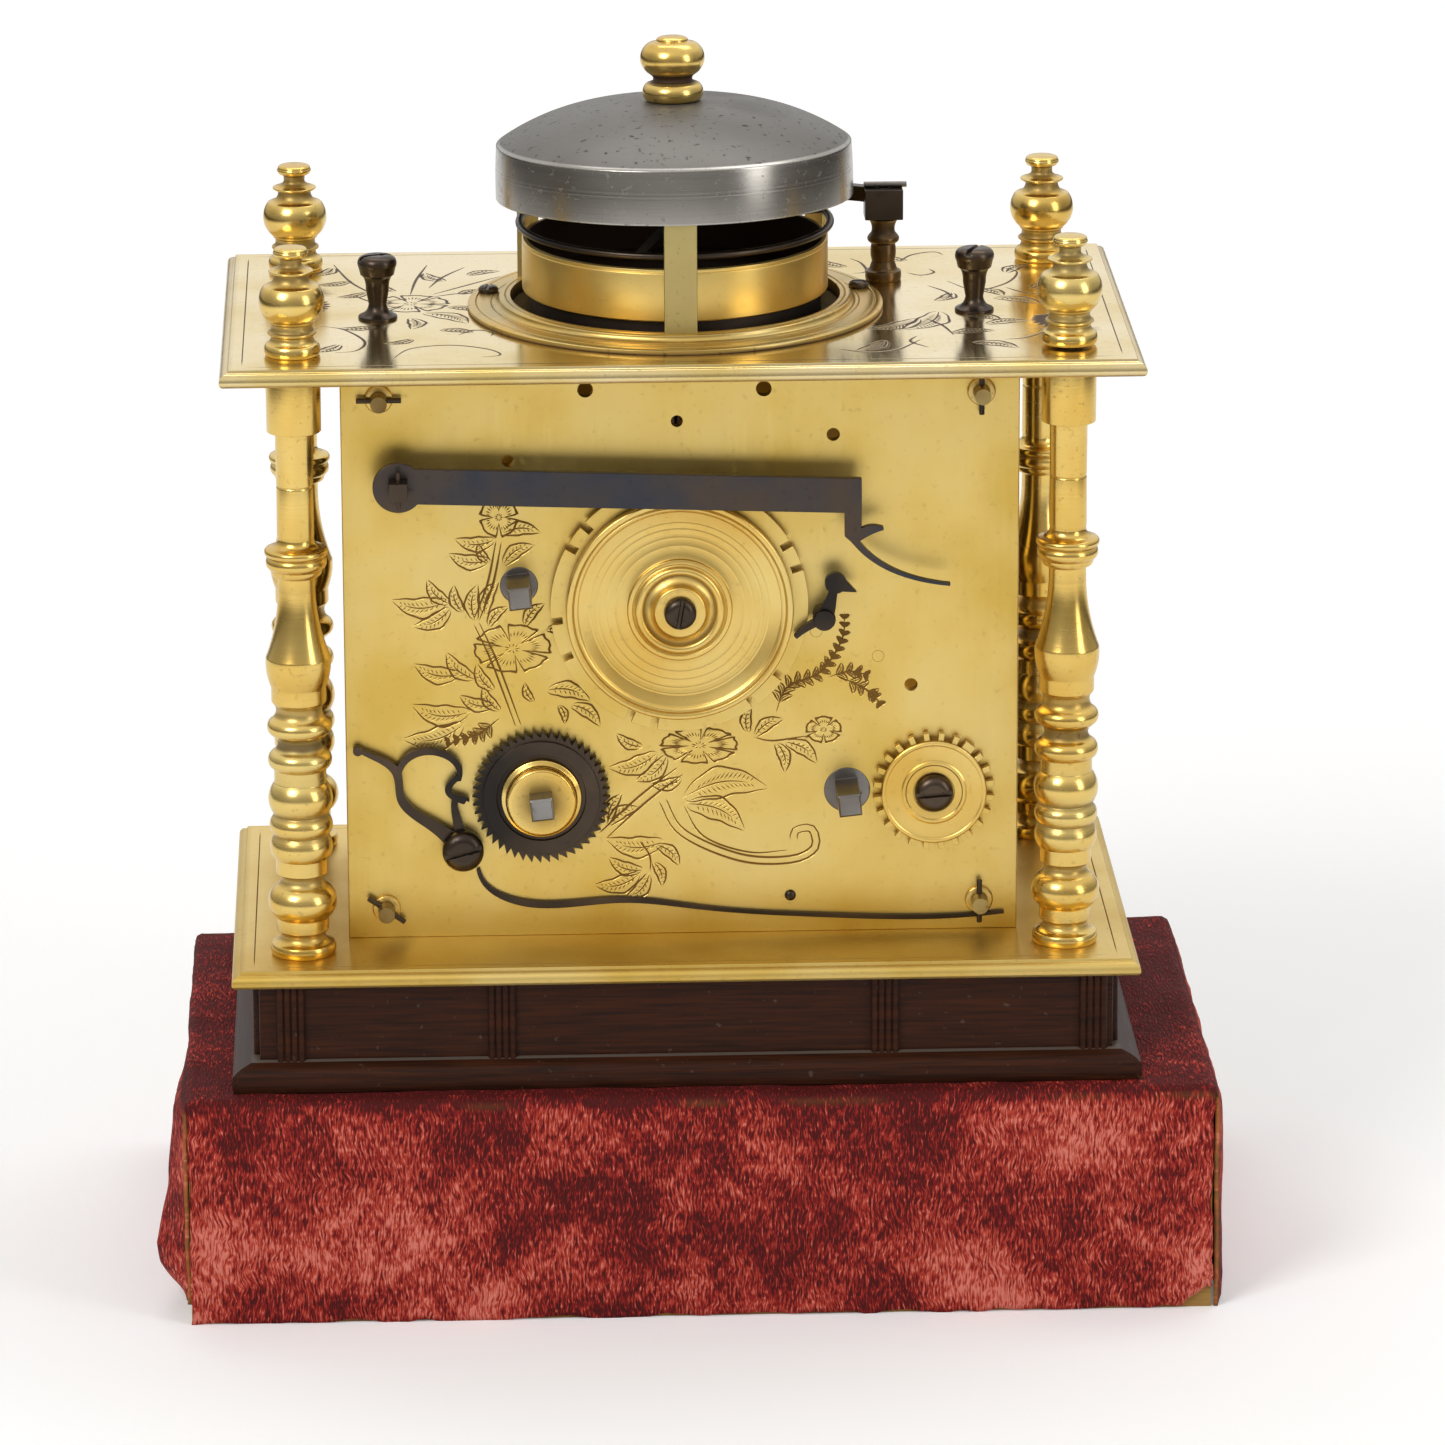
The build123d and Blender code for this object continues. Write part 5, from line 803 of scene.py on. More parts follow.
def plate_mesh(name, width, height, rim, holes, strokes, deepest, place):
    """A flat plate with round holes, an engraved face and a moulded rim.

    The face is a triangulation of its outline, its holes and both rails and the middle of every stroke,
    sunk by the strokes' depths. rim is (inset, depth) from the face's edge to the underside's, carried
    round the mitred rectangle. place turns (u, v, depth) arrays, u and v from the plate's middle, into
    points in the frame.
    """
    half = np.array([width, height]) / 2
    rings = [np.array(hole[:2]) + circle(HOLE_SIDES) * hole[2] for hole in holes]

    def flat(inset, marks):
        """The plate's outline drawn in by the inset, less its holes, in triangles that follow the marks."""
        chunks, edges, count = [], [], 0
        for ring in [RECTANGLE * (half - inset), *rings]:
            number = np.arange(len(ring)) + count
            edges.append(np.stack([number, np.roll(number, -1)], axis=1))
            chunks.append(ring)
            count += len(ring)
        for line, wide in marks:
            aside = sideways(line) * wide[:, None]
            n = len(line)
            chunks += [line, line[1:-1] + aside[1:-1], line[1:-1] - aside[1:-1]]
            middle = np.arange(n)
            left = np.concatenate([[0], n + np.arange(n - 2), [n - 1]])
            right = np.concatenate([[0], 2 * n - 2 + np.arange(n - 2), [n - 1]])
            edges += [np.stack([chain[:-1], chain[1:]], axis=1) + count for chain in (middle, left, right)]
            count += 3 * n - 4
        points = np.concatenate(chunks)
        found = delaunay_2d_cdt([Vector(p) for p in points], np.concatenate(edges).tolist(), [], 0, 1e-6,
                                False)
        points, faces = np.array([tuple(p) for p in found[0]]), np.array(found[2])
        middles = points[faces].mean(axis=1)
        kept = np.ones(len(faces), bool)
        for hole in holes:
            kept &= np.linalg.norm(middles - np.array(hole[:2]), axis=1) > hole[2] * 0.998
        kept &= (np.abs(middles) < half - inset).all(axis=1)
        return points, faces[kept]

    inset, deep = rim[-1]
    face, face_tris = flat(rim[0][0], strokes)
    under, under_tris = flat(inset, [])
    depth, dark = groove_depths(face, strokes, deepest)
    border = np.array(rim, float)
    edge = (RECTANGLE[None] * (half - border[:, :1, None])).reshape(-1, 2)
    edge_depth = np.repeat(border[:, 1], 4)
    parts = [(face, depth, dark, face_tris),
             (under, np.full(len(under), deep), np.zeros(len(under)), under_tris),
             (edge, edge_depth, np.full(len(edge), RIM_SOIL), grid_faces(len(rim), 4, close_columns=True))]
    for ring in rings:
        count = len(ring)
        parts.append((np.concatenate([ring, ring]), np.repeat([0.0, deep], count), np.zeros(2 * count),
                      grid_faces(2, count, close_columns=True)))
    points, layers, faces, count = [], [], [], 0
    for flat_points, sunk, soiled, part_faces in parts:
        points.append(place(flat_points[:, 0], flat_points[:, 1], sunk))
        layers.append(soiled)
        faces += (part_faces + count).tolist()
        count += len(flat_points)
    return mesh_from(name, np.concatenate(points), faces, {"hollow": np.concatenate(layers)}, smooth=20.0,
                     flat_triangles=True)


# Points of the noise's lattice along each side, after which it repeats
LATTICE = 512


def value_noise(u, v, cell, seed):
    """Smooth noise from -1 to 1: random values on a lattice of that cell, blended with 3t^2 - 2t^3."""
    lattice = np.random.default_rng(seed).uniform(-1, 1, (LATTICE, LATTICE))
    x, y = u / cell + 100.0, v / cell + 100.0
    i, j = np.floor(x).astype(int), np.floor(y).astype(int)
    s, t = x - i, y - j
    s, t = s * s * (3 - 2 * s), t * t * (3 - 2 * t)
    left, right = i % LATTICE, (i + 1) % LATTICE
    low, high = (lattice[left, row % LATTICE] * (1 - s) + lattice[right, row % LATTICE] * s
                 for row in (j, j + 1))
    return low * (1 - t) + high * t


class CLOCK_OT_stand_block(Operator):
    """The board block inside the velvet, seen at its open corners"""
    bl_idname = "clock.stand_block"
    bl_label = "Stand block"

    def execute(self, context):
        dress("pressed_straw_board", "stand_core")
        return {"FINISHED"}


# How far the loose left flap and the loose right side stand off the block: height and distance
FLAP_LINE = ((0.0, 0.8), (3.6, 1.2), (7.9, 4.4), (11.1, 5.2), (17.9, 3.9), (21.6, 3.0), (28.0, 2.4),
             (38.0, 1.9))
SIDE_LINE = ((0.0, 1.5), (4.0, 1.6), (29.0, 1.7), (38.0, 0.9))
# The share of the bulge at a distance behind the front: the flap's own edge curls back to the block
BULGE_ALONG = ((0.0, 0.0), (2.5, 0.0), (5.0, 0.45), (9.0, 1.0), (18.0, 0.75), (28.0, 0.25), (34.0, 0.0))


# Where hands have pressed the front's pile: place across and down, reach both ways, turn, pale or dark
PRESSED = ((-50.0, 20.7, 13.4, 17.0, 0, 0.078), (-65.8, 27.0, 12.0, 9.0, 0, 0.048),
           (-22.1, 30.8, 11.0, 8.0, 20, 0.078), (67.7, 7.2, 12.5, 6.7, 5, 0.13),
           (50.7, 31.0, 9.0, 7.0, 0, 0.078), (-14.8, 4.2, 19.0, 4.5, 0, 0.036),
           (-35.4, 5.0, 7.5, 6.5, -20, -0.11), (9.4, 20.7, 19.0, 4.5, 30, -0.12),
           (13.1, 30.9, 9.0, 7.5, 0, -0.09), (38.6, 21.3, 16.0, 6.0, 10, -0.066),
           (-76.7, 5.5, 6.5, 5.5, 0, -0.084), (-31.8, 19.7, 5.0, 5.0, 0, -0.072))


class CLOCK_OT_velvet_cover(Operator):
    """The crushed velvet: one cross-shaped sheet, folded over the block's upper edges"""
    bl_idname = "clock.velvet_cover"
    bl_label = "Velvet cover"

    def execute(self, context):
        """The flat sheet (u, v) goes round each upper edge: straight up to the fold, then the arc
        (R sin a, R (1 - cos a)), then straight down. It is pushed along its normal by smooth noise, and
        at its left and right side by how far these stand off the block."""
        middle = (CORE_LOW + CORE_HIGH) / 2
        radius, step = size("fold"), size("cloth_step")
        half = (CORE_HIGH - CORE_LOW)[:2] / 2 + COVER_THICKNESS
        top = CORE_HIGH[2] + COVER_THICKNESS
        drop = top - radius * (2 - math.pi / 2) - 0.25

        def fold(distance, edge):
            turn = np.clip((distance - (edge - radius)) / radius, 0, math.pi / 2)
            past = np.maximum(distance - (edge - radius) - radius * math.pi / 2, 0)
            flat_part = np.minimum(distance, edge - radius)
            return flat_part + radius * np.sin(turn), radius * (1 - np.cos(turn)) + past, turn

        counts = [2 * int(round((edge + drop) / step)) + 1 for edge in half]
        axes = [np.linspace(-(edge + drop), edge + drop, count) for edge, count in zip(half, counts)]
        u, v = np.meshgrid(*axes, indexing="ij")
        down_u, down_v = np.maximum(np.abs(u) - half[0], 0), np.maximum(np.abs(v) - half[1], 0)
        inside = (down_u <= 0) | (down_v <= 0)
        # The upright edges of the side panels draw back from the corners, unevenly
        ragged = 0.35 + 0.3 * value_noise(u, v, 2.3, 11) + 0.2 * value_noise(u, v, 0.9, 12)
        shrink_u = 1 - ragged.clip(0.1, 2.0) * np.clip(down_v / 5.0, 0, 1) / half[0]
        shrink_v = 1 - ragged.clip(0.1, 2.0) * np.clip(down_u / 5.0, 0, 1) / half[1]
        out_x, fall_x, turn_x = fold(np.abs(u), half[0])
        out_y, fall_y, turn_y = fold(np.abs(v), half[1])
        x = np.sign(u) * out_x * shrink_u
        y = np.sign(v) * out_y * shrink_v
        down = down_u + down_v
        z = top - fall_x - fall_y + 0.5 * value_noise(u, v, 3.1, 13) * np.clip(down / drop, 0, 1) ** 6
        normal = np.stack([np.sign(u) * np.sin(turn_x), np.sign(v) * np.sin(turn_y),
                           np.cos(turn_x) * np.cos(turn_y)], axis=-1)
        normal /= np.maximum(np.linalg.norm(normal, axis=-1, keepdims=True), 1e-9)
        # Crushed pile: broad pressed patches with finer ridges that run down the sides
        rise = (0.6 * value_noise(u, v, 9.0, 21) + 0.3 * value_noise(u, v, 4.0, 22)
                + 0.25 * np.where(down_u > down_v, value_noise(u * 0.25, v, 1.6, 23),
                                  value_noise(u, v * 0.25, 1.6, 24)))
        push = size("crush") * rise
        front_y = y + half[1]
        # The lower edge is worn short: at the front's right corner, and along the loose flap at the left
        left, right = u < -half[0], u > half[0]
        worn = 3.8 * np.clip((u - half[0] + 5.5 + value_noise(u, v, 1.4, 27)) / 4.0, 0, 1) * (v < -half[1])
        short = np.interp(front_y, (0.0, 22.0, 40.0), (3.4, 3.0, 0.0)) + 0.5 * value_noise(u, v, 1.1, 29)
        worn = worn + left * short
        z = z + worn * np.clip((down - drop + 8.0) / 8.0, 0, 1)
        height = z.clip(0, None)
        window = np.interp(front_y, *np.array(BULGE_ALONG).T)
        flap = np.interp(height, *np.array(FLAP_LINE).T) * window
        loose = np.interp(height, *np.array(SIDE_LINE).T)
        from_fold = np.clip(down_u / 3.0, 0, 1)
        push = push + np.where(left, flap * from_fold * (1 + 0.12 * value_noise(u, v, 6.0, 25)), 0)
        loose = loose * from_fold * np.interp(front_y, (0.0, 6.0), (0.1, 1.0))
        push = push + np.where(right, loose * (1 + 0.15 * value_noise(u, v, 9.0, 26)), 0)
        points = np.stack([x + middle[0], y + middle[1], z], axis=-1) + normal * push[..., None]
        faces = grid_faces(*counts)
        kept = inside.ravel()[faces].all(axis=1)
        faces = faces[kept][:, ::-1]
        used, faces = np.unique(faces, return_inverse=True)
        faces = faces.reshape(-1, 4)
        flat_places = np.stack([u, v], axis=-1).reshape(-1, 2)[used]
        # The tufts run down the sides, and the side panels read another layer of their pattern
        sideways_on = down_u > down_v
        across = np.where(sideways_on[..., None], np.stack([v, u], axis=-1), np.stack([u, v], axis=-1))
        sway = 0.5 * value_noise(u, v, 5.0, 41) + 0.3 * value_noise(u, v, 2.0, 42)
        crushed = across + sway[..., None] * (1, 0)
        rows = crushed.reshape(-1, 2)[used] / (TUFT_ACROSS, TUFT_ALONG)
        rows = np.concatenate([rows, np.where(sideways_on, 40.0, 0.0).reshape(-1, 1)[used]], axis=1)
        # Painted shade: the pile stands on top, so that it is drawn darker there, and lies on the sides
        pressed_and_top_shade = 0.21 * np.clip((down - 0.4) / 0.8, 0, 1) - 0.26
        for patch_x, patch_down, wide, tall, turn, amount in PRESSED:
            off_x, off_y = u - (patch_x - middle[0]), (-half[1] - v) - patch_down
            a, b = math.cos(math.radians(turn)), math.sin(math.radians(turn))
            gap = np.hypot((off_x * a - off_y * b) / wide, (off_x * b + off_y * a) / tall)
            gap = gap + 0.25 * value_noise(u, v, 4.0, 31) + 0.12 * value_noise(u, v, 1.5, 32)
            pressed_and_top_shade += amount * np.clip(1.6 - 1.3 * gap, 0, 1) * (down_v > 0)
        lie = pressed_and_top_shade.reshape(-1)[used]
        # The pile has worn off the side panels' front edges, and in places off the front's fold
        gone = 0.45 * (v < -half[1] + 1.0) * (np.abs(u) > half[0])
        fold_line = (v < 0) & (down_v > 0.05) & (down_v < 1.15) & (down_u <= 0)
        gone = np.maximum(gone, fold_line * (0.18 * value_noise(u, v, 9.0, 43)).clip(0, 0.15))
        bare = gone.reshape(-1)[used]
        mesh = mesh_from("velvet_cover_cloth", points.reshape(-1, 3)[used], faces,
                         {"rows": rows, "lie": lie, "worn": bare}, flat_places, 60.0)
        piece = put_in_place(mesh, "woven_crushed_velvet", "velvet_cover")
        wall = piece.modifiers.new("cloth_thickness", "SOLIDIFY")
        wall.thickness = COVER_THICKNESS * MM
        wall.offset = -1.0
        return {"FINISHED"}


class CLOCK_OT_wood_base(Operator):
    """The stained wood base: walls, reeded pilasters and the bottom moulding"""
    bl_idname = "clock.wood_base"
    bl_label = "Wood base"

    def execute(self, context):
        """The moulding's line (share of its reach, height) is carried round the mitred rectangle."""
        refined("wood_base", "stained_waxed_hardwood", 0.3)
        refined("wood_pilasters", "stained_waxed_hardwood", 0.15)
        base = MOULDING_LOW[2]
        line = bowed([(0.0, 0.0, 0), (0.97, 0.0, 0), (1.0, 0.3, 0.01), (1.0, 2.8, 0.02), (0.93, 3.2, 0.03),
                      (0.28, 4.7, 0.1), (0.2, 4.8, 0), (0.0, 4.8, 0)], 0.1)
        inner, outer = WALL_HIGH[:2], MOULDING_HIGH[:2]
        ring = RECTANGLE[None] * (inner + (outer - inner) * line[:, :1])[:, None]
        level = np.repeat(line[:, 1:2] + base, 4, axis=1)
        points = np.concatenate([ring, level[..., None]], axis=-1).reshape(-1, 3)
        dust = np.where(line[:, 0] < 0.3, 0.75, 0.0)
        mesh = mesh_from("wood_moulding_run", points, grid_faces(len(line), 4, True, True),
                         {"hollow": np.repeat(dust, 4)}, smooth=25.0)
        put_in_place(mesh, "stained_waxed_hardwood", "wood_moulding")
        return {"FINISHED"}


# The brass plates' edge: (inset, depth) from the face down the roll moulding to the underside
PLATE_EDGE = [(1.55, 0.0), (1.5, 0.05), (1.36, 0.42), (1.22, 0.5), (1.05, 0.52), (0.8, 0.6), (0.5, 0.8),
              (0.22, 1.1), (0.05, 1.5), (0.0, 1.85), (0.06, 2.2), (0.25, 2.5), (0.5, 2.7), (0.8, 2.8)]
# The engraved line round both plates: half its width and half its depth
BORDER_HALF = (71.4, 38.6)


def border_lines(width):
    """A rectangle of four straight engraved lines, which meet at its corners."""
    corners_at = RECTANGLE * BORDER_HALF
    return [cut(smooth_line([start, end], 4.0), width, 0.9)
            for start, end in zip(corners_at, np.roll(corners_at, -1, axis=0))]


# Leaves on the top plate: base X, Y and tip X, Y
TOP_PLATE_LEAVES = (
    (-38, 1, -32.5, -3), (-42, -3, -34.5, -11), (-34.5, 23, -28.5, 26),
    (-36, 9.5, -31, 12.5), (-44, -6.5, -44, -14.5), (-43.5, -21, -48.5, -24), (-57, 30, -60.5, 24),
    (-54, 20, -60, 17.5), (-51, 12, -56.5, 8.5), (-47, -4.5, -53, -7), (-39.5, -15, -33.5, -17.5),
    (-49.5, -12, -56, -13), (-55.5, -24, -60.5, -29), (-38, 19, -41.5, 25.5), (-46.5, 12, -49.5, 18.5),
    (30, 25.5, 25.5, 31.5), (46.5, 6.5, 43, 0.5), (53, 2.5, 61, -2.5), (40, -11.5, 30.5, -18.5),
    (43.5, -6.5, 36, -19.5), (47.5, -9, 53.5, -13.5), (50.5, -16, 58.5, -14), (44.5, -22, 52, -20.5),
    (56.5, 20, 61, 26), (51, 9, 55, 3.5), (33.5, -26, 28, -33), (47.5, -28, 55, -32.5),
    (40.5, 29.5, 36, 35), (60, 8, 64.5, 12.5),
)


def top_plate_strokes():
    """Scrolling foliage on the top plate, left and right of the drum, places in (X, Y)."""
    strokes = border_lines(0.2)
    strokes += flower((-44.0, 3.5), 13.0, 12.0, 6, 20)
    for x, y, tip_x, tip_y in TOP_PLATE_LEAVES:
        strokes += leaf((x, y), (tip_x, tip_y))
    for points in (((-44, 9.5), (-43, 20), (-41, 31.5)), ((-41, 14), (-38.5, 22), (-34.5, 29.5)),
                   ((-40.5, 9.5), (-35, 15.5), (-28.5, 22.5)), ((-40.5, 8), (-36.5, 10), (-33, 10.5)),
                   ((-47, 4.5), (-53.5, 18), (-57, 32.5)), ((-48, 1.5), (-51.5, 6.5), (-53.5, 10)),
                   ((-59.5, -11), (-55, -14), (-51.5, -22.5), (-53, -28.5), (-57, -29.5)),
                   ((-47, -34), (-44, -27.5), (-37.5, -25.5), (-31.5, -28.5), (-29.5, -32.5), (-33, -34)),
                   ((-36.5, -19), (-33.5, -15.5), (-30.5, -17), (-31, -20)),
                   ((30.5, 32.5), (32.5, 28.5), (33, 22), (30, 21)),
                   ((39, 29), (41.5, 34), (45.5, 36), (47, 33)),
                   ((39.5, 21.5), (42, 19), (44.5, 21), (43.5, 24)),
                   ((46, 15), (50.5, 8), (56, 12.5), (58.5, 20.5), (56, 24)),
                   ((55.5, 10), (58.5, 6), (63.5, 3.5)), ((42.5, 12), (45.5, 7), (46.5, 1.5)),
                   ((41, -11.5), (43.5, -16.5), (45, -23.5)), ((40.5, -31.5), (37.5, -27), (39, -23)),
                   ((25.5, -31.5), (30, -34), (35, -32.5), (39.5, -25.5)),
                   ((52.5, -26.5), (56.5, -25.5), (60, -21), (58.5, -18))):
        strokes += stem(points)
    for points in (((-62, -4), (-59, 3), (-61, 11)), ((62, -8), (60, -14), (62.5, -20))):
        strokes += fern(points, 3.0)
    return [(line, half * 1.7) for line, half in strokes]


class CLOCK_OT_plates(Operator):
    """The moulded brass base plate and the engraved top plate"""
    bl_idname = "clock.plates"
    bl_label = "Base and top plates"

    def execute(self, context):
        # Holes are X, Y and radius
        width, depth = (PLATE_HIGH - PLATE_LOW)[:2]
        tenons = [(x, y, 2.4) for x, y in PILLARS_AT]
        screws = [(RING_SCREW_CIRCLE * math.cos(a), RING_SCREW_CIRCLE * math.sin(a), 0.9)
                  for a in (math.radians(degrees) for degrees in (13.0, 90.0, 167.0))]
        tall = [(side * TALL_SCREW_AT[0], TALL_SCREW_AT[1], 1.2) for side in (-1, 1)]
        holes = tenons + screws + tall + [(0.0, 0.0, RING_HOLE), (*HAMMER_AT, 1.05)]
        jobs = (("top_plate", "polished_brass_plate", TOP, holes, top_plate_strokes(), 0.04),
                ("base_plate", "satin_brass_plate", DECK, tenons, border_lines(0.3), 0.1))
        for node, metal, level, openings, strokes, deepest in jobs:
            mesh = plate_mesh(node + "_moulded", width, depth, PLATE_EDGE, openings, strokes, deepest,
                              lambda u, v, sunk, level=level: np.stack([u, v, level - sunk], axis=1))
            put_in_place(mesh, metal, node)
        return {"FINISHED"}


# Leaves on the backplate: base X, height and tip X, height
BACKPLATE_LEAVES = (
    (-30.5, 68.5, -37.5, 68.8), (-29.5, 69.5, -23, 69.5), (-31.5, 65, -38.5, 66.3),
    (-31.5, 64.5, -33.5, 68), (-29.5, 64, -24, 67.5), (-38.5, 58, -48, 58.5), (-38, 57, -44.5, 53.8),
    (-38, 57.5, -42, 62), (-36, 56, -37.5, 61), (-34, 54.5, -33.5, 61), (-32.5, 55.5, -30, 61.5),
    (-32, 53.5, -28.5, 57), (-26, 53.5, -22.5, 57.5), (-22.5, 53, -18.5, 52), (-36.5, 45.5, -44.5, 47.5),
    (-34, 44.5, -39, 49.5), (-31, 42.5, -34, 47.5), (-31, 40, -37, 42), (-30, 39, -33, 43.5),
    (-35, 39, -45, 40.5), (-36, 37, -46.5, 34.5), (-24.5, 40.5, -26, 44), (-22.5, 42.5, -15, 40.5),
    (-18.5, 40, -13.5, 36), (-20.5, 40, -19.5, 36.5), (-4, 31.5, -12.5, 29), (-6.5, 32.5, -11, 35),
    (-2.5, 31, -8, 26.5), (11, 34.5, 11.5, 39.5), (12, 34, 17, 37), (15.5, 33, 17, 27.5),
    (17, 33, 22.5, 29), (0, 27, -5.5, 26), (-12.5, 19, -10, 24.5), (-12.5, 19, -7, 22),
    (0, 23.5, 14.5, 25), (0.5, 22.5, 10.5, 17.5), (-3, 16, -13, 16.8), (-4.5, 15.5, -0.5, 11.5),
    (-6.5, 11, -12.5, 13.5), (-7, 10.5, -15, 8.6), (-5.5, 10.5, -10, 5.8), (-5, 12.5, -3.5, 8),
)


def backplate_strokes():
    """Foliage on the backplate: a spray at the left and one at the lower right, places in (X, height)."""
    strokes = flower((-30.0, 72.3), 6.4, 7.0, 4, 45) + flower((-28.0, 49.8), 13.0, 8.4, 6, 12)
    strokes += flower((2.8, 32.6), 13.0, 6.4, 7, 5) + flower((23.5, 35.0), 6.0, 4.6, 5, 18)
    for x, z, tip_x, tip_z in BACKPLATE_LEAVES:
        strokes += leaf((x, z), (tip_x, tip_z))
    strokes += stem(((-30.0, 68.5), (-31.5, 61.0), (-34.0, 54.5)), 1.1, 0.9)
    strokes += stem(((-34.0, 54.5), (-31.0, 47.5), (-27.0, 36.0)), 1.1, 0.9)
    strokes += stem(((-3.5, 23.5), (0.0, 17.5), (9.5, 13.0), (18.0, 12.5), (22.0, 14.5), (21.5, 17.8),
                     (18.8, 17.5), (18.5, 15.6)), 1.2, 1.2)
    strokes += stem(((0.0, 28.5), (-6.5, 23.5), (-13.5, 17.0)), 1.2, 1.5)
    for points in (((11.5, 34), (15, 33.2), (21, 34)), ((0, 22.5), (3.5, 16.8), (11, 13.9), (18, 14.2)),
                   ((-7.5, 16.5), (-5.5, 13.5), (-5.5, 10.5))):
        strokes += stem(points)
    for points in (((15.5, 38), (17.5, 42.5), (23, 45), (26.5, 50.5), (27, 55.5)),
                   ((24, 44), (28, 45), (31.5, 44)), ((26.5, 44), (31, 41.5), (33.5, 38.5)),
                   ((-30, 38), (-34, 35), (-38.5, 34))):
        strokes += fern(points, 2.7)
    return strokes


class CLOCK_OT_backplate(Operator):
    """The movement's engraved backplate"""
    bl_idname = "clock.backplate"
    bl_label = "Backplate"

    def execute(self, context):
        width, height = BACK_HIGH[0] - BACK_LOW[0], BACK_HIGH[2] - BACK_LOW[2]
        half = height / 2
        # Holes are X, height and radius: pillar ends, train pivots, arbors, studs
        holes = [(x, z, 1.35) for x, z in POST_AT]
        holes += [(*at, 1.0) for at in (SECOND_AT, THIRD_AT, HOOP_AT, FLY_AT)]
        holes += [(*FUSEE_AT, 3.15), (*BARREL_AT, 3.15), (*STRIKE_AT, 3.85), (*PIN_WHEEL_AT, 1.95)]
        holes += [(*at, 1.1) for at in (COUNT_AT, LEVER_AT, DETENT_AT, CLICK_AT, STOP_AT)]
        holes += list(SPARE_HOLES)
        holes = [(x, z - half, radius) for x, z, radius in holes]
        strokes = [(line - (0.0, half), wide) for line, wide in backplate_strokes()]
        thick = BACK_HIGH[1] - BACK_LOW[1]
        rim = [(0.18, 0.0), (0.05, 0.05), (0.0, 0.18), (0.0, thick - 0.1), (0.1, thick)]
        mesh = plate_mesh("backplate_engraved", width, height, rim, holes, strokes, size("groove_depth"),
                          lambda u, v, sunk: np.stack([u, BACK_LOW[1] + sunk, DECK + half + v], axis=1))
        put_in_place(mesh, "satin_brass_plate", "movement_backplate")
        return {"FINISHED"}


class CLOCK_OT_pillars(Operator):
    """Four turned corner pillars and their finials"""
    bl_idname = "clock.pillars"
    bl_label = "Corner pillars and finials"

    def execute(self, context):
        column = [(0.0, 0, 0), (5.2, 0, 0), (5.2, 1.9, 0.25), (3.7, 3.1, -0.3), (4.3, 4.1, -0.2),
                  (4.3, 6.2, 0), (4.4, 6.4, 0), (4.4, 11.7, 1.3), (3.5, 12.9, -0.2), (4.3, 14.0, -0.2),
                  (4.3, 16.5, 0), (4.6, 16.6, 0), (4.6, 20.4, 0.6), (4.5, 20.6, 0), (4.5, 23.9, 0.75),
                  (4.4, 24.1, 0), (4.4, 29.5, 0.95), (4.3, 29.6, 0), (4.3, 31.9, 0), (4.5, 32.0, 0),
                  (4.5, 35.0, 0.8), (3.6, 36.2, -0.2), (4.3, 37.5, -0.2), (4.6, 37.8, 0),
                  (4.6, 40.5, 0.75), (3.95, 42.7, -0.4), (4.55, 43.5, 0), (4.55, 45.9, 0),
                  (5.35, 51.0, 0.3), (3.1, 64.7, -0.7), (3.95, 65.0, 0), (4.3, 66.0, 0.1), (4.6, 66.2, 0),
                  (4.6, 68.2, 0.45), (4.9, 68.3, 0), (4.9, 69.6, 0.35), (3.95, 69.8, 0), (3.1, 71.8, -0.4),
                  (3.05, 79.9, 0), (2.9, 80.1, 0), (3.05, 80.3, 0), (3.1, 89.2, 0), (4.45, 89.3, 0),
                  (4.5, PLATE_LOW[2] - DECK, 0), (0.0, PLATE_LOW[2] - DECK, 0)]
        turned_piece("corner_pillars_turned", "turned_burnished_brass", column,
                     [(x, y, DECK) for x, y in PILLARS_AT], ["corner_pillars"], segments=48, amount=0.6)
        nut = [(0.0, 0, 0), (4.3, 0, 0), (4.3, 1.9, 0.3), (4.1, 2.0, 0), (3.5, 3.3, -0.25),
               (3.95, 3.55, 0), (3.95, 3.9, 0.05), (3.5, 4.1, 0), (3.4, 5.3, -0.1), (3.8, 5.75, 0.1),
               (4.5, 11.5, 1.2), (4.35, 11.55, 0), (2.75, 13.2, -0.45), (2.75, 13.55, 0),
               (3.55, 13.75, 0.05), (3.6, 14.1, 0.08), (2.3, 14.6, -0.1), (1.75, 15.3, -0.15),
               (1.8, 16.0, 0), (2.3, 16.35, -0.05), (2.7, 16.6, 0.1), (2.75, 17.3, 0.15), (2.4, 17.8, 0.1),
               (0.0, 18.1, 0)]
        turned_piece("pillar_finials_turned", "turned_burnished_brass", nut,
                     [(x, y, TOP + (0.35 if x > 0 > y else 0.0)) for x, y in PILLARS_AT], ["pillar_finials"],
                     segments=56, depth=0.8, amount=0.45)
        return {"FINISHED"}


# The bell hangs a little askew on its bridge: degrees to the right and to the back
BELL_LEAN = (-0.5, 3.0)


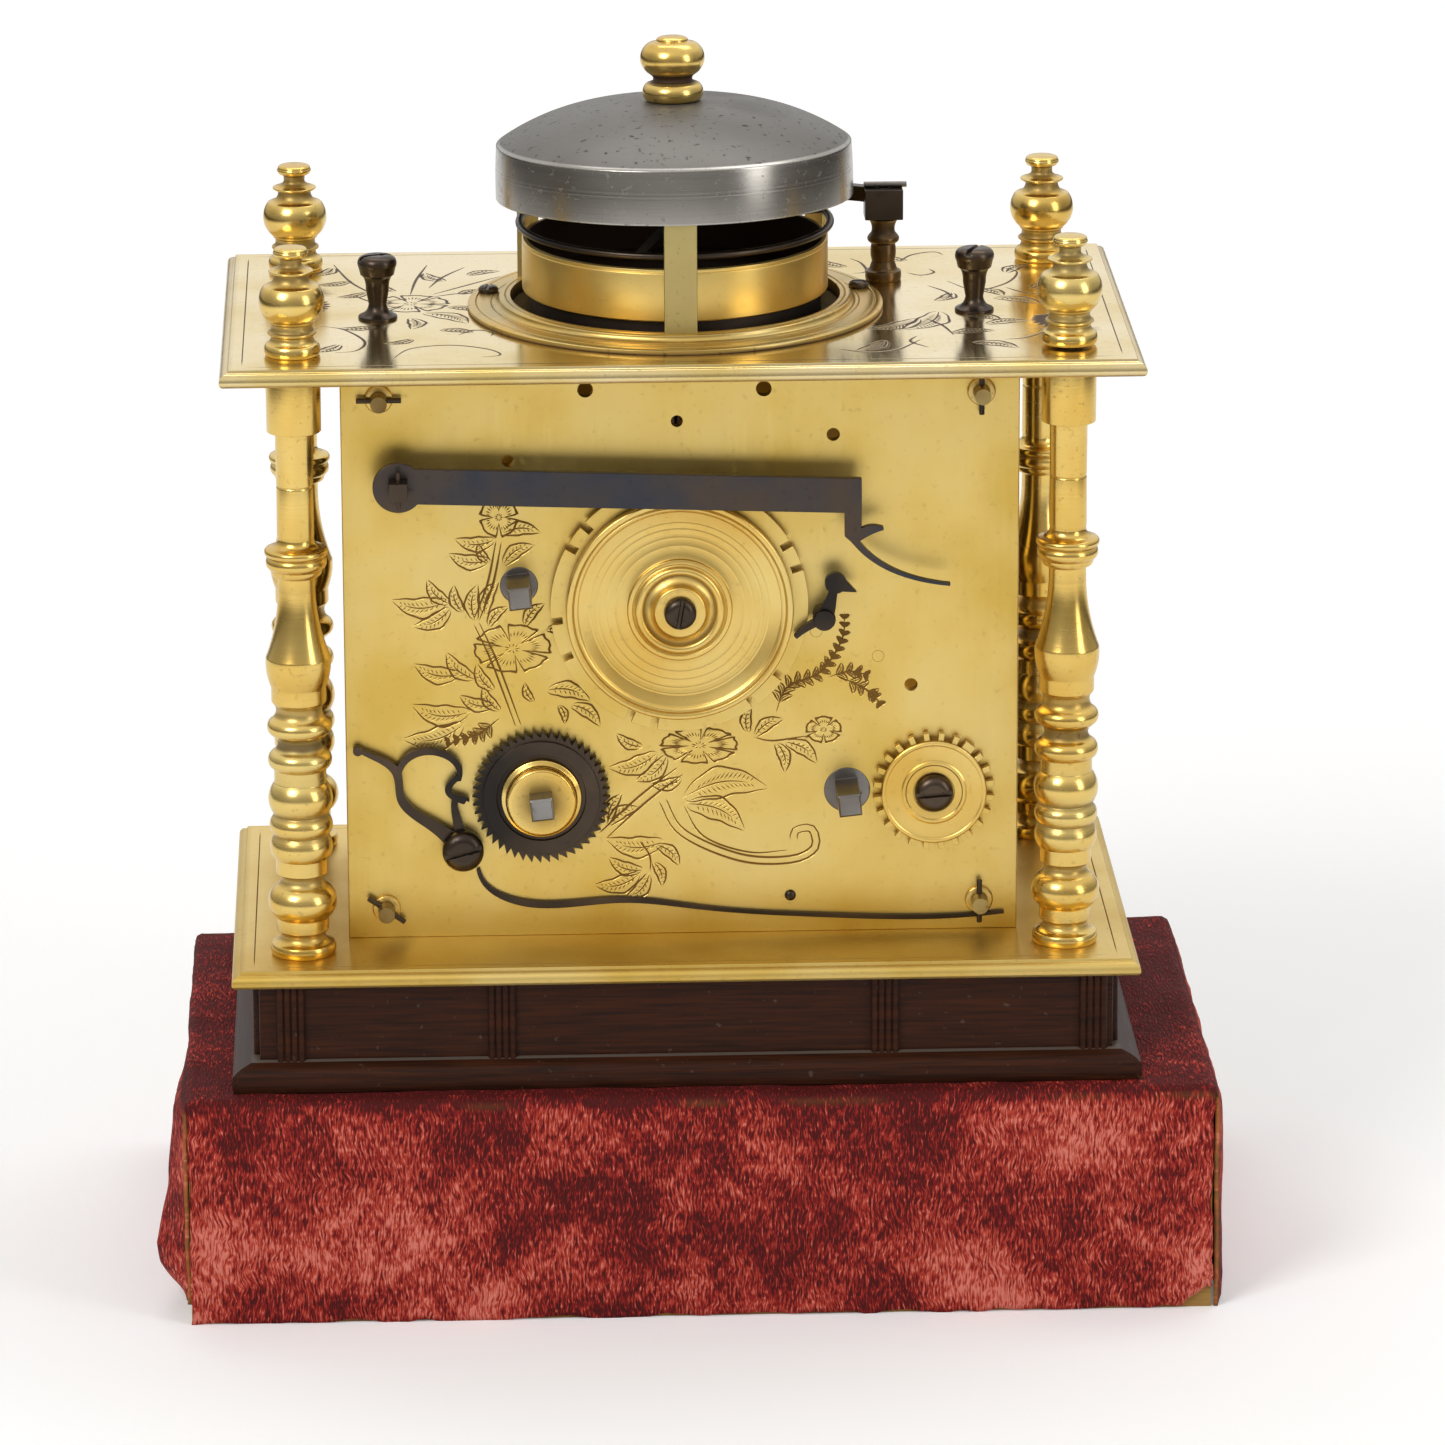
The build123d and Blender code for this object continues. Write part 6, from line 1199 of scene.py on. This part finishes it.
class CLOCK_OT_bell(Operator):
    """The bell, the knob that holds it down, and the bridge that carries it"""
    bl_idname = "clock.bell"
    bl_label = "Bell, knob and bridge"

    def execute(self, context):
        rim, crown, shoulder, outer_wall = 18.8, 34.7, 28.2, 29.0
        shell = [(29.6, rim, 0), (29.4, 27.75, 0.1), (29.0, 28.05, 0), (5.5, 34.5, 2.0), (1.5, crown, 0),
                 (1.5, 33.8, 0), (5.5, 33.6, 0), (28.3, 27.2, -1.5), (28.7, rim, -0.1)]

        def skin(line):
            """Darkens the dome over the shoulder by 0.42, and all that lies inside the outer wall by 0.1."""
            return (np.where(line[:, 1] > shoulder, 0.42, 0.0)
                    + np.where(line[:, 0] < outer_wall, 0.1, 0.0))

        turned_piece("bell_cast", "cast_bell_metal", shell, [(0, 0, TOP)], ["bell"], closed=True,
                     tilt=BELL_LEAN, segments=112, soften=0.18, darkening=skin)
        knob = [(0.0, 0, 0), (4.4, 0, 0), (4.4, 2.9, 0.65), (3.3, 3.3, 0), (3.5, 4.2, -0.15), (3.9, 4.5, 0),
                (3.9, 9.6, 1.45), (2.6, 9.9, 0), (2.4, 10.4, 0.1), (1.0, 10.7, 0.1), (0.0, 10.75, 0)]
        right, back = (math.radians(a) for a in BELL_LEAN)
        seat = ((crown - rim) * math.sin(right), (crown - rim) * math.sin(back), TOP + crown - 0.05)
        turned_piece("bell_knob_turned", "turned_burnished_brass", knob, [seat], ["bell_knob"],
                     amount=0.9, tilt=BELL_LEAN)
        refined("bell_bridge", "filed_brass_strip", 0.2)
        return {"FINISHED"}


class CLOCK_OT_drum(Operator):
    """The drum, its moulded ring with dome screws, and the flange under the top plate"""
    bl_idname = "clock.drum"
    bl_label = "Drum and ring"

    def execute(self, context):
        ring = [(27.4, 0, 0), (34.5, 0, 0), (34.5, 0.7, 0), (33.6, 1.0, 0.05), (33.25, 1.0, 0),
                (33.1, 0.82, 0), (32.95, 1.0, 0), (30.75, 1.0, 0), (30.6, 0.8, 0), (30.45, 1.0, 0),
                (30.0, 1.0, 0), (29.3, 1.9, -0.2), (28.4, 2.2, 0.1), (28.2, 2.05, 0), (28.0, 2.2, 0),
                (27.4, 2.2, 0)]
        turned_piece("drum_ring_turned", "turned_browned_brass", ring, [(0, 0, TOP)], ["drum_ring"],
                     closed=True, segments=128, soften=0.06, dished=True, reach=0.6, depth=0.3, amount=0.8)
        wall = [(1.75, 3.3, 0), (25.2, 3.3, 0), (25.4, 3.5, 0), (25.4, 11.3, 0), (25.3, 11.4, 0),
                (25.4, 11.5, 0), (25.4, 12.0, 0), (25.2, 12.1, 0), (24.6, 12.1, 0), (24.5, 12.0, 0),
                (24.5, 4.2, 0), (1.75, 4.2, 0)]
        # The long reach darkens the drum's floor and the inside of its wall with the grime colour: painted
        # shade inside the drum, with its dust
        turned_piece("drum_turned", "rolled_satin_brass", wall, [(0, 0, TOP)], ["drum"], closed=True,
                     segments=128, soften=0.06, reach=10.0, depth=0.9, amount=0.85)
        refined("ring_screws", "browned_steel")
        dress("forged_iron", "drum_seat")
        return {"FINISHED"}


class CLOCK_OT_balance(Operator):
    """The balance wheel, its spring and stud, the verge and the cock that carries its foot"""
    bl_idname = "clock.balance"
    bl_label = "Balance and verge"

    def execute(self, context):
        level, rim_inner, rim_middle = TOP + 14.4, 24.6, 25.8

        def slim_rim(points):
            """Draws the round rim in about its middle circle: by 0.7 across and 0.65 in height."""
            radius = np.hypot(points[:, 0], points[:, 1])
            rim = radius > rim_inner
            slim = rim_middle + (radius - rim_middle) * 0.7
            factor = np.where(rim, slim / np.maximum(radius, 1e-6), 1.0)
            high = np.where(rim, level + (points[:, 2] - level) * 0.65, points[:, 2])
            return np.stack([points[:, 0] * factor, points[:, 1] * factor, high], axis=1)

        refined("balance_wheel", "browned_steel", 0.05, reshape=slim_rim)
        dress("heat_blued_steel", "hairspring", "verge")
        refined("hairspring_stud", "turned_burnished_brass")
        dress("satin_brass_plate", "verge_potence")
        return {"FINISHED"}


class CLOCK_OT_hammer(Operator):
    """The hammer's turned post, its arbor, arm and cross pin"""
    bl_idname = "clock.hammer"
    bl_label = "Hammer"

    def execute(self, context):
        post = [(1.05, 0, 0), (2.95, 0, 0), (2.95, 1.6, 0.1), (2.2, 2.4, -0.2), (1.9, 3.2, 0),
                (2.0, 6.2, 0.2), (2.5, 6.6, 0), (2.5, 7.6, 0.2), (2.0, 8.2, 0), (2.6, 10.5, -0.3),
                (1.05, 10.5, 0)]
        turned_piece("hammer_post_turned", "turned_browned_bronze", post, [(*HAMMER_AT, TOP)],
                     ["hammer_post"], closed=True)
        refined("hammer_arbor", "browned_steel")
        refined("hammer_arm", "browned_steel")
        dress("filed_steel", "hammer_pin")
        return {"FINISHED"}


class CLOCK_OT_tall_screws(Operator):
    """The two tall turned screws beside the drum"""
    bl_idname = "clock.tall_screws"
    bl_label = "Tall screws"

    def execute(self, context):
        heights = (-9.0, 0.7, 1.5, 2.4, 6.3, 7.6, 8.1, 9.2, 10.6)
        moved_to = (-9.0, 0.5, 1.2, 2.4, 4.9, 7.4, 8.6, 9.8, 10.7)
        factors = (1.0, 0.9, 0.9, 0.85, 1.1, 0.93, 0.9, 0.93, 1.0)

        def trumpet(points):
            """Widens or narrows each screw about its own axis by a factor that follows the height, and
            moves its mouldings up or down."""
            axis = np.stack([np.sign(points[:, 0]), np.ones(len(points))], axis=1) * TALL_SCREW_AT
            level = points[:, 2] - TOP
            factor = np.interp(level, heights, factors)[:, None]
            level = TOP + np.interp(level, heights, moved_to)[:, None]
            return np.concatenate([axis + (points[:, :2] - axis) * factor, level], axis=1)

        refined("tall_screws", "browned_steel", 0.1, 25.0, reshape=trumpet)
        return {"FINISHED"}


class CLOCK_OT_movement_frame(Operator):
    """The front plate, the movement's pillars, and their washers and taper pins"""
    bl_idname = "clock.movement_frame"
    bl_label = "Movement frame"

    def execute(self, context):
        dress("satin_brass_plate", "movement_frontplate")
        dress("turned_dull_brass", "movement_pillars")
        washer = [(1.35, 0, 0), (2.35, 0, 0), (2.35, 0.4, 0), (2.1, 0.75, 0.05), (1.5, 0.8, 0),
                  (1.35, 0.8, 0)]
        turned_piece("pillar_washers_turned", "turned_browned_brass", washer,
                     [(x, BACK_LOW[1], DECK + z) for x, z in POST_AT], ["pillar_washers"], lay=True,
                     closed=True, segments=40, soften=0.08)
        refined("taper_pins", "browned_steel", 0.08)
        return {"FINISHED"}


class CLOCK_OT_count_wheel(Operator):
    """The count wheel, its turned cap and its screw"""
    bl_idname = "clock.count_wheel"
    bl_label = "Count wheel"

    def execute(self, context):
        refined("count_wheel", "satin_brass_plate", 0.06)
        low, high = corners("count_wheel_cap")
        tall = high[1] - low[1]
        cap = [(1.75, 0, 0), (18.75, 0, 0), (18.75, tall * 0.6, 0), (18.45, tall * 0.68, 0.05),
               (17.8, tall * 0.66, 0.03), (17.6, tall * 0.55, 0), (17.4, tall * 0.62, 0),
               (16.7, tall * 0.5, 0.08)]
        for ring in (14.6, 13.5, 12.1, 10.7):
            floor_here = tall * (0.3 + 0.012 * abs(ring - 12.5))
            cap += [(ring + 0.3, floor_here, 0), (ring, floor_here + 0.04, 0.01), (ring - 0.1, floor_here, 0)]
        cap += [(9.2, tall * 0.36, -0.03), (8.7, tall * 0.4, 0), (8.5, tall * 0.52, 0.02),
                (7.9, tall * 0.54, 0), (7.7, tall * 0.48, 0), (7.4, tall * 0.56, 0),
                (6.1, tall * 0.62, 0.4), (5.9, tall * 0.5, 0), (5.6, tall * 0.56, 0),
                (4.2, tall * 0.97, -0.2), (4.0, tall, 0), (1.75, tall, 0)]
        turned_piece("count_cap_turned", "turned_satin_brass", cap,
                     [(COUNT_AT[0], high[1], DECK + COUNT_AT[1])], ["count_wheel_cap"], lay=True, closed=True,
                     segments=112, dished=True, reach=0.9, depth=0.8, amount=0.6, soften=0.08)
        refined("count_stud", "browned_steel")
        return {"FINISHED"}


class CLOCK_OT_back_steelwork(Operator):
    """The locking lever, bird detent, studs, winding squares, set-up work and its springs"""
    bl_idname = "clock.back_steelwork"
    bl_label = "Levers, squares and set-up work"

    def execute(self, context):
        refined("locking_lever", "heat_blued_steel")
        for node in ("bird_detent", "plate_studs", "set_up_ratchet", "ratchet_click", "dome_screws",
                     "click_spring"):
            refined(node, "browned_steel", 0.08)
        for node in ("set_up_arbor", "fusee_arbor", "strike_arbor"):
            refined(node, "filed_steel", 0.08)
        refined("stop_wheel", "satin_brass_plate", 0.08)
        face = corners("stop_wheel")[0][1]
        dish = [(3.4, -0.3, 0), (8.8, -0.3, 0), (8.8, 0.05, 0), (8.6, 0.2, 0), (8.2, 0.2, 0), (8.0, 0.06, 0),
                (5.5, 0.04, -0.04), (5.2, 0.22, 0), (4.8, 0.22, 0), (4.6, 0.05, 0), (3.4, 0.05, 0)]
        turned_piece("stop_wheel_dish", "turned_satin_brass", dish, [(STOP_AT[0], face, DECK + STOP_AT[1])],
                     ["stop_wheel"], lay=True, closed=True, soften=0.05, dished=True, reach=0.6, depth=0.3,
                     amount=0.6, beside=True)
        dome = [(0.0, -0.2, 0), (0.95, -0.2, 0), (0.95, 0.15, 0), (0.0, 0.75, 0.25)]
        turned_piece("small_dome_pin", "browned_steel", dome,
                     [(DOME_PIN_AT[0], BACK_LOW[1], DECK + DOME_PIN_AT[1])],
                     ["movement_backplate"], lay=True, segments=24, soften=0.05, beside=True)
        low, high = corners("ratchet_collar")
        collar = [(0.0, 0, 0), (6.6, 0, 0), (6.6, 1.0, 0.1), (5.9, 1.3, 0), (5.9, 2.2, 0.1),
                  (5.4, high[1] - low[1], 0.2), (0.0, high[1] - low[1], 0)]
        turned_piece("ratchet_collar_turned", "turned_burnished_brass", collar,
                     [(BARREL_AT[0], high[1], DECK + BARREL_AT[1])], ["ratchet_collar"], lay=True)
        return {"FINISHED"}


class CLOCK_OT_trains(Operator):
    """The wheels, barrels, fusee and gut line between the plates"""
    bl_idname = "clock.trains"
    bl_label = "Going and striking trains"

    def execute(self, context):
        dress("satin_brass_plate", "fusee", "going_barrel", "second_wheel", "third_wheel", "crown_wheel",
              "strike_barrel", "pin_wheel", "hoop_wheel", "fly", "dial_wheel")
        dress("twisted_oiled_gut", "gut_line")
        return {"FINISHED"}


# The hours' numbers from the top of the ring, the marks round it, its inner radius and its lines' sides
DIAL_NUMBERS = "987654987654"
DIAL_MARKS = 72
CHAPTER_INNER = 23.0
DIAL_CIRCLE_SIDES = 96
# Size of the type for a figure of height 1, and how far the wax stands out, in mm
TYPE_SIZE = 1.3
WAX_HEIGHT = 0.05


def turned(points, angle):
    """Flat points turned about the middle: (x cos a - y sin a, x sin a + y cos a)."""
    return points @ np.array([[math.cos(angle), math.sin(angle)], [-math.sin(angle), math.cos(angle)]])


class CLOCK_OT_dial(Operator):
    """The dial plate, the chapter ring with its waxed numbers and lines, and the hand"""
    bl_idname = "clock.dial"
    bl_label = "Dial side"

    def execute(self, context):
        """Numbers, three circles of thin bands and the marks between the outer two are flat faces, which
        a thin wall thickens."""
        refined("dial_plate", "polished_brass_plate", 0.2)
        refined("chapter_ring", "polished_brass_plate", 0.12)
        refined("hour_hand", "heat_blued_steel", 0.08)
        centre = (CHAPTER_LOW + CHAPTER_HIGH) / 2
        face = CHAPTER_HIGH[1] + 0.01
        outer, inner = (CHAPTER_HIGH[0] - CHAPTER_LOW[0]) / 2, CHAPTER_INNER
        middle = (outer + inner) / 2 + 0.4
        made = []
        for i, number in enumerate(DIAL_NUMBERS):
            text = bpy.data.curves.new("number", "FONT")
            text.body = number
            text.size = size("numeral") * MM * TYPE_SIZE
            text.align_x = "CENTER"
            text.align_y = "CENTER"
            holder = bpy.data.objects.new("number", text)
            bpy.context.scene.collection.objects.link(holder)
            bpy.context.view_layer.update()
            depsgraph = bpy.context.evaluated_depsgraph_get()
            mesh = bpy.data.meshes.new_from_object(holder.evaluated_get(depsgraph))
            points = points_of(mesh)[:, :2]
            points = points - (points.min(axis=0) + points.max(axis=0)) / 2
            points = turned(points + (0, middle), -i * 2 * math.pi / len(DIAL_NUMBERS))
            made.append((points, [tuple(polygon.vertices) for polygon in mesh.polygons]))
            bpy.data.objects.remove(holder)
            bpy.data.meshes.remove(mesh)
            bpy.data.curves.remove(text)
        unit = circle(DIAL_CIRCLE_SIDES)
        for radius in (outer - 0.7, outer - 2.3, inner + 0.8):
            band = np.concatenate([unit * (radius - 0.12), unit * (radius + 0.12)])
            made.append((band, grid_faces(2, DIAL_CIRCLE_SIDES, close_columns=True).tolist()))
        for i in range(DIAL_MARKS):
            wide = 0.16 if i % 6 else 0.3
            bar = np.array([(side * wide, rim) for side, rim in ((-1, outer - 2.3), (1, outer - 2.3),
                                                                 (1, outer - 0.7), (-1, outer - 0.7))])
            made.append((turned(bar, i * 2 * math.pi / DIAL_MARKS), [(0, 1, 2, 3)]))
        points, faces, count = [], [], 0
        for flat, polygons in made:
            level = np.full(len(flat), face)
            points.append(np.stack([-flat[:, 0] + centre[0], level, flat[:, 1] + centre[2]], axis=1))
            faces += [tuple(int(corner) + count for corner in polygon) for polygon in polygons]
            count += len(flat)
        mesh = mesh_from("chapter_ring_numbers", np.concatenate(points), faces)
        piece = put_in_place(mesh, "melted_black_wax", "chapter_ring", beside=True)
        wall = piece.modifiers.new("wax_height", "SOLIDIFY")
        wall.thickness = WAX_HEIGHT * MM
        wall.offset = 0.0
        return {"FINISHED"}


# The photograph's viewpoint: turn, rise and roll in degrees, distance, the point looked at and the focal
# length in millimetres
VIEW_TURN, VIEW_RISE, VIEW_ROLL = -2.202, 16.545, -0.231
VIEW_DISTANCE = 1409.66
VIEW_AIM = (7.585, -0.292, 88.97)
VIEW_LENS = 208.12
# Glow of the floor to the eye and in the metals, close to the clock and a metre away
FLOOR_LIFT = (0.13, 0.46)
# Half the width and depth of the pale card, and half of the whole floor, in metres
CARD_HALF = (0.65, 1.4)
FLOOR_HALF = 6
# Name, place and extent in metres, power in watts: a key from the upper left, a fill from the right, and a
# strip above and behind for the upper edges. All point at LAMPS_AIM.
LAMPS = (("key", (-0.6, -0.75, 0.85), (0.45, 0.45), 6.0), ("fill", (0.85, -0.65, 0.45), (0.3, 0.7), 2.6),
         ("top", (0.1, 0.3, 0.95), (0.9, 0.35), 2.6))
LAMPS_AIM = (0, 0, 0.1)
# Stops of the surround: as soft light by height, and as the metals mirror it by height and way back
SKY = ((0.0, (0.45, 0.45, 0.46, 1)), (0.3, (0.85, 0.85, 0.86, 1)), (0.8, (1, 1, 1, 1)))
MIRRORED_SKY = ((0.1, (0.36, 0.35, 0.34, 1)), (0.42, (0.55, 0.54, 0.53, 1)), (0.7, (1, 1, 1, 1)))


class CLOCK_OT_studio(Operator):
    """The camera at the photograph's viewpoint, a pale floor, soft lamps and a white surround"""
    bl_idname = "clock.studio"
    bl_label = "Studio"

    def execute(self, context):
        turn, rise, roll = (math.radians(a) for a in (VIEW_TURN, VIEW_RISE, VIEW_ROLL))
        back = Vector((math.sin(turn) * math.cos(rise), -math.cos(turn) * math.cos(rise), math.sin(rise)))
        right = Vector((math.cos(turn), math.sin(turn), 0.0))
        up = back.cross(right)
        right, up = right * math.cos(roll) + up * math.sin(roll), up * math.cos(roll) - right * math.sin(roll)
        lens = bpy.data.cameras.new("camera")
        lens.lens, lens.sensor_width, lens.clip_end = VIEW_LENS, 36.0, 50.0
        camera = bpy.data.objects.new("camera", lens)
        place = Vector(VIEW_AIM) + back * VIEW_DISTANCE
        camera.matrix_world = Matrix.Translation(place * MM) @ Matrix((right, up, back)).transposed().to_4x4()
        scene = context.scene
        scene.collection.objects.link(camera)
        scene.camera = camera

        for name, spot, extent, power in LAMPS:
            light = bpy.data.lights.new(name, "AREA")
            light.shape, light.size, light.size_y, light.energy = "RECTANGLE", *extent, power
            lamp = bpy.data.objects.new(name, light)
            way = Vector(spot) - Vector(LAMPS_AIM)
            lamp.matrix_world = Matrix.Translation(spot) @ way.to_track_quat("Z", "Y").to_matrix().to_4x4()
            scene.collection.objects.link(lamp)

        # Pressed-card floor: matt and pale; light and reflections meet a greyer room past the card's sides
        material, tree = new_material("matt_studio_card")
        place = add_node(tree, "TexCoord", out="Object")
        fibre = add_node(tree, "TexNoise", {"Vector": place, "Scale": 900.0, "Detail": 2})
        tone = add_node(tree, "Mix", {0: fibre, 6: tint("floor"), 7: tint("floor_light")}, 2,
                        data_type="RGBA")
        scale = (1 / CARD_HALF[0], 1 / CARD_HALF[1], 0)
        shares = add_node(tree, "Mapping", {"Vector": place, "Scale": scale})
        away = add_node(tree, "VectorMath", {0: shares}, "Value", operation="LENGTH")
        room = add_node(tree, "MapRange", {"Value": away, "From Min": 0.85, "From Max": 1.5},
                        interpolation_type="SMOOTHSTEP")
        rays = add_node(tree, "LightPath", out=None)
        seen = add_node(tree, "Math", {0: rays["Is Camera Ray"], 1: rays["Is Glossy Ray"]}, operation="ADD")
        seen = add_node(tree, "Math", {0: seen, 1: rays["Is Transmission Ray"]}, operation="ADD",
                        use_clamp=True)
        unseen = add_node(tree, "Math", {0: room, 1: rays["Is Camera Ray"]}, operation="SUBTRACT",
                          use_clamp=True)
        card_tone = add_node(tree, "Mix", {0: unseen, 6: tone, 7: tint("room")}, 2, data_type="RGBA")
        matt = add_node(tree, "BsdfDiffuse", {"Color": card_tone})
        near = add_node(tree, "Math", {0: seen, 1: unseen}, operation="SUBTRACT", use_clamp=True)
        reach = add_node(tree, "VectorMath", {0: place}, "Value", operation="LENGTH")
        rise = add_node(tree, "MapRange", {"Value": reach, "From Min": 0.15, "From Max": 1.0,
                                           "To Min": FLOOR_LIFT[0], "To Max": FLOOR_LIFT[1]})
        lift = add_node(tree, "Math", {0: near, 1: rise}, operation="MULTIPLY")
        glow = add_node(tree, "Emission", {"Color": (1, 1, 1, 1), "Strength": lift})
        both = add_node(tree, "AddShader", {0: matt, 1: glow})
        add_node(tree, "OutputMaterial", {"Surface": both}, None)
        card = bpy.data.meshes.new("floor")
        card.from_pydata([(*corner, 0) for corner in RECTANGLE * FLOOR_HALF], [], [(0, 1, 2, 3)])
        card.materials.append(material)
        floor = bpy.data.objects.new("floor", card)
        scene.collection.objects.link(floor)

        # White surround: strength 1 to the eye, darker towards the horizon for reflections, soft for light
        world = bpy.data.worlds.new("studio")
        world.use_nodes = True
        scene.world = world
        tree = world.node_tree
        tree.nodes.clear()
        way = add_node(tree, "TexCoord", out="Generated")
        parts = add_node(tree, "SeparateXYZ", {0: way}, None)
        sky = add_node(tree, "ValToRGB", {0: parts["Z"]}, stops=SKY)
        behind = add_node(tree, "Math", {0: parts["Y"], 1: 0.0}, operation="MAXIMUM")
        lit = add_node(tree, "Math", {0: behind, 1: 0.5, 2: parts["Z"]}, operation="MULTIPLY_ADD")
        mirrored = add_node(tree, "ValToRGB", {0: lit}, stops=MIRRORED_SKY)
        rays = add_node(tree, "LightPath", out=None)
        soft = add_node(tree, "Background", {"Color": sky, "Strength": 0.5})
        white = add_node(tree, "Background", {"Color": (1, 1, 1, 1), "Strength": 1.0})
        shine = add_node(tree, "Background", {"Color": mirrored, "Strength": 1.0})
        seen = add_node(tree, "Math", {0: rays["Is Camera Ray"], 1: rays["Is Transmission Ray"]},
                        operation="ADD", use_clamp=True)
        first = add_node(tree, "MixShader", {0: rays["Is Glossy Ray"], 1: soft, 2: shine})
        last = add_node(tree, "MixShader", {0: seen, 1: first, 2: white})
        add_node(tree, "OutputWorld", {"Surface": last}, None)
        scene.view_settings.view_transform = "Standard"
        return {"FINISHED"}


PIECES = (CLOCK_OT_studio, CLOCK_OT_stand_block, CLOCK_OT_velvet_cover, CLOCK_OT_wood_base,
          CLOCK_OT_plates, CLOCK_OT_backplate, CLOCK_OT_pillars, CLOCK_OT_bell, CLOCK_OT_drum,
          CLOCK_OT_balance, CLOCK_OT_hammer, CLOCK_OT_tall_screws, CLOCK_OT_movement_frame,
          CLOCK_OT_count_wheel, CLOCK_OT_back_steelwork, CLOCK_OT_trains, CLOCK_OT_dial)


class CLOCK_PT_panel(Panel):
    """Lists the clock's pieces and settings"""
    bl_idname = "CLOCK_PT_panel"
    bl_label = "Table clock"
    bl_space_type = "VIEW_3D"
    bl_region_type = "UI"
    bl_category = "Clock"

    def draw(self, context):
        for piece in PIECES:
            self.layout.operator(piece.bl_idname)
        for group in (context.scene.clock_sizes, context.scene.clock_colours):
            for name in group.bl_rna.properties.keys():
                if name not in ("rna_type", "name"):
                    self.layout.prop(group, name)


CLASSES = (ClockSizes, ClockColours, *PIECES, CLOCK_PT_panel)


def register():
    for kind in CLASSES:
        bpy.utils.register_class(kind)
    bpy.types.Scene.clock_sizes = PointerProperty(type=ClockSizes)
    bpy.types.Scene.clock_colours = PointerProperty(type=ClockColours)


def unregister():
    del bpy.types.Scene.clock_colours
    del bpy.types.Scene.clock_sizes
    for kind in reversed(CLASSES):
        bpy.utils.unregister_class(kind)


def main():
    """Builds every piece in order."""
    register()
    for piece in PIECES:
        group, name = piece.bl_idname.split(".")
        getattr(getattr(bpy.ops, group), name)()
    bpy.context.view_layer.update()


if __name__ == "__main__":
    main()
